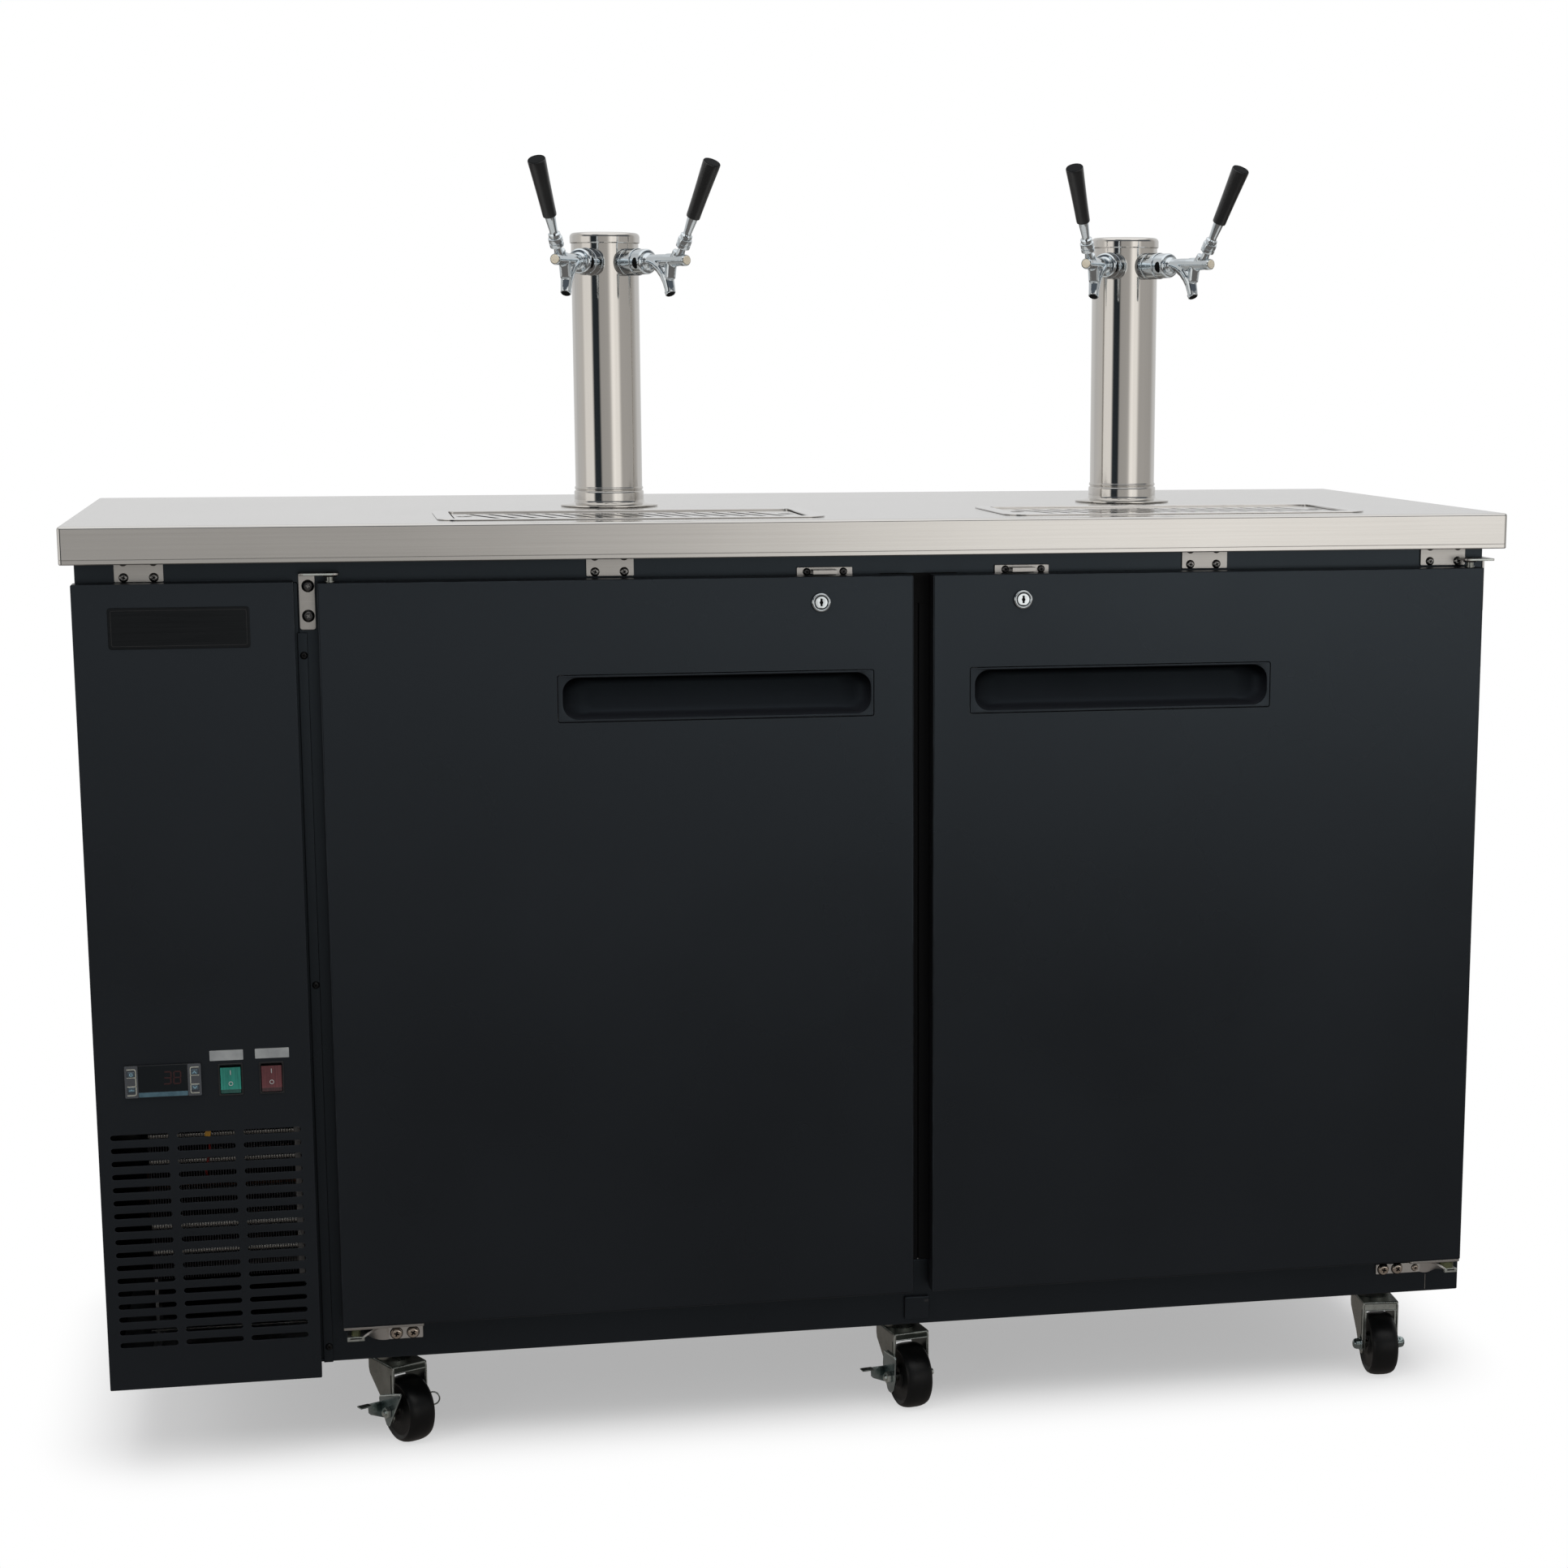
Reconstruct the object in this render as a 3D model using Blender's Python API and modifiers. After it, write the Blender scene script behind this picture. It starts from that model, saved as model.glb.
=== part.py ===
"""Two-door draught beer dispenser on casters, with a compressor bay at the left and two towers of two taps.

Metres, +Z up. The origin is on the floor under the middle of the worktop, and the doors face -Y.
"""

import math

import bmesh
import bpy
from mathutils import Matrix, Vector

# Clearances and shared stock
FIT = 0.0003
OVERRUN = 0.01
WELD = 0.000001
SHEET = 0.0015
BRACKET_SHEET = 0.0025
FINE_SIDES = 24
ROUND_SIDES = 14
SMALL_SIDES = 10
HEX_SIDES = 6

# Worktop
WORKTOP_WIDTH = 1.545
WORKTOP_DEPTH = 0.620
WORKTOP_HEIGHT = 1.026
SKIRT_HEIGHT = 0.0386
WORKTOP_CORNER = 0.004
HOLD_DOWN_FROM_CASE_LEFT = 0.0638
HOLD_DOWN_FROM_CASE_RIGHT = 0.0477
HOLD_DOWN_FROM_DOOR_MIDDLES = (-0.0092, -0.0034)
HOLD_DOWN_WIDTH = 0.050

# Cabinet case, with its keg compartment and compressor bay
CASE_SIDE_INSET = 0.012
CASE_FRONT_INSET = 0.0417
CASE_BACK_INSET = 0.008
CASE_BOTTOM = 0.1217
CASE_BACK_WALL = 0.050
BAY_SHELL = 0.003
BAY_WALL = 0.050
BAY_ROOF = 0.060
LINER_WALL = 0.0012
VENT_COUNT = 4
VENT_HEIGHT = 0.016
VENT_PITCH = 0.045
VENT_MARGIN = 0.035
VENT_FROM_FLOOR = 0.120

# Doors
DOOR_FRONT_INSET = 0.0136
LEFT_DOOR_INSET = 0.2415
RIGHT_DOOR_INSET = 0.0085
DOOR_BOTTOM = 0.1670
DOOR_TOP_DROP = 0.0605
DOOR_PAN = 0.022
DOOR_GAP = 0.021
DOOR_LAP = 0.030
DOOR_EDGE_ROUND = 0.0015
PLUG_INSET = 0.037
PLUG_DEPTH = 0.024
GASKET_INSET = 0.0162
GASKET_BAND = 0.0115
MULLION_DEPTH = 0.046

# Recessed bar handles
RECESS_WIDTH = 0.3290
RECESS_HEIGHT = 0.0440
RECESS_DEPTH = 0.026
RECESS_CORNER = 0.014
RECESS_FROM_DOOR_TOP = 0.1247
LEFT_RECESS_INSET = 0.0471
RIGHT_RECESS_INSET = 0.0462

# Cam locks and their keepers
LOCK_FROM_DOOR_TOP = 0.0273
LEFT_LOCK_FROM_EDGE = 0.1010
RIGHT_LOCK_FROM_EDGE = 0.0984
LOCK_COLLAR_RADIUS = 0.0105
LOCK_COLLAR_PROUD = 0.0045
LOCK_BARREL_RADIUS = 0.0080
CAM_REACH = 0.0330
CAM_WIDTH = 0.010
CAM_SHEET = 0.0024
CAM_FROM_FRONT = 0.012
KEEPER_WIDTH = 0.060
KEEPER_HEIGHT = 0.0104
KEEPER_ABOVE_DOOR = 0.0010

# Hinges
PIN_RADIUS = 0.004
PIN_FROM_DOOR_EDGE = 0.0136
PIN_FROM_DOOR_BACK = 0.0130
PIN_ENGAGEMENT = 0.014
BUSH_RADIUS = 0.008
HINGE_ARM_HALF = 0.0095
TOP_ARM_GAP = 0.0076
TOP_PLATE_HEIGHT = 0.0601
TOP_PLATE_WIDTH = 0.0165
TOP_PLATE_GAP = 0.0020
BOTTOM_ARM_GAP = 0.0195
BOTTOM_PLATE_HEIGHT = 0.0175
BOTTOM_PLATE_NEAR = 0.0363
BOTTOM_PLATE_FAR = 0.0716
RIGHT_PLATE_FAR = 0.0797
SIDE_LEG_DEPTH = 0.040

# Compressor cover with its slots
COVER_WIDTH = 0.2203
COVER_LEFT_PROUD = 0.0025
COVER_FRONT_INSET = 0.0146
COVER_BOTTOM = 0.1134
COVER_TOP_DROP = 0.0594
SLOT_COLUMNS = 3
SLOT_ROWS = 17
SLOT_LENGTH = 0.0595
SLOT_HEIGHT = 0.0057
SLOT_COLUMN_PITCH = 0.0677
SLOT_ROW_PITCH = 0.01417
SLOT_TOP_ROW = 0.3895
SLOT_END_STEPS = 3

# Switch panel
CONTROL_WIDTH = 0.0780
CONTROL_HEIGHT = 0.0348
CONTROL_PROUD = 0.0040
CONTROL_FROM_COVER_EDGE = 0.0690
CONTROL_CENTRE_HEIGHT = 0.4496
CONTROL_BODY_DEPTH = 0.045
CONTROL_BODY_SHRINK = 0.0040
KEY_WIDTH = 0.0085
KEY_HEIGHT = 0.0095
KEY_PROUD = 0.0009
KEY_DEPTH = 0.0026
KEY_TRAVEL = 0.0006
KEY_COLUMN_OFFSET = 0.0321
KEY_ROW_OFFSET = 0.0066
ROCKER_WIDTH = 0.0206
ROCKER_HEIGHT = 0.0290
ROCKER_DEPTH = 0.012
ROCKER_PROUD = 0.0035
ROCKER_TILT = math.radians(6.0)
ROCKER_SIDE_GAP = 0.0005
ROCKER_END_GAP = 0.0009
GREEN_ROCKER_FROM_CONTROL = 0.0687
RED_ROCKER_FROM_GREEN = 0.0420
ROCKER_CENTRE_HEIGHT = 0.4473

# Condensing unit
CONDENSER_WIDTH = 0.160
CONDENSER_HEIGHT = 0.205
CONDENSER_DEPTH = 0.044
CONDENSER_FROM_FRONT = 0.050
CONDENSER_LIFT = 0.085
CONDENSER_RIGHT_GAP = 0.016
COIL_TUBE_RADIUS = 0.005
COIL_TUBE_PROUD = 0.008
COIL_TUBE_ROWS = 5
SHROUD_DEPTH = 0.030
SHROUD_SHEET = 0.002
FAN_RADIUS = 0.068
FAN_TIP_GAP = 0.004
FAN_BLADES = 5
FAN_BLADE_SHEET = 0.0016
FAN_BLADE_WIDTH = 0.030
FAN_BLADE_PITCH = math.radians(28.0)
FAN_HUB_RADIUS = 0.016
FAN_HUB_LENGTH = 0.014
FAN_SHAFT_RADIUS = 0.003
MOTOR_RADIUS = 0.030
MOTOR_LENGTH = 0.045
MOTOR_GAP = 0.006
MOTOR_ARM_WIDTH = 0.010
MOTOR_ARM_OUTSET = 0.003
COMPRESSOR_RADIUS = 0.078
COMPRESSOR_HEIGHT = 0.190
COMPRESSOR_FOOT_LIFT = 0.018
COMPRESSOR_FOOT_RADIUS = 0.011
COMPRESSOR_FROM_BACK = 0.130
COMPRESSOR_BASE_SIZE = 0.180

# Evaporator in the keg compartment
EVAPORATOR_WIDTH = 0.360
EVAPORATOR_HEIGHT = 0.150
EVAPORATOR_DEPTH = 0.110
EVAPORATOR_WALL = 0.002
EVAPORATOR_FROM_TOP = 0.030
EVAPORATOR_FAN_RADIUS = 0.050

# Drip trays and their grilles
TRAY_LENGTH = 0.3770
TRAY_WIDTH = 0.1500
TRAY_FLANGE = 0.0175
TRAY_FLANGE_SHEET = 0.0010
TRAY_FROM_FRONT = 0.0640
TRAY_LEDGE = 0.006
TRAY_LEDGE_DEPTH = 0.0040
TRAY_DEPTH = 0.022
GRILLE_SHEET = 0.0030
GRILLE_GAP = 0.0006
GRILLE_SLOTS = 17
GRILLE_SLOT_WIDTH = 0.0080
GRILLE_SLOT_SPAN = 0.090
GRILLE_SLOT_SLANT = 0.030

# Towers
TOWER_FROM_DOOR_MIDDLES = (0.0195, -0.0180)
TOWER_FROM_FRONT = 0.3350
TOWER_TURNS = (math.radians(2.3), math.radians(-3.2))
TOWER_RADIUS = 0.0380
TOWER_WALL = 0.0015
TOWER_HEIGHT = 0.3060
TOWER_FLANGE_RADIUS = 0.0557
TOWER_FLANGE_SHEET = 0.0022
TOWER_BEAD_HEIGHT = 0.0170
TOWER_BEAD_PROUD = 0.0016
TOWER_CAP_HEIGHT = 0.0125
TOWER_CAP_PROUD = 0.0014
TOWER_CAP_ROUND = 0.004
LINE_HOLE_RADIUS = 0.028

# Faucets: reaches are measured from the tower's axis, along the shank
TAP_SPLAY = math.radians(29.0)
TAP_FROM_TOWER_TOP = 0.0335
SHANK_RADIUS = 0.008
SHANK_INNER_REACH = 0.029
COLLAR_RADIUS = 0.0182
COLLAR_REACH = 0.0460
COUPLING_RADIUS = 0.0172
COUPLING_REACH = 0.0640
NUT_RADIUS = 0.0160
NUT_REACH = 0.0800
NECK_RADIUS = 0.0088
NECK_REACH = 0.0900
NOSE_RADIUS = 0.0068
NOSE_LENGTH = 0.0060
NOSE_REACH = 0.1490
BELLY_REACH = 0.1160
BELLY_RADIUS = 0.0106
SPOUT_REACH = 0.1190
SPOUT_DROP = 0.0370
SPOUT_ROOT_RADIUS = 0.0105
SPOUT_TIP_RADIUS = 0.0062
SPOUT_BORE = 0.0046
SPOUT_BORE_DEPTH = 0.016

# Tap levers and handles: distances are measured from the pivot, along the lever
PIVOT_REACH = 0.1365
PIVOT_ABOVE_SHANK = 0.0052
PIVOT_RADIUS = 0.0062
PIVOT_HALF_WIDTH = 0.0036
LEVER_LEAN = math.radians(30.0)
LEVER_STEM_RADIUS = 0.0034
LEVER_COLLAR_START = 0.0110
LEVER_COLLAR_END = 0.0215
LEVER_COLLAR_RADIUS = 0.0072
FERRULE_END = 0.0425
FERRULE_RADIUS = 0.0058
FERRULE_TOP_RADIUS = 0.0064
HANDLE_END = 0.1145
HANDLE_BOTTOM_RADIUS = 0.0069
HANDLE_TOP_RADIUS = 0.0094
HANDLE_STUD_RADIUS = 0.0030
HANDLE_STUD_LENGTH = 0.012

# Casters
BOTTOM_PANEL_SHEET = 0.0027
BOTTOM_PANEL_INSET = 0.012
CASTER_FRONT_INSET = 0.1400
CASTER_BACK_INSET = 0.1100
CASTER_FROM_LEFT_DOOR_EDGE = 0.0550
CASTER_FROM_RIGHT_DOOR_EDGE = 0.0586
CASTER_ANGLES = ((27.0, 11.0, -4.5), (14.0, -8.0, 20.0))
MOUNT_PLATE_WIDTH = 0.092
MOUNT_PLATE_DEPTH = 0.066
MOUNT_PLATE_SHEET = 0.003
KINGPIN_RADIUS = 0.006
KINGPIN_HEAD_RADIUS = 0.010
KINGPIN_HEAD_HEIGHT = 0.004
RACE_RADIUS = 0.024
RACE_HEIGHT = 0.0255
WHEEL_RADIUS = 0.0375
WHEEL_WIDTH = 0.032
WHEEL_SHOULDER = 0.005
WHEEL_TRAIL = 0.030
AXLE_RADIUS = 0.0042
FORK_WIDTH = 0.043
FORK_SHEET = 0.003
FORK_BACK = 0.026
FORK_FRONT = 0.036
FORK_FOOT = 0.012
NUT_ACROSS = 0.008
NUT_LENGTH = 0.005
PEDAL_PLATE_SHEET = 0.0025
PEDAL_GAP = 0.0006
PEDAL_TAB_LENGTH = 0.020
PEDAL_TAB_WIDTH = 0.011
PEDAL_TAB_BACK = 0.012
PEDAL_FORWARD = 0.017
PEDAL_RISE = 0.016
PEDAL_DROP = 0.018
PEDAL_CORNER = 0.004

# Values that follow from the sizes above
FRONT = -WORKTOP_DEPTH / 2
CASE_HALF = WORKTOP_WIDTH / 2 - CASE_SIDE_INSET
CASE_FRONT = FRONT + CASE_FRONT_INSET
CASE_BACK = -FRONT - CASE_BACK_INSET
CASE_TOP = WORKTOP_HEIGHT - SHEET - FIT
DOOR_FRONT = FRONT + DOOR_FRONT_INSET
DOOR_BACK = DOOR_FRONT + DOOR_PAN
DOOR_TOP = WORKTOP_HEIGHT - DOOR_TOP_DROP
DOOR_WIDTH = (2 * CASE_HALF - LEFT_DOOR_INSET - RIGHT_DOOR_INSET - DOOR_GAP) / 2
LEFT_DOOR = (-CASE_HALF + LEFT_DOOR_INSET, -CASE_HALF + LEFT_DOOR_INSET + DOOR_WIDTH)
RIGHT_DOOR = (LEFT_DOOR[1] + DOOR_GAP, LEFT_DOOR[1] + DOOR_GAP + DOOR_WIDTH)
DOOR_MIDDLES = tuple(sum(door) / 2 for door in (LEFT_DOOR, RIGHT_DOOR))
RECESS_HEIGHT_ON_DOOR = DOOR_TOP - RECESS_FROM_DOOR_TOP
LOCK_HEIGHT_ON_DOOR = DOOR_TOP - LOCK_FROM_DOOR_TOP
KEG_LOW = Vector((LEFT_DOOR[0] + DOOR_LAP, CASE_FRONT, DOOR_BOTTOM + DOOR_LAP))
KEG_HIGH = Vector((RIGHT_DOOR[1] - DOOR_LAP, CASE_BACK - CASE_BACK_WALL, DOOR_TOP - DOOR_LAP))
BAY_LOW = Vector((-CASE_HALF + BAY_SHELL, CASE_FRONT, CASE_BOTTOM + BAY_SHELL))
BAY_HIGH = Vector((KEG_LOW.x - BAY_WALL, CASE_BACK - BAY_SHELL, CASE_TOP - BAY_ROOF))
PIN_Y = DOOR_BACK - PIN_FROM_DOOR_BACK
TOWER_PLACES = tuple(middle + step for middle, step in zip(DOOR_MIDDLES, TOWER_FROM_DOOR_MIDDLES))
TOWER_Y = FRONT + TOWER_FROM_FRONT
TOWER_TOP = WORKTOP_HEIGHT + TOWER_HEIGHT
TAP_HEIGHT = TOWER_TOP - TAP_FROM_TOWER_TOP
HOLD_DOWN_PLACES = (
    -CASE_HALF + HOLD_DOWN_FROM_CASE_LEFT,
    *(middle + step for middle, step in zip(DOOR_MIDDLES, HOLD_DOWN_FROM_DOOR_MIDDLES)),
    CASE_HALF - HOLD_DOWN_FROM_CASE_RIGHT,
)
TRAY_CENTRE_Y = FRONT + TRAY_FROM_FRONT + TRAY_WIDTH / 2
COVER_LOW_X = -CASE_HALF - COVER_LEFT_PROUD
COVER_HIGH_X = COVER_LOW_X + COVER_WIDTH
COVER_FRONT = FRONT + COVER_FRONT_INSET
COVER_TOP = WORKTOP_HEIGHT - COVER_TOP_DROP
PANEL_BOTTOM = CASE_BOTTOM - FIT - BOTTOM_PANEL_SHEET
PLATE_BOTTOM = PANEL_BOTTOM - MOUNT_PLATE_SHEET
RACE_TOP = PLATE_BOTTOM - FIT
FORK_TOP = RACE_TOP - RACE_HEIGHT
FIRST_CASTER_X = LEFT_DOOR[0] + CASTER_FROM_LEFT_DOOR_EDGE
CASTER_PITCH = (RIGHT_DOOR[1] - CASTER_FROM_RIGHT_DOOR_EDGE - FIRST_CASTER_X) / 2

for leftover in list(bpy.data.objects):
    bpy.data.objects.remove(leftover)

PARTS = bpy.data.collections.new("beer_dispenser")
CUTTERS = bpy.data.collections.new("cutters")
bpy.context.scene.collection.children.link(PARTS)
bpy.context.scene.collection.children.link(CUTTERS)


def finish(name, colour, roughness, metallic=0.0):
    """A Principled material."""
    material = bpy.data.materials.new(name)
    material.use_nodes = True
    shader = material.node_tree.nodes["Principled BSDF"]
    shader.inputs["Base Color"].default_value = (*colour, 1.0)
    shader.inputs["Roughness"].default_value = roughness
    shader.inputs["Metallic"].default_value = metallic
    return material


BLACK_PAINT = finish("black_paint", (0.022, 0.026, 0.029), 0.45)
BRUSHED = finish("brushed_stainless", (0.62, 0.61, 0.59), 0.35, 1.0)
POLISHED = finish("polished_stainless", (0.66, 0.63, 0.60), 0.14, 1.0)
CHROME = finish("chrome", (0.78, 0.80, 0.82), 0.06, 1.0)
ZINC = finish("zinc_plate", (0.60, 0.61, 0.60), 0.38, 1.0)
HANDLE_BLACK = finish("handle_black", (0.015, 0.017, 0.019), 0.38)
SOFT_BLACK = finish("soft_black", (0.03, 0.03, 0.032), 0.7)
TREAD_BLACK = finish("tread_black", (0.028, 0.030, 0.033), 0.55)
LINER_WHITE = finish("liner_aluminium", (0.72, 0.73, 0.74), 0.45, 0.6)
CONTROL_BLACK = finish("control_black", (0.02, 0.02, 0.022), 0.4)
KEY_GREY = finish("key_grey", (0.30, 0.31, 0.32), 0.6)
GREEN = finish("rocker_green", (0.03, 0.32, 0.10), 0.35)
RED = finish("rocker_red", (0.50, 0.03, 0.03), 0.35)
COIL = finish("coil_aluminium", (0.55, 0.56, 0.57), 0.45, 0.9)
MACHINE_BLACK = finish("machine_black", (0.02, 0.02, 0.02), 0.5)


def add(name, mesh, material=None):
    obj = bpy.data.objects.new(name, mesh)
    PARTS.objects.link(obj)
    if material:
        mesh.materials.clear()
        mesh.materials.append(material)
    return obj


def from_bmesh(name, shape, material=None):
    bmesh.ops.recalc_face_normals(shape, faces=shape.faces)
    mesh = bpy.data.meshes.new(name)
    shape.to_mesh(mesh)
    shape.free()
    return add(name, mesh, material)


def block(name, low, high, material=None):
    """A box between two corners."""
    low, high = Vector(low), Vector(high)
    shape = bmesh.new()
    bmesh.ops.create_cube(shape, size=1.0)
    bmesh.ops.scale(shape, vec=high - low, verts=shape.verts)
    bmesh.ops.translate(shape, vec=(low + high) / 2, verts=shape.verts)
    return from_bmesh(name, shape, material)


def rod(name, start, end, radius, sides=ROUND_SIDES, end_radius=None, material=None):
    """A round bar or a cone between two points."""
    start, end = Vector(start), Vector(end)
    along = end - start
    shape = bmesh.new()
    bmesh.ops.create_cone(
        shape,
        cap_ends=True,
        segments=sides,
        radius1=radius,
        radius2=radius if end_radius is None else end_radius,
        depth=along.length,
    )
    turn = along.to_track_quat("Z", "Y").to_matrix().to_4x4()
    bmesh.ops.transform(shape, matrix=Matrix.Translation((start + end) / 2) @ turn, verts=shape.verts)
    return from_bmesh(name, shape, material)


def post(name, x, y, low, high, radius, sides=SMALL_SIDES):
    """A round bar that stands upright between two heights."""
    return rod(name, (x, y, low), (x, y, high), radius, sides)


def bore_radius(pin_radius, sides):
    """The radius of a bore whose flats still clear a pin of this radius."""
    return (pin_radius + FIT) / math.cos(math.pi / sides)


def frozen(obj):
    """Puts what the modifiers make into the object's own mesh."""
    bpy.context.view_layer.update()
    graph = bpy.context.evaluated_depsgraph_get()
    mesh = bpy.data.meshes.new_from_object(obj.evaluated_get(graph))
    obj.modifiers.clear()
    obj.data = mesh
    return obj


def turned(name, profile, sides=FINE_SIDES, material=None):
    """A profile of (radius, height) points, turned about Z. Its outer side runs from top to bottom."""
    shape = bmesh.new()
    points = [shape.verts.new((radius, 0.0, height)) for radius, height in profile]
    for first, second in zip(points, points[1:]):
        shape.edges.new((first, second))
    mesh = bpy.data.meshes.new(name)
    shape.to_mesh(mesh)
    shape.free()
    obj = add(name, mesh, material)
    screw = obj.modifiers.new("turn", "SCREW")
    screw.steps = sides
    screw.render_steps = sides
    screw.use_merge_vertices = True
    screw.merge_threshold = WELD
    return frozen(obj)


def plate(name, outline, low, high, matrix=None, material=None):
    """A flat outline in X and Y, thickened from low to high along Z, then placed by a matrix."""
    curve = bpy.data.curves.new(name, "CURVE")
    curve.dimensions = "2D"
    curve.fill_mode = "BOTH"
    curve.extrude = (high - low) / 2
    spline = curve.splines.new("POLY")
    spline.points.add(len(outline) - 1)
    for point, (x, y) in zip(spline.points, outline):
        point.co = (x, y, 0.0, 1.0)
    spline.use_cyclic_u = True
    guide = add(name + "_outline", curve)
    bpy.context.view_layer.update()
    graph = bpy.context.evaluated_depsgraph_get()
    mesh = bpy.data.meshes.new_from_object(guide.evaluated_get(graph))
    bpy.data.objects.remove(guide)
    shape = bmesh.new()
    shape.from_mesh(mesh)
    bmesh.ops.remove_doubles(shape, verts=shape.verts, dist=WELD)
    bmesh.ops.translate(shape, vec=(0.0, 0.0, (low + high) / 2), verts=shape.verts)
    if matrix:
        bmesh.ops.transform(shape, matrix=matrix, verts=shape.verts)
    return from_bmesh(name, shape, material)


def rounded(half_x, half_y, corner, steps=4):
    """The outline of a rectangle with round corners, about the origin."""
    points = []
    for quarter in range(4):
        sign_x = 1 if quarter in (0, 3) else -1
        sign_y = 1 if quarter in (0, 1) else -1
        centre = (sign_x * (half_x - corner), sign_y * (half_y - corner))
        for step in range(steps + 1):
            angle = math.pi / 2 * (quarter + step / steps)
            points.append((centre[0] + corner * math.cos(angle), centre[1] + corner * math.sin(angle)))
    return points


def hide(tool):
    """Keeps a cutter or a joined piece out of the model."""
    PARTS.objects.unlink(tool)
    CUTTERS.objects.link(tool)
    tool.hide_render = True
    tool.display_type = "WIRE"


def combine(obj, operation, tools):
    for tool in tools:
        step = obj.modifiers.new(operation.lower(), "BOOLEAN")
        step.operation = operation
        step.object = tool
        hide(tool)
    return obj


def cut(obj, *tools):
    return combine(obj, "DIFFERENCE", tools)


def join(obj, *tools):
    return combine(obj, "UNION", tools)


def made(obj):
    """Freezes a cut or joined piece and removes the tools that it used."""
    tools = [step.object for step in obj.modifiers if step.type == "BOOLEAN"]
    frozen(obj)
    for tool in tools:
        bpy.data.objects.remove(tool)
    return obj


def several(name, shapes):
    """One mesh that holds separate closed shapes, for use as a cutter."""
    shape = bmesh.new()
    for piece in shapes:
        bpy.context.view_layer.update()
        copy = piece.data.copy()
        copy.transform(piece.matrix_world)
        shape.from_mesh(copy)
        bpy.data.objects.remove(piece)
    mesh = bpy.data.meshes.new(name)
    shape.to_mesh(mesh)
    shape.free()
    return add(name, mesh)


def copy_of(source, name, matrix):
    """Another object with the same mesh, placed by a matrix."""
    obj = bpy.data.objects.new(name, source.data)
    PARTS.objects.link(obj)
    obj.matrix_world = matrix
    return obj


def smooth(obj, angle=math.radians(35.0)):
    obj.data.shade_smooth()
    obj.data.set_sharp_from_angle(angle=angle)
    return obj


FACING_FRONT = Matrix.Rotation(math.pi / 2, 4, "X")
"""Turns an outline in X and Y to face -Y: its Y becomes Z, and its Z becomes -Y."""


def front_plate(name, outline, front, back, centre=(0.0, 0.0), material=None):
    """An outline in X and Z about a centre, thickened from the front to the back along Y."""
    place = Matrix.Translation((centre[0], 0.0, centre[1])) @ FACING_FRONT
    return plate(name, outline, -back, -front, place, material)


def make_worktop():
    """A folded sheet, open below, with tray and line holes and four tabs that hold it to the top rail."""
    top = plate(
        "worktop",
        rounded(WORKTOP_WIDTH / 2, WORKTOP_DEPTH / 2, WORKTOP_CORNER),
        WORKTOP_HEIGHT - SKIRT_HEIGHT,
        WORKTOP_HEIGHT,
        material=BRUSHED,
    )
    inside = plate(
        "worktop_inside",
        rounded(WORKTOP_WIDTH / 2 - SHEET, WORKTOP_DEPTH / 2 - SHEET, WORKTOP_CORNER - SHEET),
        WORKTOP_HEIGHT - SKIRT_HEIGHT - OVERRUN,
        WORKTOP_HEIGHT - SHEET,
    )
    cut(top, inside)
    for place in HOLD_DOWN_PLACES:
        tab = block(
            "hold_down",
            (place - HOLD_DOWN_WIDTH / 2, CASE_FRONT - FIT - BRACKET_SHEET, COVER_TOP + FIT),
            (place + HOLD_DOWN_WIDTH / 2, CASE_FRONT - FIT, WORKTOP_HEIGHT - SHEET / 2),
        )
        join(top, tab)
    for place in TOWER_PLACES:
        cut(top, tray_block("tray_hole", place, TRAY_LENGTH, TRAY_WIDTH, -OVERRUN, OVERRUN), line_hole(place))
    return made(top)


def tray_block(name, place, length, width, low, high):
    """A block over a drip tray's middle, between two heights above the worktop."""
    return block(
        name,
        (place - length / 2, TRAY_CENTRE_Y - width / 2, WORKTOP_HEIGHT + low),
        (place + length / 2, TRAY_CENTRE_Y + width / 2, WORKTOP_HEIGHT + high),
    )


def line_hole(place):
    """The round way for the beer lines, from a tower down into the keg compartment."""
    low = KEG_HIGH.z - LINER_WALL - OVERRUN
    return post("line_hole", place, TOWER_Y, low, WORKTOP_HEIGHT + OVERRUN, LINE_HOLE_RADIUS, ROUND_SIDES)


def make_case():
    """The insulated case: one shell with a keg compartment, a compressor bay and the two lock keepers."""
    case = block(
        "cabinet_case",
        (-CASE_HALF, CASE_FRONT, CASE_BOTTOM),
        (CASE_HALF, CASE_BACK, CASE_TOP),
        BLACK_PAINT,
    )
    ahead = Vector((0.0, OVERRUN, 0.0))
    cut(case, block("keg_space", KEG_LOW - ahead, KEG_HIGH), block("bay_space", BAY_LOW - ahead, BAY_HIGH))
    vents = []
    for row in range(VENT_COUNT):
        low = BAY_LOW.z + VENT_FROM_FLOOR + row * VENT_PITCH
        vents.append(
            block(
                "vent",
                (BAY_LOW.x + VENT_MARGIN, BAY_HIGH.y - OVERRUN, low),
                (BAY_HIGH.x - VENT_MARGIN, CASE_BACK + OVERRUN, low + VENT_HEIGHT),
            )
        )
    cut(case, several("rear_vents", vents))
    well = TRAY_DEPTH + FIT
    for place in TOWER_PLACES:
        cut(case, tray_block("tray_well", place, TRAY_LENGTH, TRAY_WIDTH, -well, OVERRUN), line_hole(place))
    for lock_x in (LEFT_LOCK_X, RIGHT_LOCK_X):
        join(case, keeper(lock_x))
    return made(case)


LEFT_LOCK_X = LEFT_DOOR[1] - LEFT_LOCK_FROM_EDGE
RIGHT_LOCK_X = RIGHT_DOOR[0] + RIGHT_LOCK_FROM_EDGE


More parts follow.
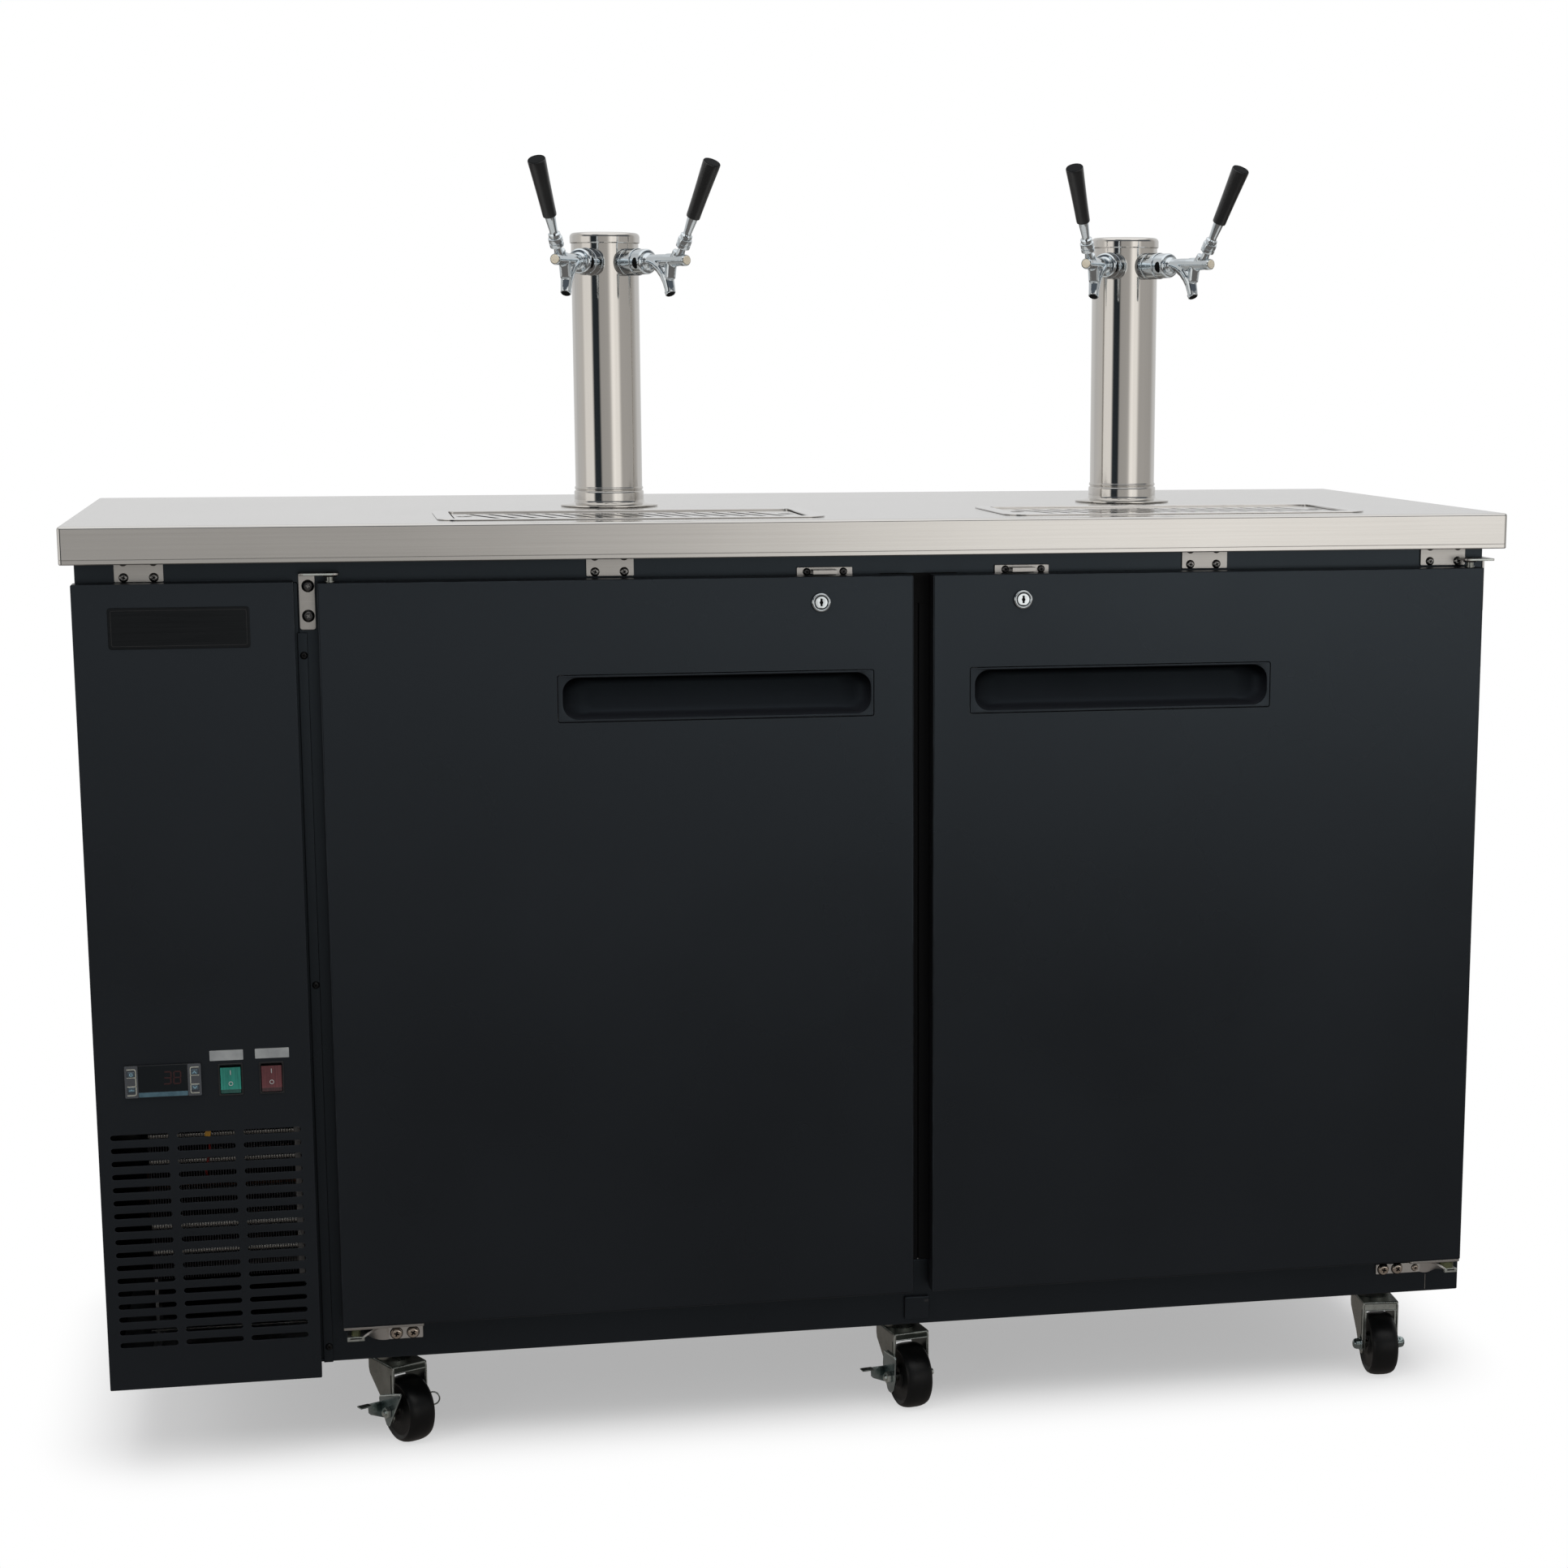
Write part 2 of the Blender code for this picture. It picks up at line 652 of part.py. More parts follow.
def keeper(lock_x):
    """A lock keeper: a lip held out from the top rail, behind which the raised cam catches."""
    low = DOOR_TOP + KEEPER_ABOVE_DOOR
    cam_front = DOOR_FRONT + CAM_FROM_FRONT
    lip_front = cam_front - FIT - BRACKET_SHEET - FIT
    lip = block(
        "keeper",
        (lock_x - KEEPER_WIDTH / 2, lip_front, low),
        (lock_x + KEEPER_WIDTH / 2, CASE_FRONT + BAY_SHELL, low + KEEPER_HEIGHT),
    )
    room = block(
        "keeper_room",
        (lock_x - KEEPER_WIDTH / 2 + BRACKET_SHEET, lip_front + BRACKET_SHEET, low - OVERRUN),
        (lock_x + KEEPER_WIDTH / 2 - BRACKET_SHEET, CASE_FRONT, low + KEEPER_HEIGHT - BRACKET_SHEET),
    )
    return made(cut(lip, room))


def make_liner():
    """The inner liner: five thin walls, open to the doors, with holes for the beer lines."""
    gap = Vector((FIT, 0.0, FIT))
    wall = Vector((LINER_WALL, 0.0, LINER_WALL))
    back = Vector((0.0, FIT, 0.0))
    liner = block("cabinet_liner", KEG_LOW + gap, KEG_HIGH - gap - back, LINER_WHITE)
    back_wall = Vector((0.0, LINER_WALL, 0.0))
    ahead = Vector((0.0, OVERRUN, 0.0))
    room = block("liner_room", KEG_LOW + gap + wall - ahead, KEG_HIGH - gap - wall - back - back_wall)
    cut(liner, room)
    for place in TOWER_PLACES:
        cut(liner, line_hole(place))
    return made(liner)


LINER_LOW = KEG_LOW + Vector((FIT + LINER_WALL, 0.0, FIT + LINER_WALL))
LINER_HIGH = KEG_HIGH - Vector((FIT + LINER_WALL, FIT + LINER_WALL, FIT + LINER_WALL))


def make_mullion():
    """The post between the two doors, between the liner's floor and ceiling."""
    return block(
        "door_mullion",
        (LEFT_DOOR[1] - DOOR_LAP, CASE_FRONT, LINER_LOW.z + FIT),
        (RIGHT_DOOR[0] + DOOR_LAP, CASE_FRONT + MULLION_DEPTH, LINER_HIGH.z - FIT),
        BLACK_PAINT,
    )


def make_door(side, edges, hinge_x, lock_x, recess_x):
    """A foamed door: a pan, an inner plug, a handle recess, hinge bores and a pocket for the lock's cam."""
    low_x, high_x = edges
    outline = rounded(DOOR_WIDTH / 2, (DOOR_TOP - DOOR_BOTTOM) / 2, DOOR_EDGE_ROUND, 1)
    centre = ((low_x + high_x) / 2, (DOOR_TOP + DOOR_BOTTOM) / 2)
    door = front_plate(side + "_door", outline, DOOR_FRONT, DOOR_BACK, centre, BLACK_PAINT)
    plug = block(
        "door_plug",
        (low_x + PLUG_INSET, DOOR_BACK - DOOR_PAN / 2, DOOR_BOTTOM + PLUG_INSET),
        (high_x - PLUG_INSET, DOOR_BACK + PLUG_DEPTH, DOOR_TOP - PLUG_INSET),
    )
    join(door, plug)
    recess = front_plate(
        "handle_recess",
        rounded(RECESS_WIDTH / 2, RECESS_HEIGHT / 2, RECESS_CORNER),
        DOOR_FRONT - OVERRUN,
        DOOR_FRONT + RECESS_DEPTH,
        (recess_x, RECESS_HEIGHT_ON_DOOR),
    )
    cut(door, recess)
    bore = bore_radius(PIN_RADIUS, SMALL_SIDES)
    depth = PIN_ENGAGEMENT + FIT
    cut(
        door,
        post("top_bore", hinge_x, PIN_Y, DOOR_TOP - depth, DOOR_TOP + OVERRUN, bore),
        post("low_bore", hinge_x, PIN_Y, DOOR_BOTTOM - OVERRUN, DOOR_BOTTOM + depth, bore),
    )
    cam_front = DOOR_FRONT + CAM_FROM_FRONT - FIT
    cam_back = DOOR_FRONT + CAM_FROM_FRONT + CAM_SHEET + FIT
    sweep = bore_radius(math.hypot(CAM_REACH, CAM_WIDTH / 2), FINE_SIDES)
    pocket = made(
        join(
            rod(
                "cam_pocket",
                (lock_x, cam_front, LOCK_HEIGHT_ON_DOOR),
                (lock_x, cam_back, LOCK_HEIGHT_ON_DOOR),
                sweep,
                FINE_SIDES,
            ),
            rod(
                "barrel_bore",
                (lock_x, DOOR_FRONT - OVERRUN, LOCK_HEIGHT_ON_DOOR),
                (lock_x, cam_back, LOCK_HEIGHT_ON_DOOR),
                bore_radius(LOCK_BARREL_RADIUS, ROUND_SIDES),
                ROUND_SIDES,
            ),
        )
    )
    cut(door, pocket)
    return smooth(put_origin(made(door), (hinge_x, PIN_Y, DOOR_BOTTOM)))


def put_origin(obj, place):
    """Moves the object's origin to a place, and leaves its shape where it is."""
    obj.data.transform(Matrix.Translation(-Vector(place)))
    obj.location = place
    return obj


def make_gasket(side, edges, hinge_x):
    """The magnetic seal between a door and the case, a square ring."""
    low_x, high_x = edges
    front = DOOR_BACK + FIT
    back = CASE_FRONT - FIT
    inset = GASKET_INSET
    inner = GASKET_INSET + GASKET_BAND
    ring = block(
        side + "_door_gasket",
        (low_x + inset, front, DOOR_BOTTOM + inset),
        (high_x - inset, back, DOOR_TOP - inset),
        SOFT_BLACK,
    )
    hole = block(
        "gasket_hole",
        (low_x + inner, front - OVERRUN, DOOR_BOTTOM + inner),
        (high_x - inner, back + OVERRUN, DOOR_TOP - inner),
    )
    return put_origin(made(cut(ring, hole)), (hinge_x, PIN_Y, DOOR_BOTTOM))


def make_lock(side, lock_x):
    """A cam lock: a collar on the door's face, a barrel and a cam that turns up behind the keeper."""
    height = LOCK_HEIGHT_ON_DOOR
    cam_front = DOOR_FRONT + CAM_FROM_FRONT
    cam_back = cam_front + CAM_SHEET
    lock = rod(
        side + "_door_lock",
        (lock_x, DOOR_FRONT - LOCK_COLLAR_PROUD, height),
        (lock_x, DOOR_FRONT - FIT, height),
        LOCK_COLLAR_RADIUS,
        ROUND_SIDES,
        material=CHROME,
    )
    barrel = rod(
        "barrel",
        (lock_x, DOOR_FRONT - LOCK_COLLAR_PROUD / 2, height),
        (lock_x, cam_back, height),
        LOCK_BARREL_RADIUS,
        ROUND_SIDES,
    )
    toward = 1 if side == "left" else -1
    ends = sorted((lock_x, lock_x - toward * CAM_REACH))
    cam = block(
        "cam",
        (ends[0], cam_front, height - CAM_WIDTH / 2),
        (ends[1], cam_back, height + CAM_WIDTH / 2),
    )
    join(lock, barrel, cam)
    return smooth(put_origin(made(lock), (lock_x, DOOR_FRONT, height)))


def make_top_hinge(side, hinge_x, toward):
    """The upper hinge bracket: a plate, an arm over the door, a bushing and a pin down into the door."""
    arm_low = DOOR_TOP + TOP_ARM_GAP
    arm_high = arm_low + BRACKET_SHEET
    arm_front = PIN_Y - HINGE_ARM_HALF
    case_face = CASE_FRONT - FIT
    edge = hinge_x - toward * PIN_FROM_DOOR_EDGE
    plate_near = edge - toward * TOP_PLATE_GAP
    plate_far = plate_near - toward * TOP_PLATE_WIDTH
    arm_end = hinge_x + toward * HINGE_ARM_HALF
    if toward > 0:
        leg = block(
            "hinge_leg",
            (plate_far, case_face - BRACKET_SHEET, arm_high - TOP_PLATE_HEIGHT),
            (plate_near, case_face, arm_high),
        )
        reach = plate_far
        arm_back = case_face
    else:
        reach = CASE_HALF + FIT + BRACKET_SHEET
        arm_back = case_face - BRACKET_SHEET - FIT
        leg = block(
            "hinge_leg",
            (CASE_HALF + FIT, CASE_FRONT, arm_high - TOP_PLATE_HEIGHT),
            (reach, CASE_FRONT + SIDE_LEG_DEPTH, arm_high),
        )
        tongue = block(
            "hinge_tongue",
            (CASE_HALF + FIT, arm_front, arm_low),
            (reach, CASE_FRONT + SIDE_LEG_DEPTH / 2, arm_high),
        )
        join(leg, tongue)
    ends = sorted((reach, arm_end))
    bracket = block(
        side + "_top_hinge",
        (ends[0], arm_front, arm_low),
        (ends[1], arm_back, arm_high),
        BLACK_PAINT,
    )
    bush = post("bush", hinge_x, PIN_Y, DOOR_TOP + FIT, arm_high, BUSH_RADIUS)
    pin = post("pin", hinge_x, PIN_Y, DOOR_TOP - PIN_ENGAGEMENT, arm_high, PIN_RADIUS)
    return made(join(bracket, leg, bush, pin))


def make_bottom_hinge(side, hinge_x, toward, plate_far):
    """The lower hinge bracket: a plate, an arm under the door, a bushing and a pin up into the door."""
    arm_high = DOOR_BOTTOM - BOTTOM_ARM_GAP
    arm_low = arm_high - BRACKET_SHEET
    arm_front = PIN_Y - HINGE_ARM_HALF
    case_face = CASE_FRONT - FIT
    far = hinge_x + toward * plate_far
    near = hinge_x + toward * BOTTOM_PLATE_NEAR
    end = hinge_x - toward * HINGE_ARM_HALF
    leg_ends = sorted((near, far))
    leg = block(
        "hinge_leg",
        (leg_ends[0], case_face - BRACKET_SHEET, arm_low),
        (leg_ends[1], case_face, arm_low + BOTTOM_PLATE_HEIGHT),
    )
    ends = sorted((end, far))
    bracket = block(
        side + "_bottom_hinge",
        (ends[0], arm_front, arm_low),
        (ends[1], case_face, arm_high),
        BLACK_PAINT,
    )
    bush = post("bush", hinge_x, PIN_Y, arm_low, DOOR_BOTTOM - FIT, BUSH_RADIUS)
    pin = post("pin", hinge_x, PIN_Y, arm_low, DOOR_BOTTOM + PIN_ENGAGEMENT, PIN_RADIUS)
    return made(join(bracket, leg, bush, pin))


CONTROL_X = COVER_LOW_X + CONTROL_FROM_COVER_EDGE
GREEN_X = CONTROL_X + GREEN_ROCKER_FROM_CONTROL
RED_X = GREEN_X + RED_ROCKER_FROM_GREEN
CONTROL_BODY_HALF_X = CONTROL_WIDTH / 2 - CONTROL_BODY_SHRINK
CONTROL_BODY_HALF_Z = CONTROL_HEIGHT / 2 - CONTROL_BODY_SHRINK


def slot_outline():
    """One slot with round ends, about its middle."""
    radius = SLOT_HEIGHT / 2
    points = []
    for side in (0, 1):
        middle = (SLOT_LENGTH / 2 - radius) * (1 - 2 * side)
        for step in range(SLOT_END_STEPS + 1):
            angle = -math.pi / 2 + math.pi * (side + step / SLOT_END_STEPS)
            points.append((middle + radius * math.cos(angle), radius * math.sin(angle)))
    return points


def make_cover():
    """The pan over the compressor bay, with slots and with cut-outs for the controller and the switches."""
    cover = block(
        "compressor_cover",
        (COVER_LOW_X, COVER_FRONT, COVER_BOTTOM),
        (COVER_HIGH_X, CASE_FRONT - FIT, COVER_TOP),
        BLACK_PAINT,
    )
    room = block(
        "cover_room",
        (COVER_LOW_X + SHEET, COVER_FRONT + SHEET, COVER_BOTTOM + SHEET),
        (COVER_HIGH_X - SHEET, CASE_FRONT + OVERRUN, COVER_TOP - SHEET),
    )
    cut(cover, room)
    centre_x = (COVER_LOW_X + COVER_HIGH_X) / 2
    slots = []
    for column in range(SLOT_COLUMNS):
        slot_x = centre_x + (column - (SLOT_COLUMNS - 1) / 2) * SLOT_COLUMN_PITCH
        for row in range(SLOT_ROWS):
            slot_z = SLOT_TOP_ROW - row * SLOT_ROW_PITCH
            slots.append(
                front_plate(
                    "slot",
                    slot_outline(),
                    COVER_FRONT - OVERRUN / 2,
                    COVER_FRONT + OVERRUN / 2,
                    (slot_x, slot_z),
                )
            )
    cut(cover, several("slots", slots))
    cutouts = [
        cover_hole(CONTROL_X, CONTROL_CENTRE_HEIGHT, CONTROL_BODY_HALF_X + FIT, CONTROL_BODY_HALF_Z + FIT),
    ]
    for place in (GREEN_X, RED_X):
        half_x = ROCKER_WIDTH / 2 + ROCKER_SIDE_GAP
        half_z = ROCKER_HEIGHT / 2 + ROCKER_END_GAP
        cutouts.append(cover_hole(place, ROCKER_CENTRE_HEIGHT, half_x, half_z))
    cut(cover, *cutouts)
    return made(cover)


def cover_hole(x, z, half_x, half_z):
    return block(
        "cover_hole",
        (x - half_x, COVER_FRONT - OVERRUN / 2, z - half_z),
        (x + half_x, COVER_FRONT + OVERRUN / 2, z + half_z),
    )


def key_places():
    """Where the four keys sit on the controller: two at each end."""
    for column, across in (("left", -1), ("right", 1)):
        for row, up in (("upper", 1), ("lower", -1)):
            name = "key_" + column + "_" + row
            yield name, CONTROL_X + across * KEY_COLUMN_OFFSET, CONTROL_CENTRE_HEIGHT + up * KEY_ROW_OFFSET


def make_controller():
    """The temperature controller: a bezel on the cover, a body behind it and four key wells."""
    bezel_front = COVER_FRONT - CONTROL_PROUD
    bezel = block(
        "controller",
        (CONTROL_X - CONTROL_WIDTH / 2, bezel_front, CONTROL_CENTRE_HEIGHT - CONTROL_HEIGHT / 2),
        (CONTROL_X + CONTROL_WIDTH / 2, COVER_FRONT - FIT, CONTROL_CENTRE_HEIGHT + CONTROL_HEIGHT / 2),
        CONTROL_BLACK,
    )
    half = Vector((CONTROL_BODY_HALF_X, 0.0, CONTROL_BODY_HALF_Z))
    body = block(
        "controller_body",
        Vector((CONTROL_X, COVER_FRONT - CONTROL_PROUD / 2, CONTROL_CENTRE_HEIGHT)) - half,
        Vector((CONTROL_X, COVER_FRONT + CONTROL_BODY_DEPTH, CONTROL_CENTRE_HEIGHT)) + half,
    )
    join(bezel, body)
    for _, x, z in key_places():
        well = block(
            "key_well",
            (x - KEY_WIDTH / 2 - FIT, bezel_front - OVERRUN, z - KEY_HEIGHT / 2 - FIT),
            (x + KEY_WIDTH / 2 + FIT, bezel_front + KEY_DEPTH + KEY_TRAVEL + FIT, z + KEY_HEIGHT / 2 + FIT),
        )
        cut(bezel, well)
    return made(bezel)


def make_keys():
    front = COVER_FRONT - CONTROL_PROUD
    for name, x, z in key_places():
        key = block(
            name,
            (x - KEY_WIDTH / 2, front - KEY_PROUD, z - KEY_HEIGHT / 2),
            (x + KEY_WIDTH / 2, front + KEY_DEPTH, z + KEY_HEIGHT / 2),
            KEY_GREY,
        )
        put_origin(key, (x, front, z))


def make_rocker(name, x, material):
    """A rocker: its face is a shallow V, and it is tilted to the side that is pressed."""
    half = ROCKER_HEIGHT / 2
    dip = ROCKER_PROUD / 2
    outline = [
        (-ROCKER_PROUD, half),
        (-ROCKER_PROUD + dip, 0.0),
        (-ROCKER_PROUD, -half),
        (ROCKER_DEPTH - ROCKER_PROUD, -half / 2),
        (ROCKER_DEPTH - ROCKER_PROUD, half / 2),
    ]
    turn = Matrix.Rotation(math.pi / 2, 4, "Z") @ Matrix.Rotation(math.pi / 2, 4, "X")
    rocker = plate(name, outline, -ROCKER_WIDTH / 2, ROCKER_WIDTH / 2, turn, material)
    rocker.location = (x, COVER_FRONT, ROCKER_CENTRE_HEIGHT)
    rocker.rotation_euler = (ROCKER_TILT, 0.0, 0.0)
    return rocker


def fan_wheel(name, radius, material):
    """A fan with its hub at the origin, turning about Y, and a blind bore at the back for the motor shaft."""
    half = FAN_HUB_LENGTH / 2
    hub = rod(name, (0.0, -half, 0.0), (0.0, half, 0.0), FAN_HUB_RADIUS, SMALL_SIDES, material=material)
    for number in range(FAN_BLADES):
        blade = block(
            "fan_blade",
            (-FAN_BLADE_WIDTH / 2, -FAN_BLADE_SHEET / 2, FAN_HUB_RADIUS / 2),
            (FAN_BLADE_WIDTH / 2, FAN_BLADE_SHEET / 2, radius),
        )
        pitch = Matrix.Rotation(FAN_BLADE_PITCH, 4, "Z")
        around = Matrix.Rotation(2 * math.pi * number / FAN_BLADES, 4, "Y")
        blade.data.transform(around @ pitch)
        join(hub, blade)
    bore_size = bore_radius(FAN_SHAFT_RADIUS, SMALL_SIDES)
    bore = rod("shaft_bore", (0.0, 0.0, 0.0), (0.0, half + OVERRUN, 0.0), bore_size, SMALL_SIDES)
    return made(cut(hub, bore))


CONDENSER_HIGH_X = BAY_HIGH.x - CONDENSER_RIGHT_GAP
CONDENSER_LOW_X = CONDENSER_HIGH_X - CONDENSER_WIDTH
CONDENSER_FRONT = CASE_FRONT + CONDENSER_FROM_FRONT
CONDENSER_LOW_Z = BAY_LOW.z + CONDENSER_LIFT
FAN_CENTRE = Vector(
    (
        (CONDENSER_LOW_X + CONDENSER_HIGH_X) / 2,
        CONDENSER_FRONT + CONDENSER_DEPTH + SHROUD_DEPTH / 2,
        CONDENSER_LOW_Z + CONDENSER_HEIGHT / 2,
    )
)


def motor_with_shaft(back_of_fan):
    """A fan motor behind the fan, with the shaft that carries it."""
    start = back_of_fan + Vector((0.0, MOTOR_GAP, 0.0))
    end = start + Vector((0.0, MOTOR_LENGTH, 0.0))
    motor = rod("motor", start, end, MOTOR_RADIUS, ROUND_SIDES)
    tip = back_of_fan - Vector((0.0, FAN_HUB_LENGTH / 2 - FIT, 0.0))
    shaft = rod("shaft", tip, start + Vector((0.0, MOTOR_GAP, 0.0)), FAN_SHAFT_RADIUS, SMALL_SIDES)
    return motor, shaft, start


def make_condenser():
    """The condenser coil on its stand, with the fan shroud, the motor's bracket, the motor and its shaft."""
    low = Vector((CONDENSER_LOW_X, CONDENSER_FRONT, CONDENSER_LOW_Z))
    high = Vector((CONDENSER_HIGH_X, CONDENSER_FRONT + CONDENSER_DEPTH, CONDENSER_LOW_Z + CONDENSER_HEIGHT))
    sheet = SHROUD_SHEET
    coil = block("condenser", low, high, COIL)
    for x in (low.x + sheet, high.x - 2 * sheet):
        foot = block(
            "stand",
            (x, low.y + sheet, BAY_LOW.z + FIT),
            (x + sheet, high.y - 2 * sheet, low.z + sheet),
        )
        join(coil, foot)
    row_pitch = CONDENSER_HEIGHT / COIL_TUBE_ROWS
    for row in range(COIL_TUBE_ROWS):
        z = low.z + row_pitch * (row + 1 / 2)
        y = low.y + CONDENSER_DEPTH / 2
        tube = rod(
            "coil_tube",
            (low.x - COIL_TUBE_PROUD, y, z),
            (high.x + COIL_TUBE_PROUD, y, z),
            COIL_TUBE_RADIUS,
            SMALL_SIDES,
        )
        join(coil, tube)
    skin = Vector((sheet, 0.0, sheet))
    shroud = block(
        "shroud",
        Vector((low.x, high.y - sheet, low.z)) - skin,
        Vector((high.x, high.y + SHROUD_DEPTH, high.z)) + skin,
    )
    throat = rod(
        "throat",
        (FAN_CENTRE.x, high.y - sheet / 2, FAN_CENTRE.z),
        (FAN_CENTRE.x, high.y + SHROUD_DEPTH + OVERRUN, FAN_CENTRE.z),
        FAN_RADIUS + FAN_TIP_GAP,
        FINE_SIDES,
    )
    join(coil, made(cut(shroud, throat)))
    motor, shaft, start = motor_with_shaft(FAN_CENTRE + Vector((0.0, FAN_HUB_LENGTH / 2, 0.0)))
    left = low.x - MOTOR_ARM_OUTSET
    right = high.x + MOTOR_ARM_OUTSET
    front = high.y + SHROUD_DEPTH / 2
    back = start.y + MOTOR_ARM_WIDTH
    outline = [
        (left, back),
        (right, back),
        (right, front),
        (right - sheet, front),
        (right - sheet, back - sheet),
        (left + sheet, back - sheet),
        (left + sheet, front),
        (left, front),
    ]
    half = MOTOR_ARM_WIDTH / 2
    bracket = plate("motor_bracket", outline, FAN_CENTRE.z - half, FAN_CENTRE.z + half)
    return made(join(coil, motor, shaft, bracket))


def make_compressor():
    """The hermetic compressor: a domed pot on a base plate with four rubber feet."""
    floor = BAY_LOW.z + FIT
    seat = floor + COMPRESSOR_FOOT_LIFT
    centre = Vector(((BAY_LOW.x + BAY_HIGH.x) / 2, BAY_HIGH.y - COMPRESSOR_FROM_BACK, 0.0))
    top = seat + COMPRESSOR_HEIGHT
    radius = COMPRESSOR_RADIUS
    dome = radius / 2
    profile = [(0.0, top)]
    for step in range(1, 4):
        angle = math.pi / 2 * step / 3
        profile.append((radius * math.sin(angle), top - dome + dome * math.cos(angle)))
    profile.append((radius, seat + dome))
    profile.append((radius * math.cos(math.pi / 6), seat + SHEET))
    profile.append((0.0, seat + SHEET))
    pot = turned("compressor", profile, ROUND_SIDES, MACHINE_BLACK)
    pot.data.transform(Matrix.Translation(centre))
    half = COMPRESSOR_BASE_SIZE / 2
    base = block(
        "compressor_base",
        (centre.x - half, centre.y - half, seat),
        (centre.x + half, centre.y + half, seat + SHEET + SHEET),
    )
    join(pot, base)
    inset = half - COMPRESSOR_FOOT_RADIUS - SHEET
    for side_x in (-1, 1):
        for side_y in (-1, 1):
            spot = centre + Vector((side_x * inset, side_y * inset, 0.0))
            foot = rod(
                "compressor_foot",
                spot + Vector((0.0, 0.0, floor)),
                spot + Vector((0.0, 0.0, seat + SHEET)),
                COMPRESSOR_FOOT_RADIUS,
                SMALL_SIDES,
            )
            join(pot, foot)
    return smooth(made(pot))


EVAPORATOR_CENTRE_X = (LEFT_DOOR[1] + RIGHT_DOOR[0]) / 2
EVAPORATOR_BACK = LINER_HIGH.y - FIT
EVAPORATOR_FAN_CENTRE = Vector(
    (
        EVAPORATOR_CENTRE_X,
        EVAPORATOR_BACK - EVAPORATOR_DEPTH + EVAPORATOR_WALL + FAN_HUB_LENGTH,
        LINER_HIGH.z - EVAPORATOR_FROM_TOP - EVAPORATOR_HEIGHT / 2,
    )
)


def make_evaporator():
    """The evaporator's housing on the liner's back wall: a box open below, a fan mouth and the motor."""
    centre = EVAPORATOR_FAN_CENTRE
    half = Vector((EVAPORATOR_WIDTH / 2, 0.0, EVAPORATOR_HEIGHT / 2))
    low = Vector((centre.x, EVAPORATOR_BACK - EVAPORATOR_DEPTH, centre.z)) - half
    high = Vector((centre.x, EVAPORATOR_BACK, centre.z)) + half
    wall = Vector((EVAPORATOR_WALL, EVAPORATOR_WALL, EVAPORATOR_WALL))
    housing = block("evaporator_housing", low, high, LINER_WHITE)
    room = block("evaporator_room", low + wall - Vector((0.0, 0.0, OVERRUN)), high - wall)
    mouth = rod(
        "fan_mouth",
        (centre.x, low.y - OVERRUN, centre.z),
        (centre.x, low.y + OVERRUN, centre.z),
        EVAPORATOR_FAN_RADIUS + FAN_TIP_GAP,
        FINE_SIDES,
    )
    cut(housing, room, mouth)
    back_of_fan = centre + Vector((0.0, FAN_HUB_LENGTH / 2, 0.0))
    motor, shaft, start = motor_with_shaft(back_of_fan)
    arm_front = start.y + MOTOR_ARM_WIDTH
    arm = block(
        "motor_arm",
        (centre.x - MOTOR_ARM_WIDTH / 2, arm_front, centre.z),
        (centre.x + MOTOR_ARM_WIDTH / 2, arm_front + EVAPORATOR_WALL, high.z - EVAPORATOR_WALL / 2),
    )
    return made(join(housing, motor, shaft, arm))


def make_tray(side, place):
    """A drip tray: a flange on the worktop, a ledge for the grille and a well below it."""
    wall = SHEET
    flange = tray_block(
        side + "_drip_tray",
        place,
        TRAY_LENGTH + 2 * TRAY_FLANGE,
        TRAY_WIDTH + 2 * TRAY_FLANGE,
        FIT,
        FIT + TRAY_FLANGE_SHEET,
    )
    flange.data.materials.append(BRUSHED)
    length = TRAY_LENGTH - 2 * FIT
    width = TRAY_WIDTH - 2 * FIT
    ledge = -TRAY_LEDGE_DEPTH
    step = 2 * TRAY_LEDGE
    inset = 2 * wall
    rim = FIT + TRAY_FLANGE_SHEET / 2
    upper = tray_block("tray_upper", place, length, width, ledge - wall, rim)
    lower = tray_block("tray_lower", place, length - step, width - step, -TRAY_DEPTH, ledge)
    seat = tray_block("tray_seat", place, length - inset, width - inset, ledge, OVERRUN)
    step += inset
    well = tray_block("tray_well", place, length - step, width - step, wall - TRAY_DEPTH, OVERRUN)
    join(flange, upper, lower)
    cut(flange, seat, well)
    return made(flange)


def make_grille(side, place):
    """A slotted grille that lies on the tray's ledge, with slanted slots."""
    length = TRAY_LENGTH - 2 * (FIT + SHEET + GRILLE_GAP)
    width = TRAY_WIDTH - 2 * (FIT + SHEET + GRILLE_GAP)
    low = -TRAY_LEDGE_DEPTH + FIT
    grille = tray_block(side + "_drip_grille", place, length, width, low, low + GRILLE_SHEET)
    grille.data.materials.append(BRUSHED)
    pitch = length / (GRILLE_SLOTS + 1)
    half_width = GRILLE_SLOT_WIDTH / 2
    half_span = GRILLE_SLOT_SPAN / 2
    half_slant = GRILLE_SLOT_SLANT / 2
    slots = []
    for number in range(GRILLE_SLOTS):
        x = place + (number - (GRILLE_SLOTS - 1) / 2) * pitch
        outline = [
            (x - half_width + half_slant, TRAY_CENTRE_Y - half_span),
            (x + half_width + half_slant, TRAY_CENTRE_Y - half_span),
            (x + half_width - half_slant, TRAY_CENTRE_Y + half_span),
            (x - half_width - half_slant, TRAY_CENTRE_Y + half_span),
        ]
        slots.append(plate("grille_slot", outline, WORKTOP_HEIGHT - OVERRUN, WORKTOP_HEIGHT + OVERRUN))
    cut(grille, several("grille_slots", slots))
    return put_origin(made(grille), (place, TRAY_CENTRE_Y, WORKTOP_HEIGHT))


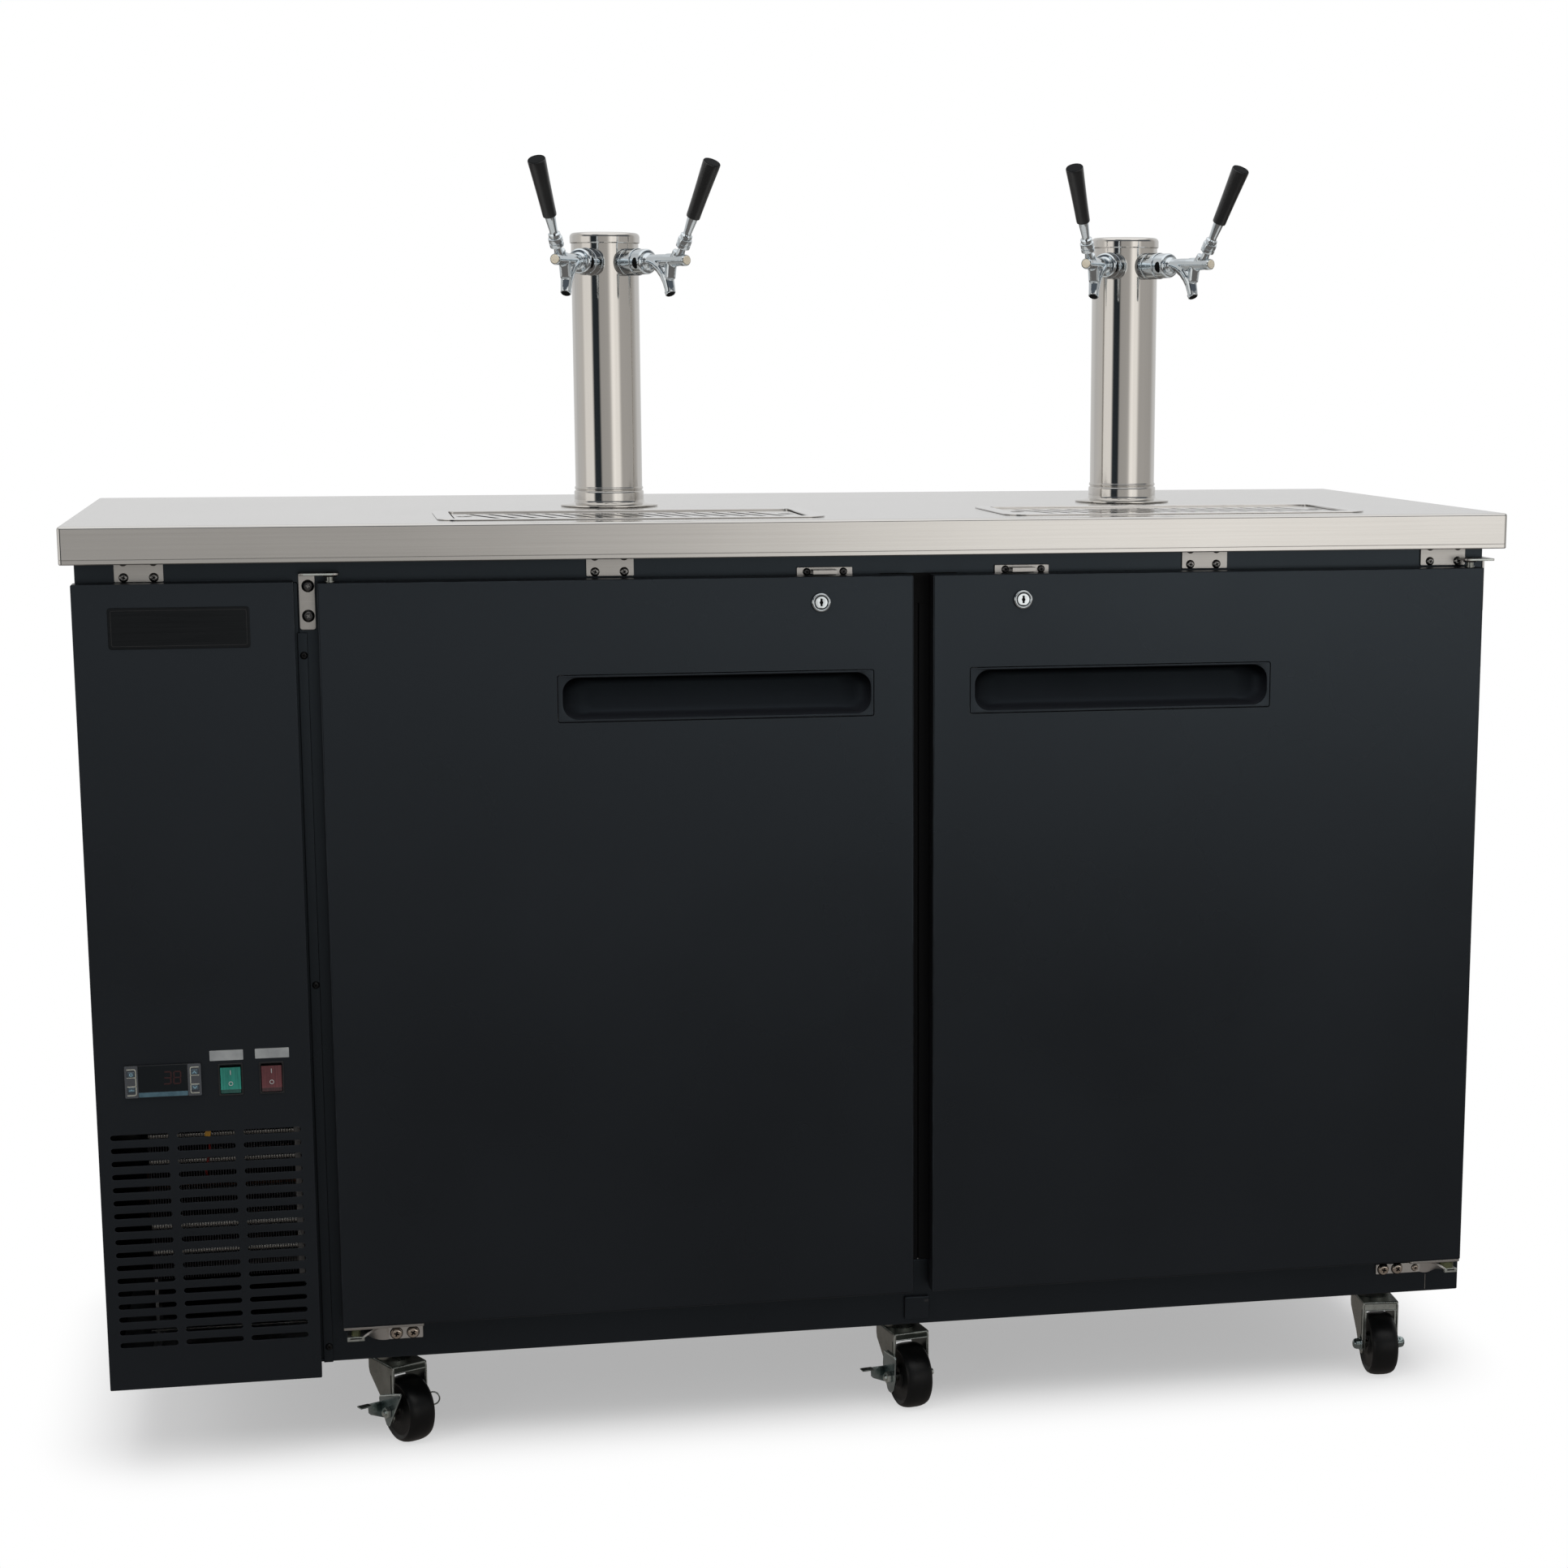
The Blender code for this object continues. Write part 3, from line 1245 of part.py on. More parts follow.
def tap_matrix(tower, direction):
    """Places a tap that is built about its tower's axis at shank height and faces -Y."""
    turn = TOWER_TURNS[tower] + direction * TAP_SPLAY
    return Matrix.Translation((TOWER_PLACES[tower], TOWER_Y, TAP_HEIGHT)) @ Matrix.Rotation(turn, 4, "Z")


TAPS = (
    ("left_tower_left", 0, -1),
    ("left_tower_right", 0, 1),
    ("right_tower_left", 1, -1),
    ("right_tower_right", 1, 1),
)


def make_tower(side, number):
    """A hollow column with a round base flange, a bead and a cap, and a hole for each shank."""
    radius = TOWER_RADIUS
    cap_radius = radius + TOWER_CAP_PROUD
    base = WORKTOP_HEIGHT + FIT
    cap_low = TOWER_TOP - TOWER_CAP_HEIGHT
    bead = base + TOWER_BEAD_HEIGHT
    inner = radius - TOWER_WALL
    profile = [
        (0.0, TOWER_TOP),
        (cap_radius - TOWER_CAP_ROUND, TOWER_TOP - TOWER_BEAD_PROUD / 4),
        (cap_radius, TOWER_TOP - TOWER_CAP_ROUND),
        (cap_radius, cap_low),
        (radius, cap_low),
        (radius, bead + TOWER_BEAD_PROUD),
        (radius + TOWER_BEAD_PROUD, bead),
        (radius, bead - TOWER_BEAD_PROUD),
        (radius, base + 3 * TOWER_FLANGE_SHEET),
        (radius + TOWER_FLANGE_SHEET, base + 2 * TOWER_FLANGE_SHEET),
        (TOWER_FLANGE_RADIUS, base + TOWER_FLANGE_SHEET),
        (TOWER_FLANGE_RADIUS, base),
        (inner, base),
        (inner, TOWER_TOP - TOWER_CAP_ROUND),
        (0.0, TOWER_TOP - TOWER_CAP_ROUND),
    ]
    tower = turned(side + "_tower", profile, FINE_SIDES, POLISHED)
    tower.data.transform(Matrix.Translation((TOWER_PLACES[number], TOWER_Y, 0.0)))
    for _, owner, direction in TAPS:
        if owner == number:
            hole = rod(
                "shank_hole",
                (0.0, -SHANK_INNER_REACH, 0.0),
                (0.0, -COLLAR_REACH, 0.0),
                bore_radius(SHANK_RADIUS, ROUND_SIDES),
                ROUND_SIDES,
            )
            hole.data.transform(tap_matrix(number, direction))
            cut(tower, hole)
    return smooth(made(tower))


def make_faucet_mesh():
    """A faucet about its tower's axis at shank height: collar, coupling, nut, body, nose, shank and spout."""
    inner = TOWER_RADIUS / 2
    profile = [
        (0.0, NOSE_REACH),
        (NOSE_RADIUS, NOSE_REACH),
        (NOSE_RADIUS, NOSE_REACH - NOSE_LENGTH),
        (BELLY_RADIUS, BELLY_REACH),
        (NECK_RADIUS, NECK_REACH),
        (NUT_RADIUS, NUT_REACH),
        (NUT_RADIUS, COUPLING_REACH),
        (COUPLING_RADIUS, COUPLING_REACH),
        (COUPLING_RADIUS, COLLAR_REACH),
        (COLLAR_RADIUS, COLLAR_REACH),
        (COLLAR_RADIUS, inner),
        (0.0, inner),
    ]
    faucet = turned("faucet", profile, ROUND_SIDES, CHROME)
    faucet.data.transform(Matrix.Rotation(math.pi / 2, 4, "X"))
    column = rod(
        "column_shape",
        (0.0, 0.0, -TOWER_RADIUS),
        (0.0, 0.0, TOWER_RADIUS),
        bore_radius(TOWER_RADIUS, FINE_SIDES),
        FINE_SIDES,
    )
    cut(faucet, column)
    shank = rod("shank", (0.0, -SHANK_INNER_REACH, 0.0), (0.0, -NUT_REACH, 0.0), SHANK_RADIUS, ROUND_SIDES)
    tip = (0.0, -SPOUT_REACH, -SPOUT_DROP)
    spout = rod("spout", (0.0, -BELLY_REACH, 0.0), tip, SPOUT_ROOT_RADIUS, ROUND_SIDES, SPOUT_TIP_RADIUS)
    join(faucet, shank, spout)
    slot = block(
        "lever_slot",
        (-PIVOT_HALF_WIDTH - FIT, -NOSE_REACH - OVERRUN, PIVOT_ABOVE_SHANK),
        (PIVOT_HALF_WIDTH + FIT, -PIVOT_REACH + PIVOT_RADIUS + FIT, BELLY_RADIUS + OVERRUN),
    )
    socket = rod(
        "lever_socket",
        (-PIVOT_HALF_WIDTH - 2 * FIT, -PIVOT_REACH, PIVOT_ABOVE_SHANK),
        (PIVOT_HALF_WIDTH + 2 * FIT, -PIVOT_REACH, PIVOT_ABOVE_SHANK),
        bore_radius(PIVOT_RADIUS, ROUND_SIDES),
        ROUND_SIDES,
    )
    bore = rod(
        "spout_bore",
        (0.0, -SPOUT_REACH, -SPOUT_DROP + SPOUT_BORE_DEPTH),
        (0.0, -SPOUT_REACH, -SPOUT_DROP - OVERRUN),
        SPOUT_BORE,
        SMALL_SIDES,
    )
    cut(faucet, made(join(slot, socket)), bore)
    return smooth(made(faucet))


def make_lever_mesh():
    """A lever about its pivot, along +Z: pivot drum, stem, collar, ferrule and the stud for the handle."""
    drum = rod(
        "lever",
        (-PIVOT_HALF_WIDTH, 0.0, 0.0),
        (PIVOT_HALF_WIDTH, 0.0, 0.0),
        PIVOT_RADIUS,
        ROUND_SIDES,
        material=CHROME,
    )
    profile = [
        (0.0, FERRULE_END + HANDLE_STUD_LENGTH),
        (HANDLE_STUD_RADIUS, FERRULE_END + HANDLE_STUD_LENGTH),
        (HANDLE_STUD_RADIUS, FERRULE_END),
        (FERRULE_TOP_RADIUS, FERRULE_END),
        (FERRULE_RADIUS, LEVER_COLLAR_END),
        (LEVER_COLLAR_RADIUS, LEVER_COLLAR_END),
        (LEVER_COLLAR_RADIUS, LEVER_COLLAR_START),
        (LEVER_STEM_RADIUS, LEVER_COLLAR_START),
        (LEVER_STEM_RADIUS, 0.0),
        (0.0, 0.0),
    ]
    stem = turned("stem", profile, SMALL_SIDES)
    return smooth(made(join(drum, stem)))


def make_handle_mesh():
    """A tapered handle along +Z, measured from the lever's pivot, with a bore for the lever's stud."""
    start = FERRULE_END + FIT
    bore = HANDLE_STUD_RADIUS + FIT
    length = HANDLE_END - start
    belly = (HANDLE_BOTTOM_RADIUS + HANDLE_TOP_RADIUS) / 2 - FIT
    profile = [
        (0.0, HANDLE_END),
        (HANDLE_TOP_RADIUS - SHEET, HANDLE_END),
        (HANDLE_TOP_RADIUS, HANDLE_END - SHEET),
        (belly, start + length / 2),
        (HANDLE_BOTTOM_RADIUS, start + SHEET),
        (HANDLE_BOTTOM_RADIUS - SHEET / 2, start),
        (bore, start),
        (bore, start + HANDLE_STUD_LENGTH),
        (0.0, start + HANDLE_STUD_LENGTH),
    ]
    return smooth(turned("handle", profile, SMALL_SIDES, HANDLE_BLACK))


def make_taps():
    faucet = make_faucet_mesh()
    lever = make_lever_mesh()
    handle = make_handle_mesh()
    for name, tower, direction in TAPS:
        place = tap_matrix(tower, direction)
        pivot = place @ Matrix.Translation((0.0, -PIVOT_REACH, PIVOT_ABOVE_SHANK))
        leaning = pivot @ Matrix.Rotation(LEVER_LEAN, 4, "X")
        copy_of(faucet, name + "_faucet", place)
        copy_of(lever, name + "_lever", leaning)
        copy_of(handle, name + "_handle", leaning)
    for source in (faucet, lever, handle):
        bpy.data.objects.remove(source)


def caster_spots():
    """Each caster's name, the point on its swivel axis at floor level, and its rest angle."""
    rows = (("front", FRONT + CASTER_FRONT_INSET), ("rear", -FRONT - CASTER_BACK_INSET))
    for (row, y), angles in zip(rows, CASTER_ANGLES):
        for number, (place, angle) in enumerate(zip(("left", "middle", "right"), angles)):
            x = FIRST_CASTER_X + number * CASTER_PITCH
            yield row + "_" + place, Vector((x, y, 0.0)), math.radians(angle)


def make_bottom_panel():
    """The sheet under the case, with a mounting plate and a kingpin for each caster."""
    panel = block(
        "bottom_panel",
        (-CASE_HALF + BOTTOM_PANEL_INSET, CASE_FRONT + BOTTOM_PANEL_INSET, PANEL_BOTTOM),
        (CASE_HALF - BOTTOM_PANEL_INSET, CASE_BACK - BOTTOM_PANEL_INSET, CASE_BOTTOM - FIT),
        ZINC,
    )
    for _, spot, _ in caster_spots():
        half = Vector((MOUNT_PLATE_WIDTH / 2, MOUNT_PLATE_DEPTH / 2, 0.0))
        mount = block(
            "mount_plate",
            spot - half + Vector((0.0, 0.0, PLATE_BOTTOM)),
            spot + half + Vector((0.0, 0.0, PANEL_BOTTOM + BOTTOM_PANEL_SHEET / 2)),
        )
        pin_low = FORK_TOP - FORK_SHEET - FIT - KINGPIN_HEAD_HEIGHT
        pin = post("kingpin", spot.x, spot.y, pin_low, PANEL_BOTTOM, KINGPIN_RADIUS)
        head_top = pin_low + KINGPIN_HEAD_HEIGHT
        head = post("kingpin_head", spot.x, spot.y, pin_low, head_top, KINGPIN_HEAD_RADIUS, HEX_SIDES)
        join(panel, mount, pin, head)
    return made(panel)


def axle_bolt(name):
    """The axle across the fork, with a nut at each end."""
    height = WHEEL_RADIUS
    reach = FORK_WIDTH / 2 + PEDAL_GAP + PEDAL_PLATE_SHEET + PEDAL_GAP
    bolt = rod(
        name,
        (-reach - NUT_LENGTH, -WHEEL_TRAIL, height),
        (FORK_WIDTH / 2 + NUT_LENGTH, -WHEEL_TRAIL, height),
        AXLE_RADIUS,
        SMALL_SIDES,
    )
    near = -reach - NUT_LENGTH
    far = FORK_WIDTH / 2 - FIT
    near_nut = rod("nut", (near, -WHEEL_TRAIL, height), (-reach, -WHEEL_TRAIL, height), NUT_ACROSS, HEX_SIDES)
    far_nut = rod(
        "nut",
        (far, -WHEEL_TRAIL, height),
        (far + NUT_LENGTH, -WHEEL_TRAIL, height),
        NUT_ACROSS,
        HEX_SIDES,
    )
    return made(join(bolt, near_nut, far_nut))


def make_fork_mesh():
    """A caster fork about its swivel axis at floor level, facing -Y: race, yoke, two legs and the axle."""
    race = rod(
        "fork",
        (0.0, 0.0, FORK_TOP - FORK_SHEET / 2),
        (0.0, 0.0, RACE_TOP),
        RACE_RADIUS,
        ROUND_SIDES,
        material=ZINC,
    )
    yoke = block(
        "yoke",
        (-FORK_WIDTH / 2, -FORK_FRONT, FORK_TOP - FORK_SHEET),
        (FORK_WIDTH / 2, FORK_BACK, FORK_TOP),
    )
    outline = [
        (-FORK_FRONT, FORK_TOP - FORK_SHEET / 2),
        (-FORK_FRONT - FORK_SHEET, WHEEL_RADIUS + FORK_FOOT),
        (-WHEEL_TRAIL - FORK_FOOT, WHEEL_RADIUS - FORK_FOOT / 2),
        (-WHEEL_TRAIL, WHEEL_RADIUS - FORK_FOOT),
        (-WHEEL_TRAIL + FORK_FOOT, WHEEL_RADIUS - FORK_FOOT / 2),
        (FORK_BACK, FORK_TOP - RACE_RADIUS),
        (FORK_BACK, FORK_TOP - FORK_SHEET / 2),
    ]
    upright = Matrix.Rotation(math.pi / 2, 4, "Z") @ Matrix.Rotation(math.pi / 2, 4, "X")
    join(race, yoke)
    for side in (-1, 1):
        outer = sorted((side * FORK_WIDTH / 2, side * (FORK_WIDTH / 2 - FORK_SHEET)))
        join(race, plate("leg", outline, outer[0], outer[1], upright))
    join(race, axle_bolt("axle"))
    bore = post("kingpin_bore", 0.0, 0.0, 0.0, RACE_TOP + OVERRUN, bore_radius(KINGPIN_RADIUS, SMALL_SIDES))
    cut(race, bore)
    return smooth(made(race))


def make_wheel_mesh():
    """A caster wheel about its axle, which lies along X, with a flat of its faceted tread straight down."""
    half = WHEEL_WIDTH / 2
    radius = WHEEL_RADIUS / math.cos(math.pi / FINE_SIDES)
    bore = bore_radius(AXLE_RADIUS, FINE_SIDES)
    side = [
        (bore, half),
        (radius - WHEEL_SHOULDER, half),
        (radius, half - WHEEL_SHOULDER),
    ]
    profile = side + [(reach, -across) for reach, across in reversed(side)]
    profile.append(profile[0])
    wheel = turned("wheel", profile, FINE_SIDES, TREAD_BLACK)
    shape = bmesh.new()
    shape.from_mesh(wheel.data)
    bmesh.ops.remove_doubles(shape, verts=shape.verts, dist=WELD)
    turn = Matrix.Rotation(math.pi / 2, 4, "Y") @ Matrix.Rotation(math.pi / FINE_SIDES, 4, "Z")
    bmesh.ops.transform(shape, matrix=turn, verts=shape.verts)
    bmesh.ops.recalc_face_normals(shape, faces=shape.faces)
    shape.to_mesh(wheel.data)
    shape.free()
    return smooth(wheel)


def make_pedal_mesh():
    """A side-lever brake about the axle: a plate beside the fork with a tab to step on."""
    inner = -FORK_WIDTH / 2 - PEDAL_GAP
    outer = inner - PEDAL_PLATE_SHEET
    tab_back = PEDAL_TAB_BACK + PEDAL_PLATE_SHEET
    tab_low = -PEDAL_TAB_WIDTH / 2
    tab_high = PEDAL_TAB_WIDTH / 2
    outline = [
        (-PEDAL_FORWARD + PEDAL_CORNER, PEDAL_RISE),
        (-PEDAL_FORWARD, PEDAL_RISE - PEDAL_CORNER),
        (-PEDAL_CORNER, -PEDAL_DROP),
        (PEDAL_CORNER, -PEDAL_DROP),
        (tab_back, tab_low),
        (tab_back, tab_high),
    ]
    upright = Matrix.Rotation(math.pi / 2, 4, "Z") @ Matrix.Rotation(math.pi / 2, 4, "X")
    side_plate = plate("pedal", outline, outer, inner, upright, ZINC)
    tab = block(
        "pedal_tab",
        (outer - PEDAL_TAB_LENGTH, PEDAL_TAB_BACK, tab_low),
        (outer + PEDAL_PLATE_SHEET / 2, tab_back, tab_high),
    )
    bore = rod(
        "pedal_bore",
        (outer - OVERRUN, 0.0, 0.0),
        (inner + OVERRUN, 0.0, 0.0),
        bore_radius(AXLE_RADIUS, SMALL_SIDES),
        SMALL_SIDES,
    )
    return smooth(made(cut(join(side_plate, tab), bore)))


def make_casters():
    fork = make_fork_mesh()
    wheel = make_wheel_mesh()
    pedal = make_pedal_mesh()
    for name, spot, angle in caster_spots():
        swivel = Matrix.Translation(spot) @ Matrix.Rotation(angle, 4, "Z")
        axle = swivel @ Matrix.Translation((0.0, -WHEEL_TRAIL, WHEEL_RADIUS))
        copy_of(fork, name + "_caster_fork", swivel)
        copy_of(wheel, name + "_caster_wheel", axle)
        if name in ("front_left", "front_middle"):
            copy_of(pedal, name + "_brake_pedal", axle)
    for source in (fork, wheel, pedal):
        bpy.data.objects.remove(source)


def make_doors():
    left_hinge = LEFT_DOOR[0] + PIN_FROM_DOOR_EDGE
    right_hinge = RIGHT_DOOR[1] - PIN_FROM_DOOR_EDGE
    left_recess = LEFT_DOOR[1] - LEFT_RECESS_INSET - RECESS_WIDTH / 2
    right_recess = RIGHT_DOOR[0] + RIGHT_RECESS_INSET + RECESS_WIDTH / 2
    make_door("left", LEFT_DOOR, left_hinge, LEFT_LOCK_X, left_recess)
    make_door("right", RIGHT_DOOR, right_hinge, RIGHT_LOCK_X, right_recess)
    make_gasket("left", LEFT_DOOR, left_hinge)
    make_gasket("right", RIGHT_DOOR, right_hinge)
    make_lock("left", LEFT_LOCK_X)
    make_lock("right", RIGHT_LOCK_X)
    make_top_hinge("left", left_hinge, 1)
    make_top_hinge("right", right_hinge, -1)
    make_bottom_hinge("left", left_hinge, 1, BOTTOM_PLATE_FAR)
    make_bottom_hinge("right", right_hinge, -1, RIGHT_PLATE_FAR)


def make_machinery():
    make_condenser()
    fan = fan_wheel("condenser_fan", FAN_RADIUS, MACHINE_BLACK)
    fan.location = FAN_CENTRE
    make_compressor()
    make_evaporator()
    inner_fan = fan_wheel("evaporator_fan", EVAPORATOR_FAN_RADIUS, MACHINE_BLACK)
    inner_fan.location = EVAPORATOR_FAN_CENTRE


make_case()
make_liner()
make_mullion()
make_bottom_panel()
make_worktop()
make_doors()
make_cover()
make_controller()
make_keys()
make_rocker("green_rocker", GREEN_X, GREEN)
make_rocker("red_rocker", RED_X, RED)
make_machinery()
for tray_side, tray_place in zip(("left", "right"), TOWER_PLACES):
    make_tray(tray_side, tray_place)
    make_grille(tray_side, tray_place)
for tower_number, tower_side in enumerate(("left", "right")):
    make_tower(tower_side, tower_number)
make_taps()
make_casters()
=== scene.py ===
"""The looks of a two-door draught beer cabinet on casters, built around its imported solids."""

import math

import bmesh
import bpy
from mathutils import Matrix, Vector
from mathutils.geometry import tessellate_polygon


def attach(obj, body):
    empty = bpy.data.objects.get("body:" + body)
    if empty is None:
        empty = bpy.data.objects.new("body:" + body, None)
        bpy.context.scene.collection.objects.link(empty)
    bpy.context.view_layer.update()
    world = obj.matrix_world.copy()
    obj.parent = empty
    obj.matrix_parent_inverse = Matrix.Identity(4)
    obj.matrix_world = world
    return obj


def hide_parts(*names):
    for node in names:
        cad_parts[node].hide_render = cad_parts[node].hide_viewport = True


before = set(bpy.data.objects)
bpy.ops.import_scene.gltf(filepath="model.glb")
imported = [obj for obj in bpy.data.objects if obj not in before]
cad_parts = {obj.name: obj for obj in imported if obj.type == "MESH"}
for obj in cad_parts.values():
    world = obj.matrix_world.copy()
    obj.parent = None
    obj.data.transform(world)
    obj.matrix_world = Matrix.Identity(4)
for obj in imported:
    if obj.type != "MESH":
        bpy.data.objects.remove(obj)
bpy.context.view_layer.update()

# Places shared by several pieces, in metres
WORKTOP_TOP = 1.026
SKIRT_BOTTOM = 0.9874
CASE_FRONT = -0.2683
CASE_BACK = 0.302
CASE_HALF = 0.7605
CASE_BOTTOM = 0.1217
DOOR_FRONT = -0.2964
DOOR_BACK = -0.2744
DOOR_BOTTOM = 0.1670
DOOR_TOP = 0.9655
DOORS = {"left": (-0.519, 0.106), "right": (0.127, 0.752)}
PINS = {"left": -0.5054, "right": 0.7384}
PIN_Y = -0.2874
RECESSES = {"left": (-0.270, 0.0589), "right": (0.1732, 0.5022)}
RECESS_LOW, RECESS_HIGH = 0.8188, 0.8628
LOCKS = {"left": 0.005, "right": 0.2254}
LOCK_Z = 0.9382
COVER_FRONT = -0.2954
COVER_LOW_X, COVER_HIGH_X = -0.763, -0.5427
COVER_LOW_Z, COVER_HIGH_Z = 0.1134, 0.9666
TOWERS = {"left": (-0.187, 2.3), "right": (0.4215, -3.2)}
TOWER_Y = 0.025
TRAY_Y = -0.171
TAP_Z = 1.2985
TAP_SPLAY = 29.0
KEG_LOW = Vector((-0.489, CASE_FRONT, 0.197))
KEG_HIGH = Vector((0.722, 0.252, 0.9355))
BAY_LOW = Vector((-0.7575, CASE_FRONT, 0.1247))
BAY_HIGH = Vector((-0.539, 0.299, 0.9642))
CASTERS = {
    "front_left": (-0.464, -0.17, 27.0),
    "front_middle": (0.1147, -0.17, 11.0),
    "front_right": (0.6934, -0.17, -4.5),
    "rear_left": (-0.464, 0.20, 14.0),
    "rear_middle": (0.1147, 0.20, -8.0),
    "rear_right": (0.6934, 0.20, 20.0),
}
BRAKED = ("front_left", "front_middle")

# The screw plates on the case's front, from their own front to their back
PLATE_FRONT, PLATE_BACK = -0.2711, -0.2686

# The slots in the cover: the middle of the top row, and the distance between rows and columns
SLOT_TOP, SLOT_ROWS, ROW_PITCH = 0.3895, 17, 0.01417
SLOT_COLUMNS, COLUMN_PITCH = 3, 0.0677


def at(x, y, z=0.0):
    return Matrix.Translation((x, y, z))


def spun(axis, degrees):
    return Matrix.Rotation(math.radians(degrees), 4, axis)


FACING_FRONT = spun("X", 90)


# ---- Outlines ------------------------------------------------------------------------------

def mm(*numbers, axes=2):
    """Points in metres, from a run of numbers in millimetres that are taken two by two."""
    rows = [numbers[first:first + axes] for first in range(0, len(numbers), axes)]
    return [tuple(round(number / 1000, 7) for number in row) for row in rows]


def mm3(*numbers):
    return mm(*numbers, axes=3)


def arc(x, y, radius, start, end, steps):
    angles = [math.radians(start + (end - start) * step / steps) for step in range(steps + 1)]
    return [(x + radius * math.cos(angle), y + radius * math.sin(angle)) for angle in angles]


def rounded(half_x, half_y, corner, steps=5, centre=(0.0, 0.0)):
    """A rectangle with round corners, anticlockwise."""
    points = []
    for quarter, (side_x, side_y) in enumerate(((1, 1), (-1, 1), (-1, -1), (1, -1))):
        x = centre[0] + side_x * (half_x - corner)
        y = centre[1] + side_y * (half_y - corner)
        points += arc(x, y, corner, quarter * 90, quarter * 90 + 90, steps)
    return points


def window(low_x, high_x, low_y, high_y, corner, steps=5):
    centre = ((low_x + high_x) / 2, (low_y + high_y) / 2)
    return rounded((high_x - low_x) / 2, (high_y - low_y) / 2, corner, steps, centre)


def circle(radius, sides=32, centre=(0.0, 0.0)):
    return arc(*centre, radius, 0.0, 360.0, sides)[:-1]


def hole(outline):
    """The same outline the other way round, for a hole in a plate."""
    return outline[::-1]


def cross(reach, width):
    """The outline of a crosshead recess."""
    half = width / 2
    corner = [(reach, -half), (reach, half), (half, half)]
    points = []
    for quarter in range(4):
        turn = Matrix.Rotation(quarter * math.pi / 2, 2)
        points += [tuple(turn @ Vector(point)) for point in corner]
    return points


def drawn_in(outline, inset):
    """The outline moved into the material by the inset, with mitred corners."""
    points = [Vector(point) for point in outline]
    moved = []
    for number, point in enumerate(points):
        before = (point - points[number - 1]).normalized()
        after = (points[(number + 1) % len(points)] - point).normalized()
        normals = Vector((-before.y, before.x)) + Vector((-after.y, after.x))
        scale = inset / max(1.0 + before.dot(after), 0.2)
        moved.append(point + normals * scale)
    return moved


def soft_edges(low, high, edge, steps=2):
    """How a plate's edge runs from its upper face to its lower one, as (inset, height)."""
    turns = [math.radians(90 - 90 * step / steps) for step in range(steps + 1)]
    upper = [(edge * (1 - math.cos(turn)), high - edge * (1 - math.sin(turn))) for turn in turns]
    return upper + [(inset, low + high - height) for inset, height in reversed(upper)]


def eased(points, radius, steps=6):
    """A path with its inner corners rounded off."""
    points = [Vector(point) for point in points]
    path = [points[0]]
    for before, corner, after in zip(points, points[1:], points[2:]):
        start = corner + (before - corner).normalized() * radius
        end = corner + (after - corner).normalized() * radius
        for step in range(steps + 1):
            share = step / steps
            path.append(start.lerp(corner, share).lerp(corner.lerp(end, share), share))
    return path + [points[-1]]


# ---- Finishes ------------------------------------------------------------------------------

def shader_group(name, inputs, outputs):
    """A new shader group with named inputs and outputs; it gives the tree and its two end nodes."""
    tree = bpy.data.node_groups.new(name, "ShaderNodeTree")
    for socket, kind, value in inputs:
        made = tree.interface.new_socket(name=socket, in_out="INPUT", socket_type=kind)
        if value is not None:
            made.default_value = value
    for socket, kind in outputs:
        tree.interface.new_socket(name=socket, in_out="OUTPUT", socket_type=kind)
    return tree, tree.nodes.new("NodeGroupInput"), tree.nodes.new("NodeGroupOutput")


def add_noise(tree, vector, scale, detail=3.0, roughness=0.55):
    noise = tree.nodes.new("ShaderNodeTexNoise")
    noise.inputs["Detail"].default_value = detail
    noise.inputs["Roughness"].default_value = roughness
    tree.links.new(vector, noise.inputs["Vector"])
    if hasattr(scale, "links"):
        tree.links.new(scale, noise.inputs["Scale"])
    else:
        noise.inputs["Scale"].default_value = scale
    return noise.outputs["Fac"]


def add_range(tree, value, low, high, to_low=0.0, to_high=1.0):
    spread = tree.nodes.new("ShaderNodeMapRange")
    for socket, number in zip(("From Min", "From Max", "To Min", "To Max"), (low, high, to_low, to_high)):
        spread.inputs[socket].default_value = number
    tree.links.new(value, spread.inputs["Value"])
    return spread.outputs["Result"]


def add_math(tree, operation, *values):
    node = tree.nodes.new("ShaderNodeMath")
    node.operation = operation
    for socket, value in zip(node.inputs, values):
        if hasattr(value, "links"):
            tree.links.new(value, socket)
        else:
            socket.default_value = value
    return node.outputs["Value"]


def make_grain_group():
    """Grain: lines drawn along the long side of Stretch, broken into strokes, with a slow drift."""
    tree, given, result = shader_group(
        "grain", [("Vector", "NodeSocketVector", None), ("Stretch", "NodeSocketVector", (1.0, 1.0, 1.0))],
        [("Lines", "NodeSocketFloat"), ("Drift", "NodeSocketFloat")],
    )
    stretched = tree.nodes.new("ShaderNodeVectorMath")
    stretched.operation = "MULTIPLY"
    tree.links.new(given.outputs["Vector"], stretched.inputs[0])
    tree.links.new(given.outputs["Stretch"], stretched.inputs[1])
    lines = add_noise(tree, stretched.outputs["Vector"], 1.0, 5.0, 0.7)
    tree.links.new(add_range(tree, lines, 0.30, 0.70), result.inputs["Lines"])
    drift = add_noise(tree, given.outputs["Vector"], 5.0, 2.0)
    tree.links.new(add_range(tree, drift, 0.32, 0.68), result.inputs["Drift"])
    return tree


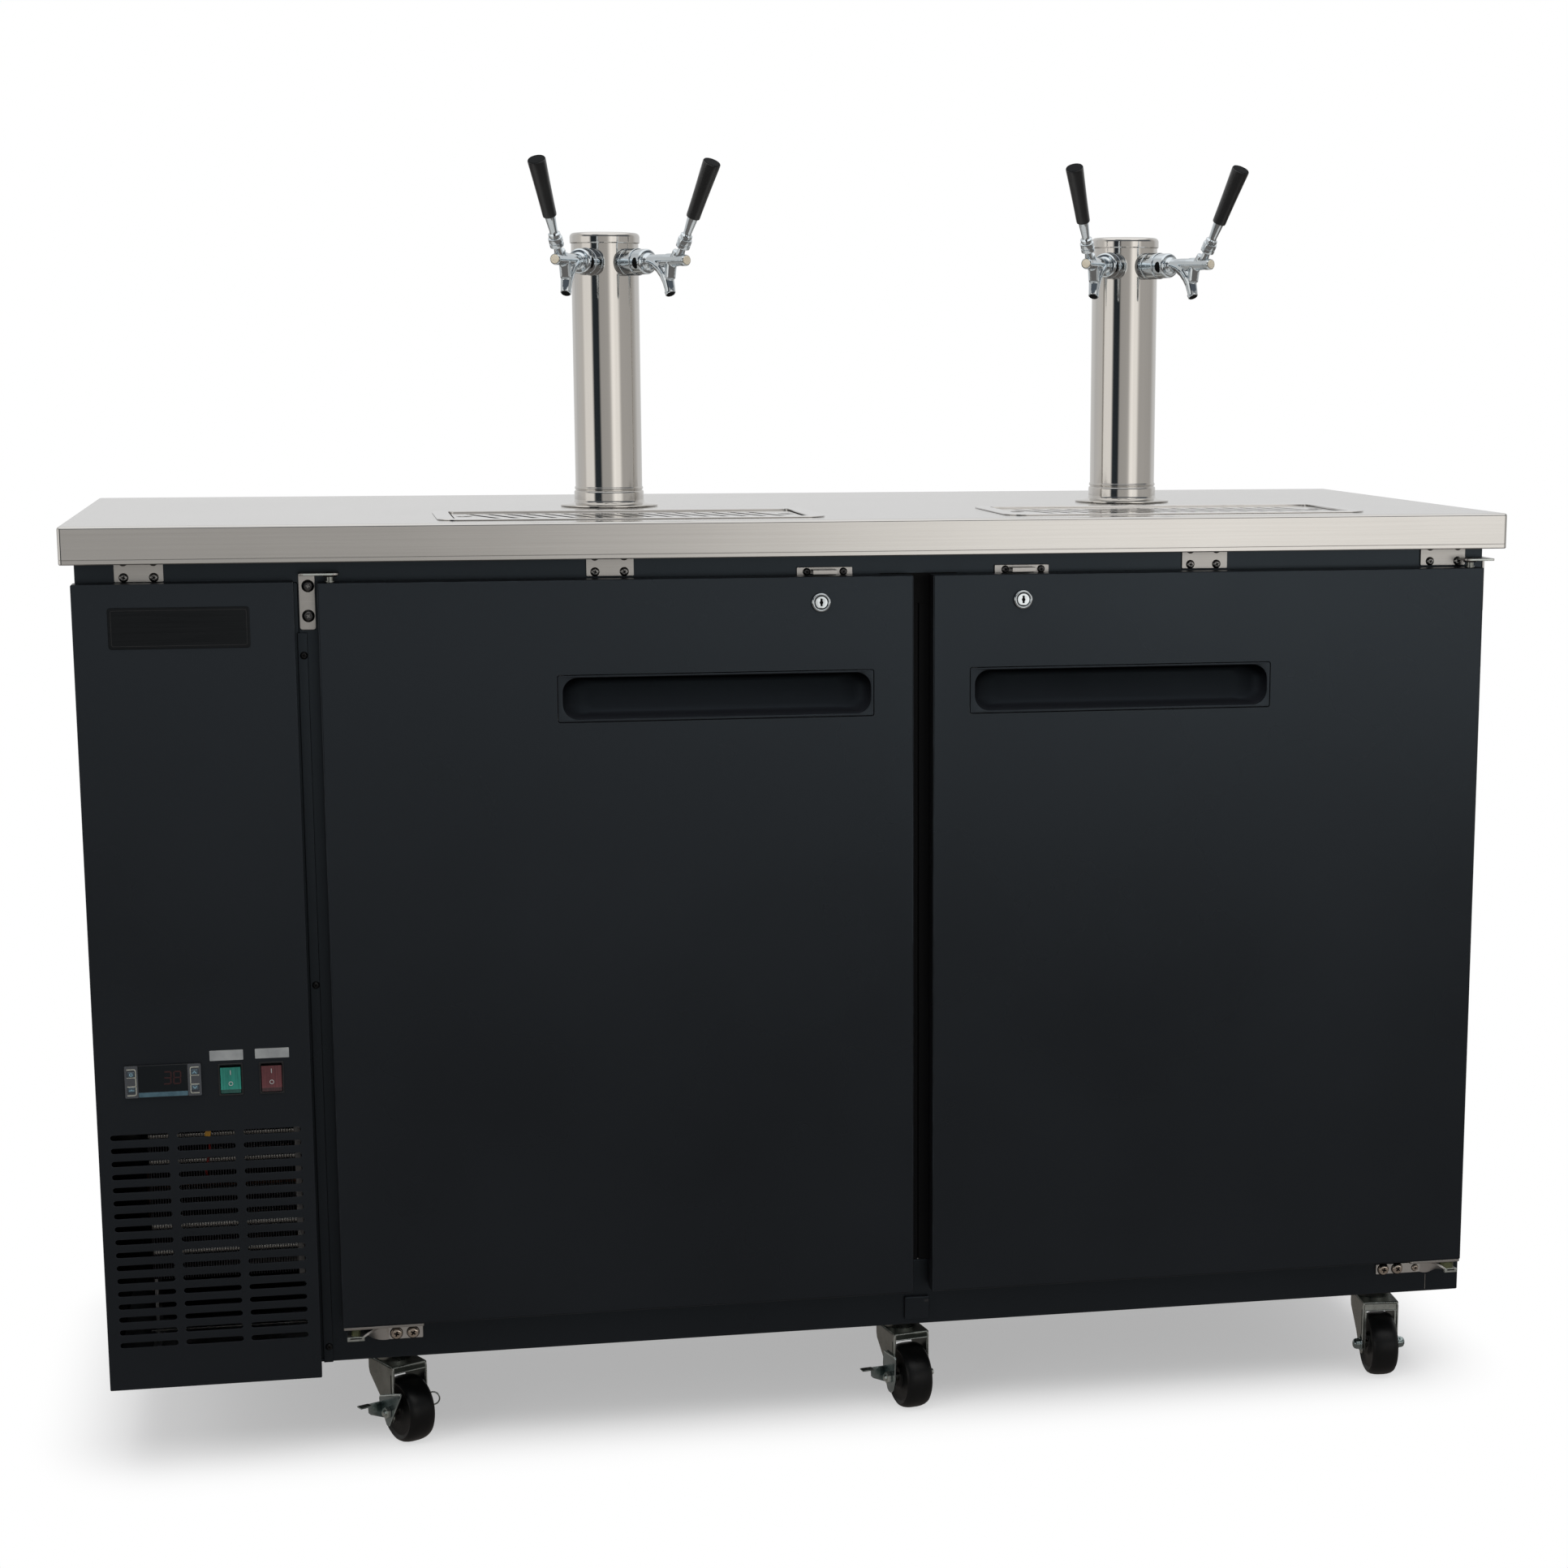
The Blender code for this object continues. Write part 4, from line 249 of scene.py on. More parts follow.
def make_mottle_group():
    """Mottle: slow clouds and fine specks over a moulded, painted or plated surface."""
    tree, given, result = shader_group(
        "mottle",
        [
            ("Vector", "NodeSocketVector", None),
            ("Clouds", "NodeSocketFloat", 9.0),
            ("Specks", "NodeSocketFloat", 900.0),
        ],
        [("Clouds", "NodeSocketFloat"), ("Specks", "NodeSocketFloat")],
    )
    clouds = add_noise(tree, given.outputs["Vector"], given.outputs["Clouds"], 4.0)
    tree.links.new(add_range(tree, clouds, 0.32, 0.68), result.inputs["Clouds"])
    specks = add_noise(tree, given.outputs["Vector"], given.outputs["Specks"], 2.0)
    tree.links.new(add_range(tree, specks, 0.25, 0.75), result.inputs["Specks"])
    return tree


def make_edge_wear_group():
    """Edge wear: the folded and rounded edges, rubbed bright here and there."""
    tree, given, result = shader_group(
        "edge wear", [("Vector", "NodeSocketVector", None), ("Amount", "NodeSocketFloat", 0.5)],
        [("Wear", "NodeSocketFloat")],
    )
    edges = tree.nodes.new("ShaderNodeAttribute")
    edges.attribute_name = "edge"
    rubbed = add_noise(tree, given.outputs["Vector"], 45.0, 4.0, 0.65)
    patches = add_range(tree, rubbed, 0.42, 0.66)
    shown = add_math(tree, "MULTIPLY", edges.outputs["Fac"], patches)
    tree.links.new(add_math(tree, "MULTIPLY", shown, given.outputs["Amount"]), result.inputs["Wear"])
    return tree


GRAIN = make_grain_group()
MOTTLE = make_mottle_group()
EDGE_WEAR = make_edge_wear_group()


def place_group(tree, group, **values):
    node = tree.nodes.new("ShaderNodeGroup")
    node.node_tree = group
    coordinates = tree.nodes.new("ShaderNodeTexCoord")
    tree.links.new(coordinates.outputs["Object"], node.inputs["Vector"])
    for socket, value in values.items():
        node.inputs[socket].default_value = value
    return node


def add_mix(tree, share, first, second):
    mix = tree.nodes.new("ShaderNodeMix")
    mix.data_type = "RGBA"
    tree.links.new(share, mix.inputs["Factor"])
    for socket, colour in (("A", first), ("B", second)):
        target = next(s for s in mix.inputs if s.name == socket and s.type == "RGBA")
        if hasattr(colour, "links"):
            tree.links.new(colour, target)
        else:
            target.default_value = (*colour, 1.0)
    return next(s for s in mix.outputs if s.type == "RGBA")


def add_bump(tree, shader, height, strength, distance):
    bump = tree.nodes.new("ShaderNodeBump")
    bump.inputs["Strength"].default_value = strength
    bump.inputs["Distance"].default_value = distance
    tree.links.new(height, bump.inputs["Height"])
    tree.links.new(bump.outputs["Normal"], shader.inputs["Normal"])


def new_material(name, metallic, **sockets):
    material = bpy.data.materials.new(name)
    material.use_nodes = True
    shader = material.node_tree.nodes["Principled BSDF"]
    shader.inputs["Metallic"].default_value = metallic
    for socket, value in sockets.items():
        shader.inputs[socket.replace("_", " ")].default_value = value
    return material, material.node_tree, shader


def metal(name, dark, light, roughness, stretch, bump=0.06, **sockets):
    """A rolled, brushed or polished metal: its lines run along the smallest number in stretch."""
    material, tree, shader = new_material(name, 1.0, **sockets)
    grain = place_group(tree, GRAIN, Stretch=stretch)
    mixed = add_math(tree, "MULTIPLY_ADD", grain.outputs["Lines"], 0.6, 0.0)
    mixed = add_math(tree, "MULTIPLY_ADD", grain.outputs["Drift"], 0.4, mixed)
    tree.links.new(add_mix(tree, mixed, dark, light), shader.inputs["Base Color"])
    tree.links.new(add_range(tree, mixed, 0.0, 1.0, *roughness), shader.inputs["Roughness"])
    add_bump(tree, shader, grain.outputs["Lines"], bump, 0.0002)
    return material


def coated(
    name, dark, light, roughness, metallic=0.0,
    specks=900.0, clouds=9.0, bump=0.1, wear=None, streaks=None, **sockets,
):
    """Paint, plating, rubber or plastic: clouded or streaked colour, fine texture and rubbed edges."""
    material, tree, shader = new_material(name, metallic, **sockets)
    mottle = place_group(tree, MOTTLE, Clouds=clouds, Specks=specks)
    drift = mottle.outputs["Clouds"]
    if streaks:
        drift = place_group(tree, GRAIN, Stretch=streaks).outputs["Lines"]
    colour = add_mix(tree, drift, dark, light)
    if wear:
        amount, bare = wear
        worn = place_group(tree, EDGE_WEAR, Amount=amount)
        colour = add_mix(tree, worn.outputs["Wear"], colour, bare)
    tree.links.new(colour, shader.inputs["Base Color"])
    tree.links.new(
        add_range(tree, mottle.outputs["Clouds"], 0.0, 1.0, *roughness), shader.inputs["Roughness"],
    )
    add_bump(tree, shader, mottle.outputs["Specks"], bump, 0.0003)
    return material


def paint_shade_by_height(material, low, high, under, over):
    """Paints shade into a finish by height, from one colour at the bottom to another at the top."""
    tree = material.node_tree
    place = tree.nodes.new("ShaderNodeTexCoord")
    split = tree.nodes.new("ShaderNodeSeparateXYZ")
    tree.links.new(place.outputs["Object"], split.inputs[0])
    share = add_range(tree, split.outputs["Z"], low, high)
    tree.links.new(add_mix(tree, share, under, over), tree.nodes["Principled BSDF"].inputs["Base Color"])


BLACK_PAINT = coated(
    "black powder coat", (0.0062, 0.0062, 0.0070), (0.0078, 0.0078, 0.0090), (0.25, 0.32), specks=1100.0,
    clouds=3.0, bump=0.10, wear=(0.4, (0.020, 0.023, 0.026)), IOR=1.53, Specular_Tint=(0.68, 0.85, 1.0, 1.0),
)
# A black breaker strip, darkened past the plastic's own colour as painted shade for the deep gap between the
# doors. The case's seams use it too.
BREAKER_AND_PAINTED_SHADE = coated(
    "breaker strip with painted shade", (0.0035, 0.0038, 0.0044), (0.0050, 0.0054, 0.0062), (0.5, 0.6), specks=700.0, bump=0.1,
    IOR=1.28,
)
WORKTOP_STEEL = metal(
    "brushed worktop steel", (0.565, 0.552, 0.532), (0.640, 0.630, 0.612), (0.085, 0.14), (3.0, 420.0, 420.0),
)
PRESSED_STEEL = metal(
    "pressed tray steel", (0.555, 0.545, 0.530), (0.635, 0.626, 0.612), (0.06, 0.11), (4.0, 300.0, 300.0),
)
COLUMN_STEEL = metal(
    "polished column steel", (0.615, 0.596, 0.568), (0.665, 0.646, 0.618), (0.055, 0.085),
    (340.0, 340.0, 2.0), 0.006,
)
BRACKET_STEEL = metal(
    "bracket steel", (0.50, 0.49, 0.47), (0.62, 0.61, 0.59), (0.26, 0.36), (8.0, 300.0, 300.0),
)
# A lighter copy of the bracket steel, painted light for the lower hinges, which lie in shade and mirror the
# dark floor.
BRACKET_STEEL_PAINTED_LIGHT = metal(
    "bracket steel with painted light", (0.74, 0.73, 0.71), (0.86, 0.85, 0.83), (0.34, 0.46), (8.0, 300.0, 300.0),
)
CHROME = coated(
    "bright chrome", (0.63, 0.68, 0.71), (0.70, 0.755, 0.79), (0.04, 0.075), 1.0, bump=0.015, clouds=20.0,
)
ZINC = coated(
    "zinc plate", (0.27, 0.285, 0.262), (0.42, 0.435, 0.405), (0.22, 0.36), 1.0, specks=350.0, clouds=38.0,
    bump=0.12, wear=(1.0, (0.74, 0.80, 0.77)),
)
# A darker copy of the zinc: painted shade for the caster and pedal faces that lie in shade.
ZINC_PAINTED_SHADE = coated(
    "zinc plate with painted shade", (0.050, 0.062, 0.056), (0.095, 0.110, 0.100), (0.24, 0.36), 1.0, specks=350.0,
    clouds=38.0, bump=0.1, wear=(1.0, (0.62, 0.70, 0.66)),
)
BRIGHT_ZINC = coated(
    "bright zinc", (0.30, 0.36, 0.365), (0.46, 0.54, 0.545), (0.16, 0.26), 1.0, clouds=60.0, bump=0.08,
    wear=(1.0, (0.82, 0.90, 0.90)),
)
# A bright zinc for painted highlights: thin lines of light along the edges of forks, hinges and pedal, and
# the bright nuts and caps.
ZINC_PAINTED_HIGHLIGHT = coated(
    "zinc with painted highlight", (0.62, 0.68, 0.65), (0.82, 0.88, 0.85), (0.25, 0.4), 1.0, clouds=90.0, bump=0.05,
)
WARM_SCREW = coated(
    "warm plated screw", (0.62, 0.52, 0.43), (0.86, 0.76, 0.66), (0.14, 0.26), 1.0, clouds=150.0,
    wear=(0.6, (0.75, 0.70, 0.64)),
)
PLATED_SCREW = coated(
    "plated screw", (0.17, 0.17, 0.17), (0.30, 0.30, 0.29), (0.2, 0.34), 1.0, clouds=150.0,
    wear=(1.0, (0.62, 0.61, 0.59)),
)
DARK_SCREW = coated(
    "dark screw", (0.055, 0.055, 0.058), (0.11, 0.11, 0.115), (0.28, 0.42), 1.0, clouds=120.0,
    wear=(0.7, (0.35, 0.34, 0.33)),
)
TYRE = coated(
    "satin wheel", (0.0032, 0.0035, 0.0036), (0.0056, 0.0060, 0.0062), (0.34, 0.46), specks=700.0,
    clouds=26.0, bump=0.14, wear=(0.5, (0.012, 0.012, 0.013)), IOR=1.38,
)
HANDLE_BLACK = coated(
    "satin handle", (0.0070, 0.0078, 0.0085), (0.0100, 0.0110, 0.0120), (0.26, 0.34), specks=600.0, bump=0.05,
    Coat_Weight=0.25, Coat_Roughness=0.22,
)
HANDLE_END = coated(
    "handle end", (0.0060, 0.0066, 0.0072), (0.0085, 0.0093, 0.0100), (0.7, 0.85), bump=0.1, IOR=1.2,
)
# The pull's black plastic. Below, its colour is replaced by painted shade that is darkest at the top of the
# cup and lighter at its bottom.
PULL_BLACK_PAINTED_SHADE = coated(
    "moulded pull with painted shade", (0.0030, 0.0034, 0.0044), (0.0046, 0.0052, 0.0066), (0.40, 0.50), specks=1400.0,
    bump=0.16, IOR=1.33, Specular_Tint=(0.66, 0.85, 1.0, 1.0),
)
paint_shade_by_height(
    PULL_BLACK_PAINTED_SHADE, RECESS_LOW + 0.004, RECESS_HIGH - 0.006, (0.0125, 0.0135, 0.0165), (0.0012, 0.0013, 0.0020),
)
SEAL = coated("door seal", (0.020, 0.020, 0.022), (0.030, 0.030, 0.033), (0.55, 0.7), specks=500.0, bump=0.15)
LINER = coated(
    "liner sheet", (0.58, 0.59, 0.60), (0.68, 0.69, 0.70), (0.32, 0.46), 1.0, specks=160.0, clouds=7.0,
    bump=0.35,
)
BEZEL = coated(
    "controller case", (0.0085, 0.0090, 0.0100), (0.012, 0.0128, 0.0140), (0.34, 0.44), specks=1500.0,
    bump=0.12,
)
SCREEN = coated(
    "display window", (0.0062, 0.0066, 0.0072), (0.0080, 0.0084, 0.0092), (0.10, 0.16), bump=0.005, IOR=1.45,
    Specular_Tint=(0.62, 0.85, 1.0, 1.0),
)
KEY_FILM = coated(
    "key film", (0.045, 0.049, 0.055), (0.062, 0.067, 0.074), (0.36, 0.48), specks=1300.0, bump=0.08,
)
KEY = coated("keypad", (0.040, 0.058, 0.072), (0.058, 0.082, 0.100), (0.34, 0.46), specks=1300.0, bump=0.10)
KEY_LINE = coated("key outline", (0.36, 0.36, 0.30), (0.48, 0.48, 0.40), (0.4, 0.5), clouds=300.0, bump=0.02)
KEY_SIGN = coated("key sign", (0.13, 0.24, 0.29), (0.20, 0.34, 0.40), (0.4, 0.5), clouds=300.0, bump=0.02)
STRIP = coated(
    "bare strip", (0.042, 0.092, 0.120), (0.070, 0.140, 0.175), (0.34, 0.46), clouds=160.0, bump=0.03,
)
LABEL = coated(
    "bare label", (0.245, 0.255, 0.255), (0.34, 0.35, 0.345), (0.42, 0.52), specks=900.0, clouds=60.0,
    bump=0.04,
)
PALE_INK = coated("pale ink", (0.36, 0.37, 0.36), (0.48, 0.49, 0.48), (0.4, 0.5), bump=0.02)
BADGE = metal(
    "bare badge", (0.018, 0.020, 0.022), (0.030, 0.033, 0.036), (0.24, 0.34), (10.0, 500.0, 500.0), 0.05,
)
GREEN = coated(
    "green rocker", (0.008, 0.130, 0.100), (0.030, 0.270, 0.205), (0.14, 0.22), bump=0.03,
    streaks=(620.0, 60.0, 18.0), Coat_Weight=0.5, Coat_Roughness=0.14,
)
# Darker copies of the rocker colours for each rocker's lower lip: its own darker plastic, deepened as painted
# shade.
GREEN_PAINTED_SHADE = coated(
    "green rocker with painted shade", (0.004, 0.030, 0.026), (0.012, 0.085, 0.070), (0.2, 0.3), bump=0.03,
    streaks=(820.0, 60.0, 18.0),
)
RED_PAINTED_SHADE = coated(
    "red rocker with painted shade", (0.018, 0.009, 0.010), (0.060, 0.022, 0.025), (0.2, 0.3), bump=0.03,
    streaks=(820.0, 60.0, 18.0),
)
RED = coated(
    "red rocker", (0.075, 0.024, 0.028), (0.150, 0.046, 0.050), (0.14, 0.22), bump=0.03,
    streaks=(620.0, 60.0, 18.0), Coat_Weight=0.5, Coat_Roughness=0.14,
)
FINS = metal("coil fins", (0.10, 0.105, 0.12), (0.17, 0.175, 0.19), (0.34, 0.5), (300.0, 300.0, 12.0), 0.1)
COPPER = coated(
    "copper tube", (0.52, 0.22, 0.11), (0.66, 0.31, 0.17), (0.24, 0.4), 1.0, clouds=45.0, bump=0.06,
)
ENAMEL = coated(
    "black enamel", (0.012, 0.012, 0.013), (0.018, 0.018, 0.020), (0.16, 0.26), clouds=14.0, bump=0.05,
)
GALVANISED = coated(
    "galvanised sheet", (0.42, 0.43, 0.44), (0.58, 0.59, 0.60), (0.32, 0.48), 1.0, specks=120.0, clouds=55.0,
    bump=0.1,
)
TUBE = coated("bright tube", (0.62, 0.61, 0.57), (0.74, 0.73, 0.69), (0.2, 0.3), 1.0, clouds=60.0, bump=0.04)
WIRE = coated("red wire", (0.16, 0.012, 0.010), (0.24, 0.020, 0.016), (0.4, 0.5), clouds=90.0, bump=0.03)
TAG = coated("wire tag", (0.40, 0.19, 0.015), (0.52, 0.27, 0.03), (0.5, 0.65), clouds=90.0, bump=0.05)
BUSH = coated("hinge bush", (0.060, 0.066, 0.026), (0.105, 0.112, 0.048), (0.38, 0.5), clouds=90.0, bump=0.05)
FAN_BLACK = coated(
    "fan plastic", (0.014, 0.014, 0.015), (0.021, 0.021, 0.023), (0.36, 0.5), specks=800.0, bump=0.1,
)
# Near black for painted shade in openings, recesses and gaps.
PAINTED_SHADE_BLACK = coated(
    "painted shade for openings", (0.0020, 0.0022, 0.0024), (0.0040, 0.0042, 0.0045), (0.6, 0.8), bump=0.05, IOR=1.2,
)
IVORY = coated("vent plug", (0.62, 0.55, 0.42), (0.72, 0.66, 0.53), (0.3, 0.42), clouds=90.0, bump=0.04)


def make_digit_glow():
    """The dim digits: a dark red glow that is a little stronger in some places than in others."""
    material, tree, shader = new_material("dim digits", 0.0, Roughness=0.4, Emission_Strength=1.0)
    mottle = place_group(tree, MOTTLE, Clouds=400.0, Specks=2000.0)
    glow = add_mix(tree, mottle.outputs["Clouds"], (0.0085, 0.0010, 0.0012), (0.0130, 0.0018, 0.0020))
    tree.links.new(glow, shader.inputs["Emission Color"])
    body = add_mix(tree, mottle.outputs["Specks"], (0.012, 0.004, 0.004), (0.018, 0.006, 0.006))
    tree.links.new(body, shader.inputs["Base Color"])
    return material


DIGITS = make_digit_glow()


# ---- Pieces --------------------------------------------------------------------------------

def put_in_scene(name, data):
    made = bpy.data.objects.new(name, data)
    bpy.context.scene.collection.objects.link(made)
    return made


def evaluated_mesh(carrier):
    """The mesh that an object's modifiers make; the object is then taken away."""
    carrier.update_tag()
    bpy.context.view_layer.update()
    mesh = bpy.data.meshes.new_from_object(carrier.evaluated_get(bpy.context.evaluated_depsgraph_get()))
    bpy.data.objects.remove(carrier)
    return mesh


class Piece:
    """One piece, put together in a single mesh from plates, turned forms and rods."""

    def __init__(self, name):
        self.name = name
        self.mesh = bmesh.new()
        self.edge = self.mesh.faces.layers.float.new("edge")
        self.finishes = []

    def finished_mesh(self):
        mesh = bpy.data.meshes.new(self.name)
        self.mesh.to_mesh(mesh)
        self.mesh.free()
        return mesh

    def take(self, faces, finish, place=None):
        """Turns new faces outward, puts them in place and gives them their finish."""
        if finish not in self.finishes:
            self.finishes.append(finish)
        for face in faces:
            face.material_index = self.finishes.index(finish)
        bmesh.ops.recalc_face_normals(self.mesh, faces=faces)
        if place is not None:
            corners = list({corner for face in faces for corner in face.verts})
            bmesh.ops.transform(self.mesh, matrix=place, verts=corners)
        return self

    def strip(self, low, high):
        """The faces between two rings of points, either of which may be a single point."""
        faces = []
        count = max(len(low), len(high))
        for number in range(count):
            after = (number + 1) % count
            corners = [
                low[number % len(low)],
                low[after % len(low)],
                high[after % len(high)],
                high[number % len(high)],
            ]
            faces.append(self.mesh.faces.new(list(dict.fromkeys(corners))))
        return faces

    def loft(self, rings, finish, place=None, closed=False):
        made = [[self.mesh.verts.new(point) for point in ring] for ring in rings]
        faces = []
        for low, high in zip(made, made[1:] + made[:1] if closed else made[1:]):
            faces += self.strip(low, high)
        if not closed:
            faces += [self.mesh.faces.new(ring) for ring in (made[0], made[-1]) if len(ring) > 2]
        return self.take(faces, finish, place)

    def plate(self, outlines, low, high, finish, place=None, edge=0.0004, steps=2, profile=None, holes=None):
        """A sheet between two heights: the first outline is its own, and the others are holes in it."""
        profile = profile or soft_edges(low, high, edge, steps)
        faces, upper, lower = [], [], []
        for number, outline in enumerate(outlines):
            course = holes if holes and number else profile
            rings = [
                [self.mesh.verts.new((point.x, point.y, height)) for point in drawn_in(outline, inset)]
                for inset, height in course
            ]
            for (before, after), (first, second) in zip(zip(rings, rings[1:]), zip(course, course[1:])):
                made = self.strip(before, after)
                if first[0] != second[0] and first[1] != second[1]:
                    for face in made:
                        face[self.edge] = 1.0
                faces += made
            upper.append(rings[0])
            lower.append(rings[-1])
        for rings in (upper, lower):
            flat = [corner for ring in rings for corner in ring]
            for corners in tessellate_polygon([[corner.co.copy() for corner in ring] for ring in rings]):
                faces.append(self.mesh.faces.new([flat[number] for number in corners]))
        return self.take(faces, finish, place)

    def front_plate(self, outlines, front, back, finish, **more):
        """A plate whose outline is drawn in X and Z, seen from the front."""
        return self.plate(outlines, -back, -front, finish, FACING_FRONT, **more)

    def block(self, low, high, finish, edge=0.0004, place=None):
        outline = window(low[0], high[0], low[1], high[1], edge, 2)
        return self.plate([outline], low[2], high[2], finish, place, edge)

    def turned(self, profile, finish, place=None, sides=48):
        """A form turned about Z, from (radius, height) pairs; a radius of nothing closes it in a point."""
        rings = []
        for radius, height in profile:
            around = circle(radius, sides) if radius > 1e-6 else [(0.0, 0.0)]
            rings.append([(x, y, height) for x, y in around])
        return self.loft(rings, finish, place)

    def rod(self, path, radii, finish, place=None, sides=16):
        """A round rod or wire along a path, with one radius or one for each point."""
        path = [Vector(point) for point in path]
        if not hasattr(radii, "__len__"):
            radii = [radii] * len(path)
        ahead = (path[1] - path[0]).normalized()
        across = ahead.orthogonal().normalized()
        rings = []
        for number, (point, radius) in enumerate(zip(path, radii)):
            near, far = path[max(number - 1, 0)], path[min(number + 1, len(path) - 1)]
            turn = ahead.rotation_difference((far - near).normalized())
            ahead = turn @ ahead
            across = turn @ across
            other = ahead.cross(across)
            rings.append([point + (across * x + other * y) for x, y in circle(radius, sides)])
        return self.loft(rings, finish, place)

    def add_mesh(self, mesh, finish, place=None, edge=0.0):
        """Takes a made mesh in, such as one that a node tree gave, with its sharp edges eased."""
        before = set(self.mesh.faces)
        self.mesh.from_mesh(mesh)
        bpy.data.meshes.remove(mesh)
        faces = [face for face in self.mesh.faces if face not in before]
        if edge:
            sharp = {
                side
                for face in faces for side in face.edges if side.calc_face_angle(0.0) > math.radians(50)
            }
            made = bmesh.ops.bevel(
                self.mesh, geom=list(sharp), offset=edge, segments=2, profile=0.5, affect="EDGES",
                clamp_overlap=True,
            )
            for face in made["faces"]:
                face[self.edge] = 1.0
            faces = [face for face in self.mesh.faces if face not in before]
        return self.take(faces, finish, place)

    def ride(self, body, *nodes, slot=None, sharp=38.0):
        """Ends the piece: smooth where it is round, crisp at its folds, and riding on its body."""
        for face in self.mesh.faces:
            face.smooth = True
        limit = math.radians(sharp)
        for side in self.mesh.edges:
            side.smooth = len(side.link_faces) == 2 and side.calc_face_angle(0.0) < limit
        mesh = self.finished_mesh()
        for finish in self.finishes:
            mesh.materials.append(finish)
        made = put_in_scene(self.name, mesh)
        even = made.modifiers.new("even shading", "WEIGHTED_NORMAL")
        even.keep_sharp = True
        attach(made, body)
        if nodes:
            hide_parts(*nodes)


# ---- Node trees for what repeats -----------------------------------------------------------

def node_tree(name, inputs):
    """A new Geometry Nodes tree with named inputs; it gives the tree and the inputs' sockets."""
    tree = bpy.data.node_groups.new(name, "GeometryNodeTree")
    tree.interface.new_socket(name="Geometry", in_out="INPUT", socket_type="NodeSocketGeometry")
    for socket, kind in inputs.items():
        tree.interface.new_socket(name=socket, in_out="INPUT", socket_type="NodeSocket" + kind)
    tree.interface.new_socket(name="Geometry", in_out="OUTPUT", socket_type="NodeSocketGeometry")
    return tree, tree.nodes.new("NodeGroupInput").outputs


def add_node(tree, kind, **links):
    """A node with its inputs linked, or set where a plain value is given; the name's _ is a space."""
    node = tree.nodes.new(kind)
    for socket, value in links.items():
        target = node.inputs[socket.replace("_", " ")]
        if hasattr(value, "links"):
            tree.links.new(value, target)
        else:
            target.default_value = value
    return node


def close_tree(tree, geometry, finish):
    """Ends a tree with Realize Instances and Set Material."""
    real = add_node(tree, "GeometryNodeRealizeInstances", Geometry=geometry)
    painted = add_node(tree, "GeometryNodeSetMaterial", Geometry=real.outputs["Geometry"], Material=finish)
    result = tree.nodes.new("NodeGroupOutput")
    tree.links.new(painted.outputs["Geometry"], result.inputs["Geometry"])
    return tree


def make_repeat_tree():
    """Sets one form on every point, turned as the point's own "turn" says."""
    tree, given = node_tree("repeat a form", {"Form": "Object", "Size": "Float", "Finish": "Material"})
    form = add_node(tree, "GeometryNodeObjectInfo", Object=given["Form"])
    turn = add_node(tree, "GeometryNodeInputNamedAttribute", Name="turn")
    turn.data_type = "FLOAT_VECTOR"
    turned = add_node(tree, "FunctionNodeEulerToRotation", Euler=turn.outputs["Attribute"])
    placed = add_node(
        tree, "GeometryNodeInstanceOnPoints", Points=given["Geometry"], Instance=form.outputs["Geometry"],
        Rotation=turned.outputs["Rotation"], Scale=given["Size"],
    )
    return close_tree(tree, placed.outputs["Instances"], given["Finish"])


def joined_geometry(tree, *parts):
    join = tree.nodes.new("GeometryNodeJoinGeometry")
    for part in parts:
        tree.links.new(part, join.inputs["Geometry"])
    return join.outputs["Geometry"]


def make_slotted_tree():
    """A sheet cut from the curve's outlines, with a grid of round-ended slots through it."""
    tree, given = node_tree("slotted sheet", {
        "Centre": "Vector", "Columns": "Int", "Rows": "Int", "Column span": "Float", "Row span": "Float",
        "Slot length": "Float", "Slot width": "Float", "Slot turn": "Vector", "Thickness": "Vector",
        "Finish": "Material",
    })
    grid = add_node(
        tree, "GeometryNodeMeshGrid", Size_X=given["Column span"], Size_Y=given["Row span"],
        Vertices_X=given["Columns"], Vertices_Y=given["Rows"],
    )
    moved = add_node(
        tree, "GeometryNodeTransform", Geometry=grid.outputs["Mesh"], Translation=given["Centre"],
    )
    quad = add_node(
        tree, "GeometryNodeCurvePrimitiveQuadrilateral", Width=given["Slot length"],
        Height=given["Slot width"],
    )
    nearly_half = add_math(tree, "MULTIPLY", given["Slot width"], 0.499)
    fillet = add_node(tree, "GeometryNodeFilletCurve", Curve=quad.outputs["Curve"], Radius=nearly_half)
    fillet.mode = "POLY"
    fillet.inputs["Count"].default_value = 4
    slots = add_node(
        tree, "GeometryNodeInstanceOnPoints", Points=moved.outputs["Geometry"],
        Instance=fillet.outputs["Curve"], Rotation=given["Slot turn"],
    )
    cut = add_node(tree, "GeometryNodeRealizeInstances", Geometry=slots.outputs["Instances"])
    curves = joined_geometry(tree, given["Geometry"], cut.outputs["Geometry"])
    filled = add_node(tree, "GeometryNodeFillCurve", Curve=curves).outputs["Mesh"]
    raised = add_node(
        tree, "GeometryNodeExtrudeMesh", Mesh=filled, Offset=given["Thickness"], Individual=False,
    )
    under = add_node(tree, "GeometryNodeFlipFaces", Mesh=filled)
    both = joined_geometry(tree, raised.outputs["Mesh"], under.outputs["Mesh"])
    sewn = add_node(tree, "GeometryNodeMergeByDistance", Geometry=both, Distance=0.00001)
    return close_tree(tree, sewn.outputs["Geometry"], given["Finish"])


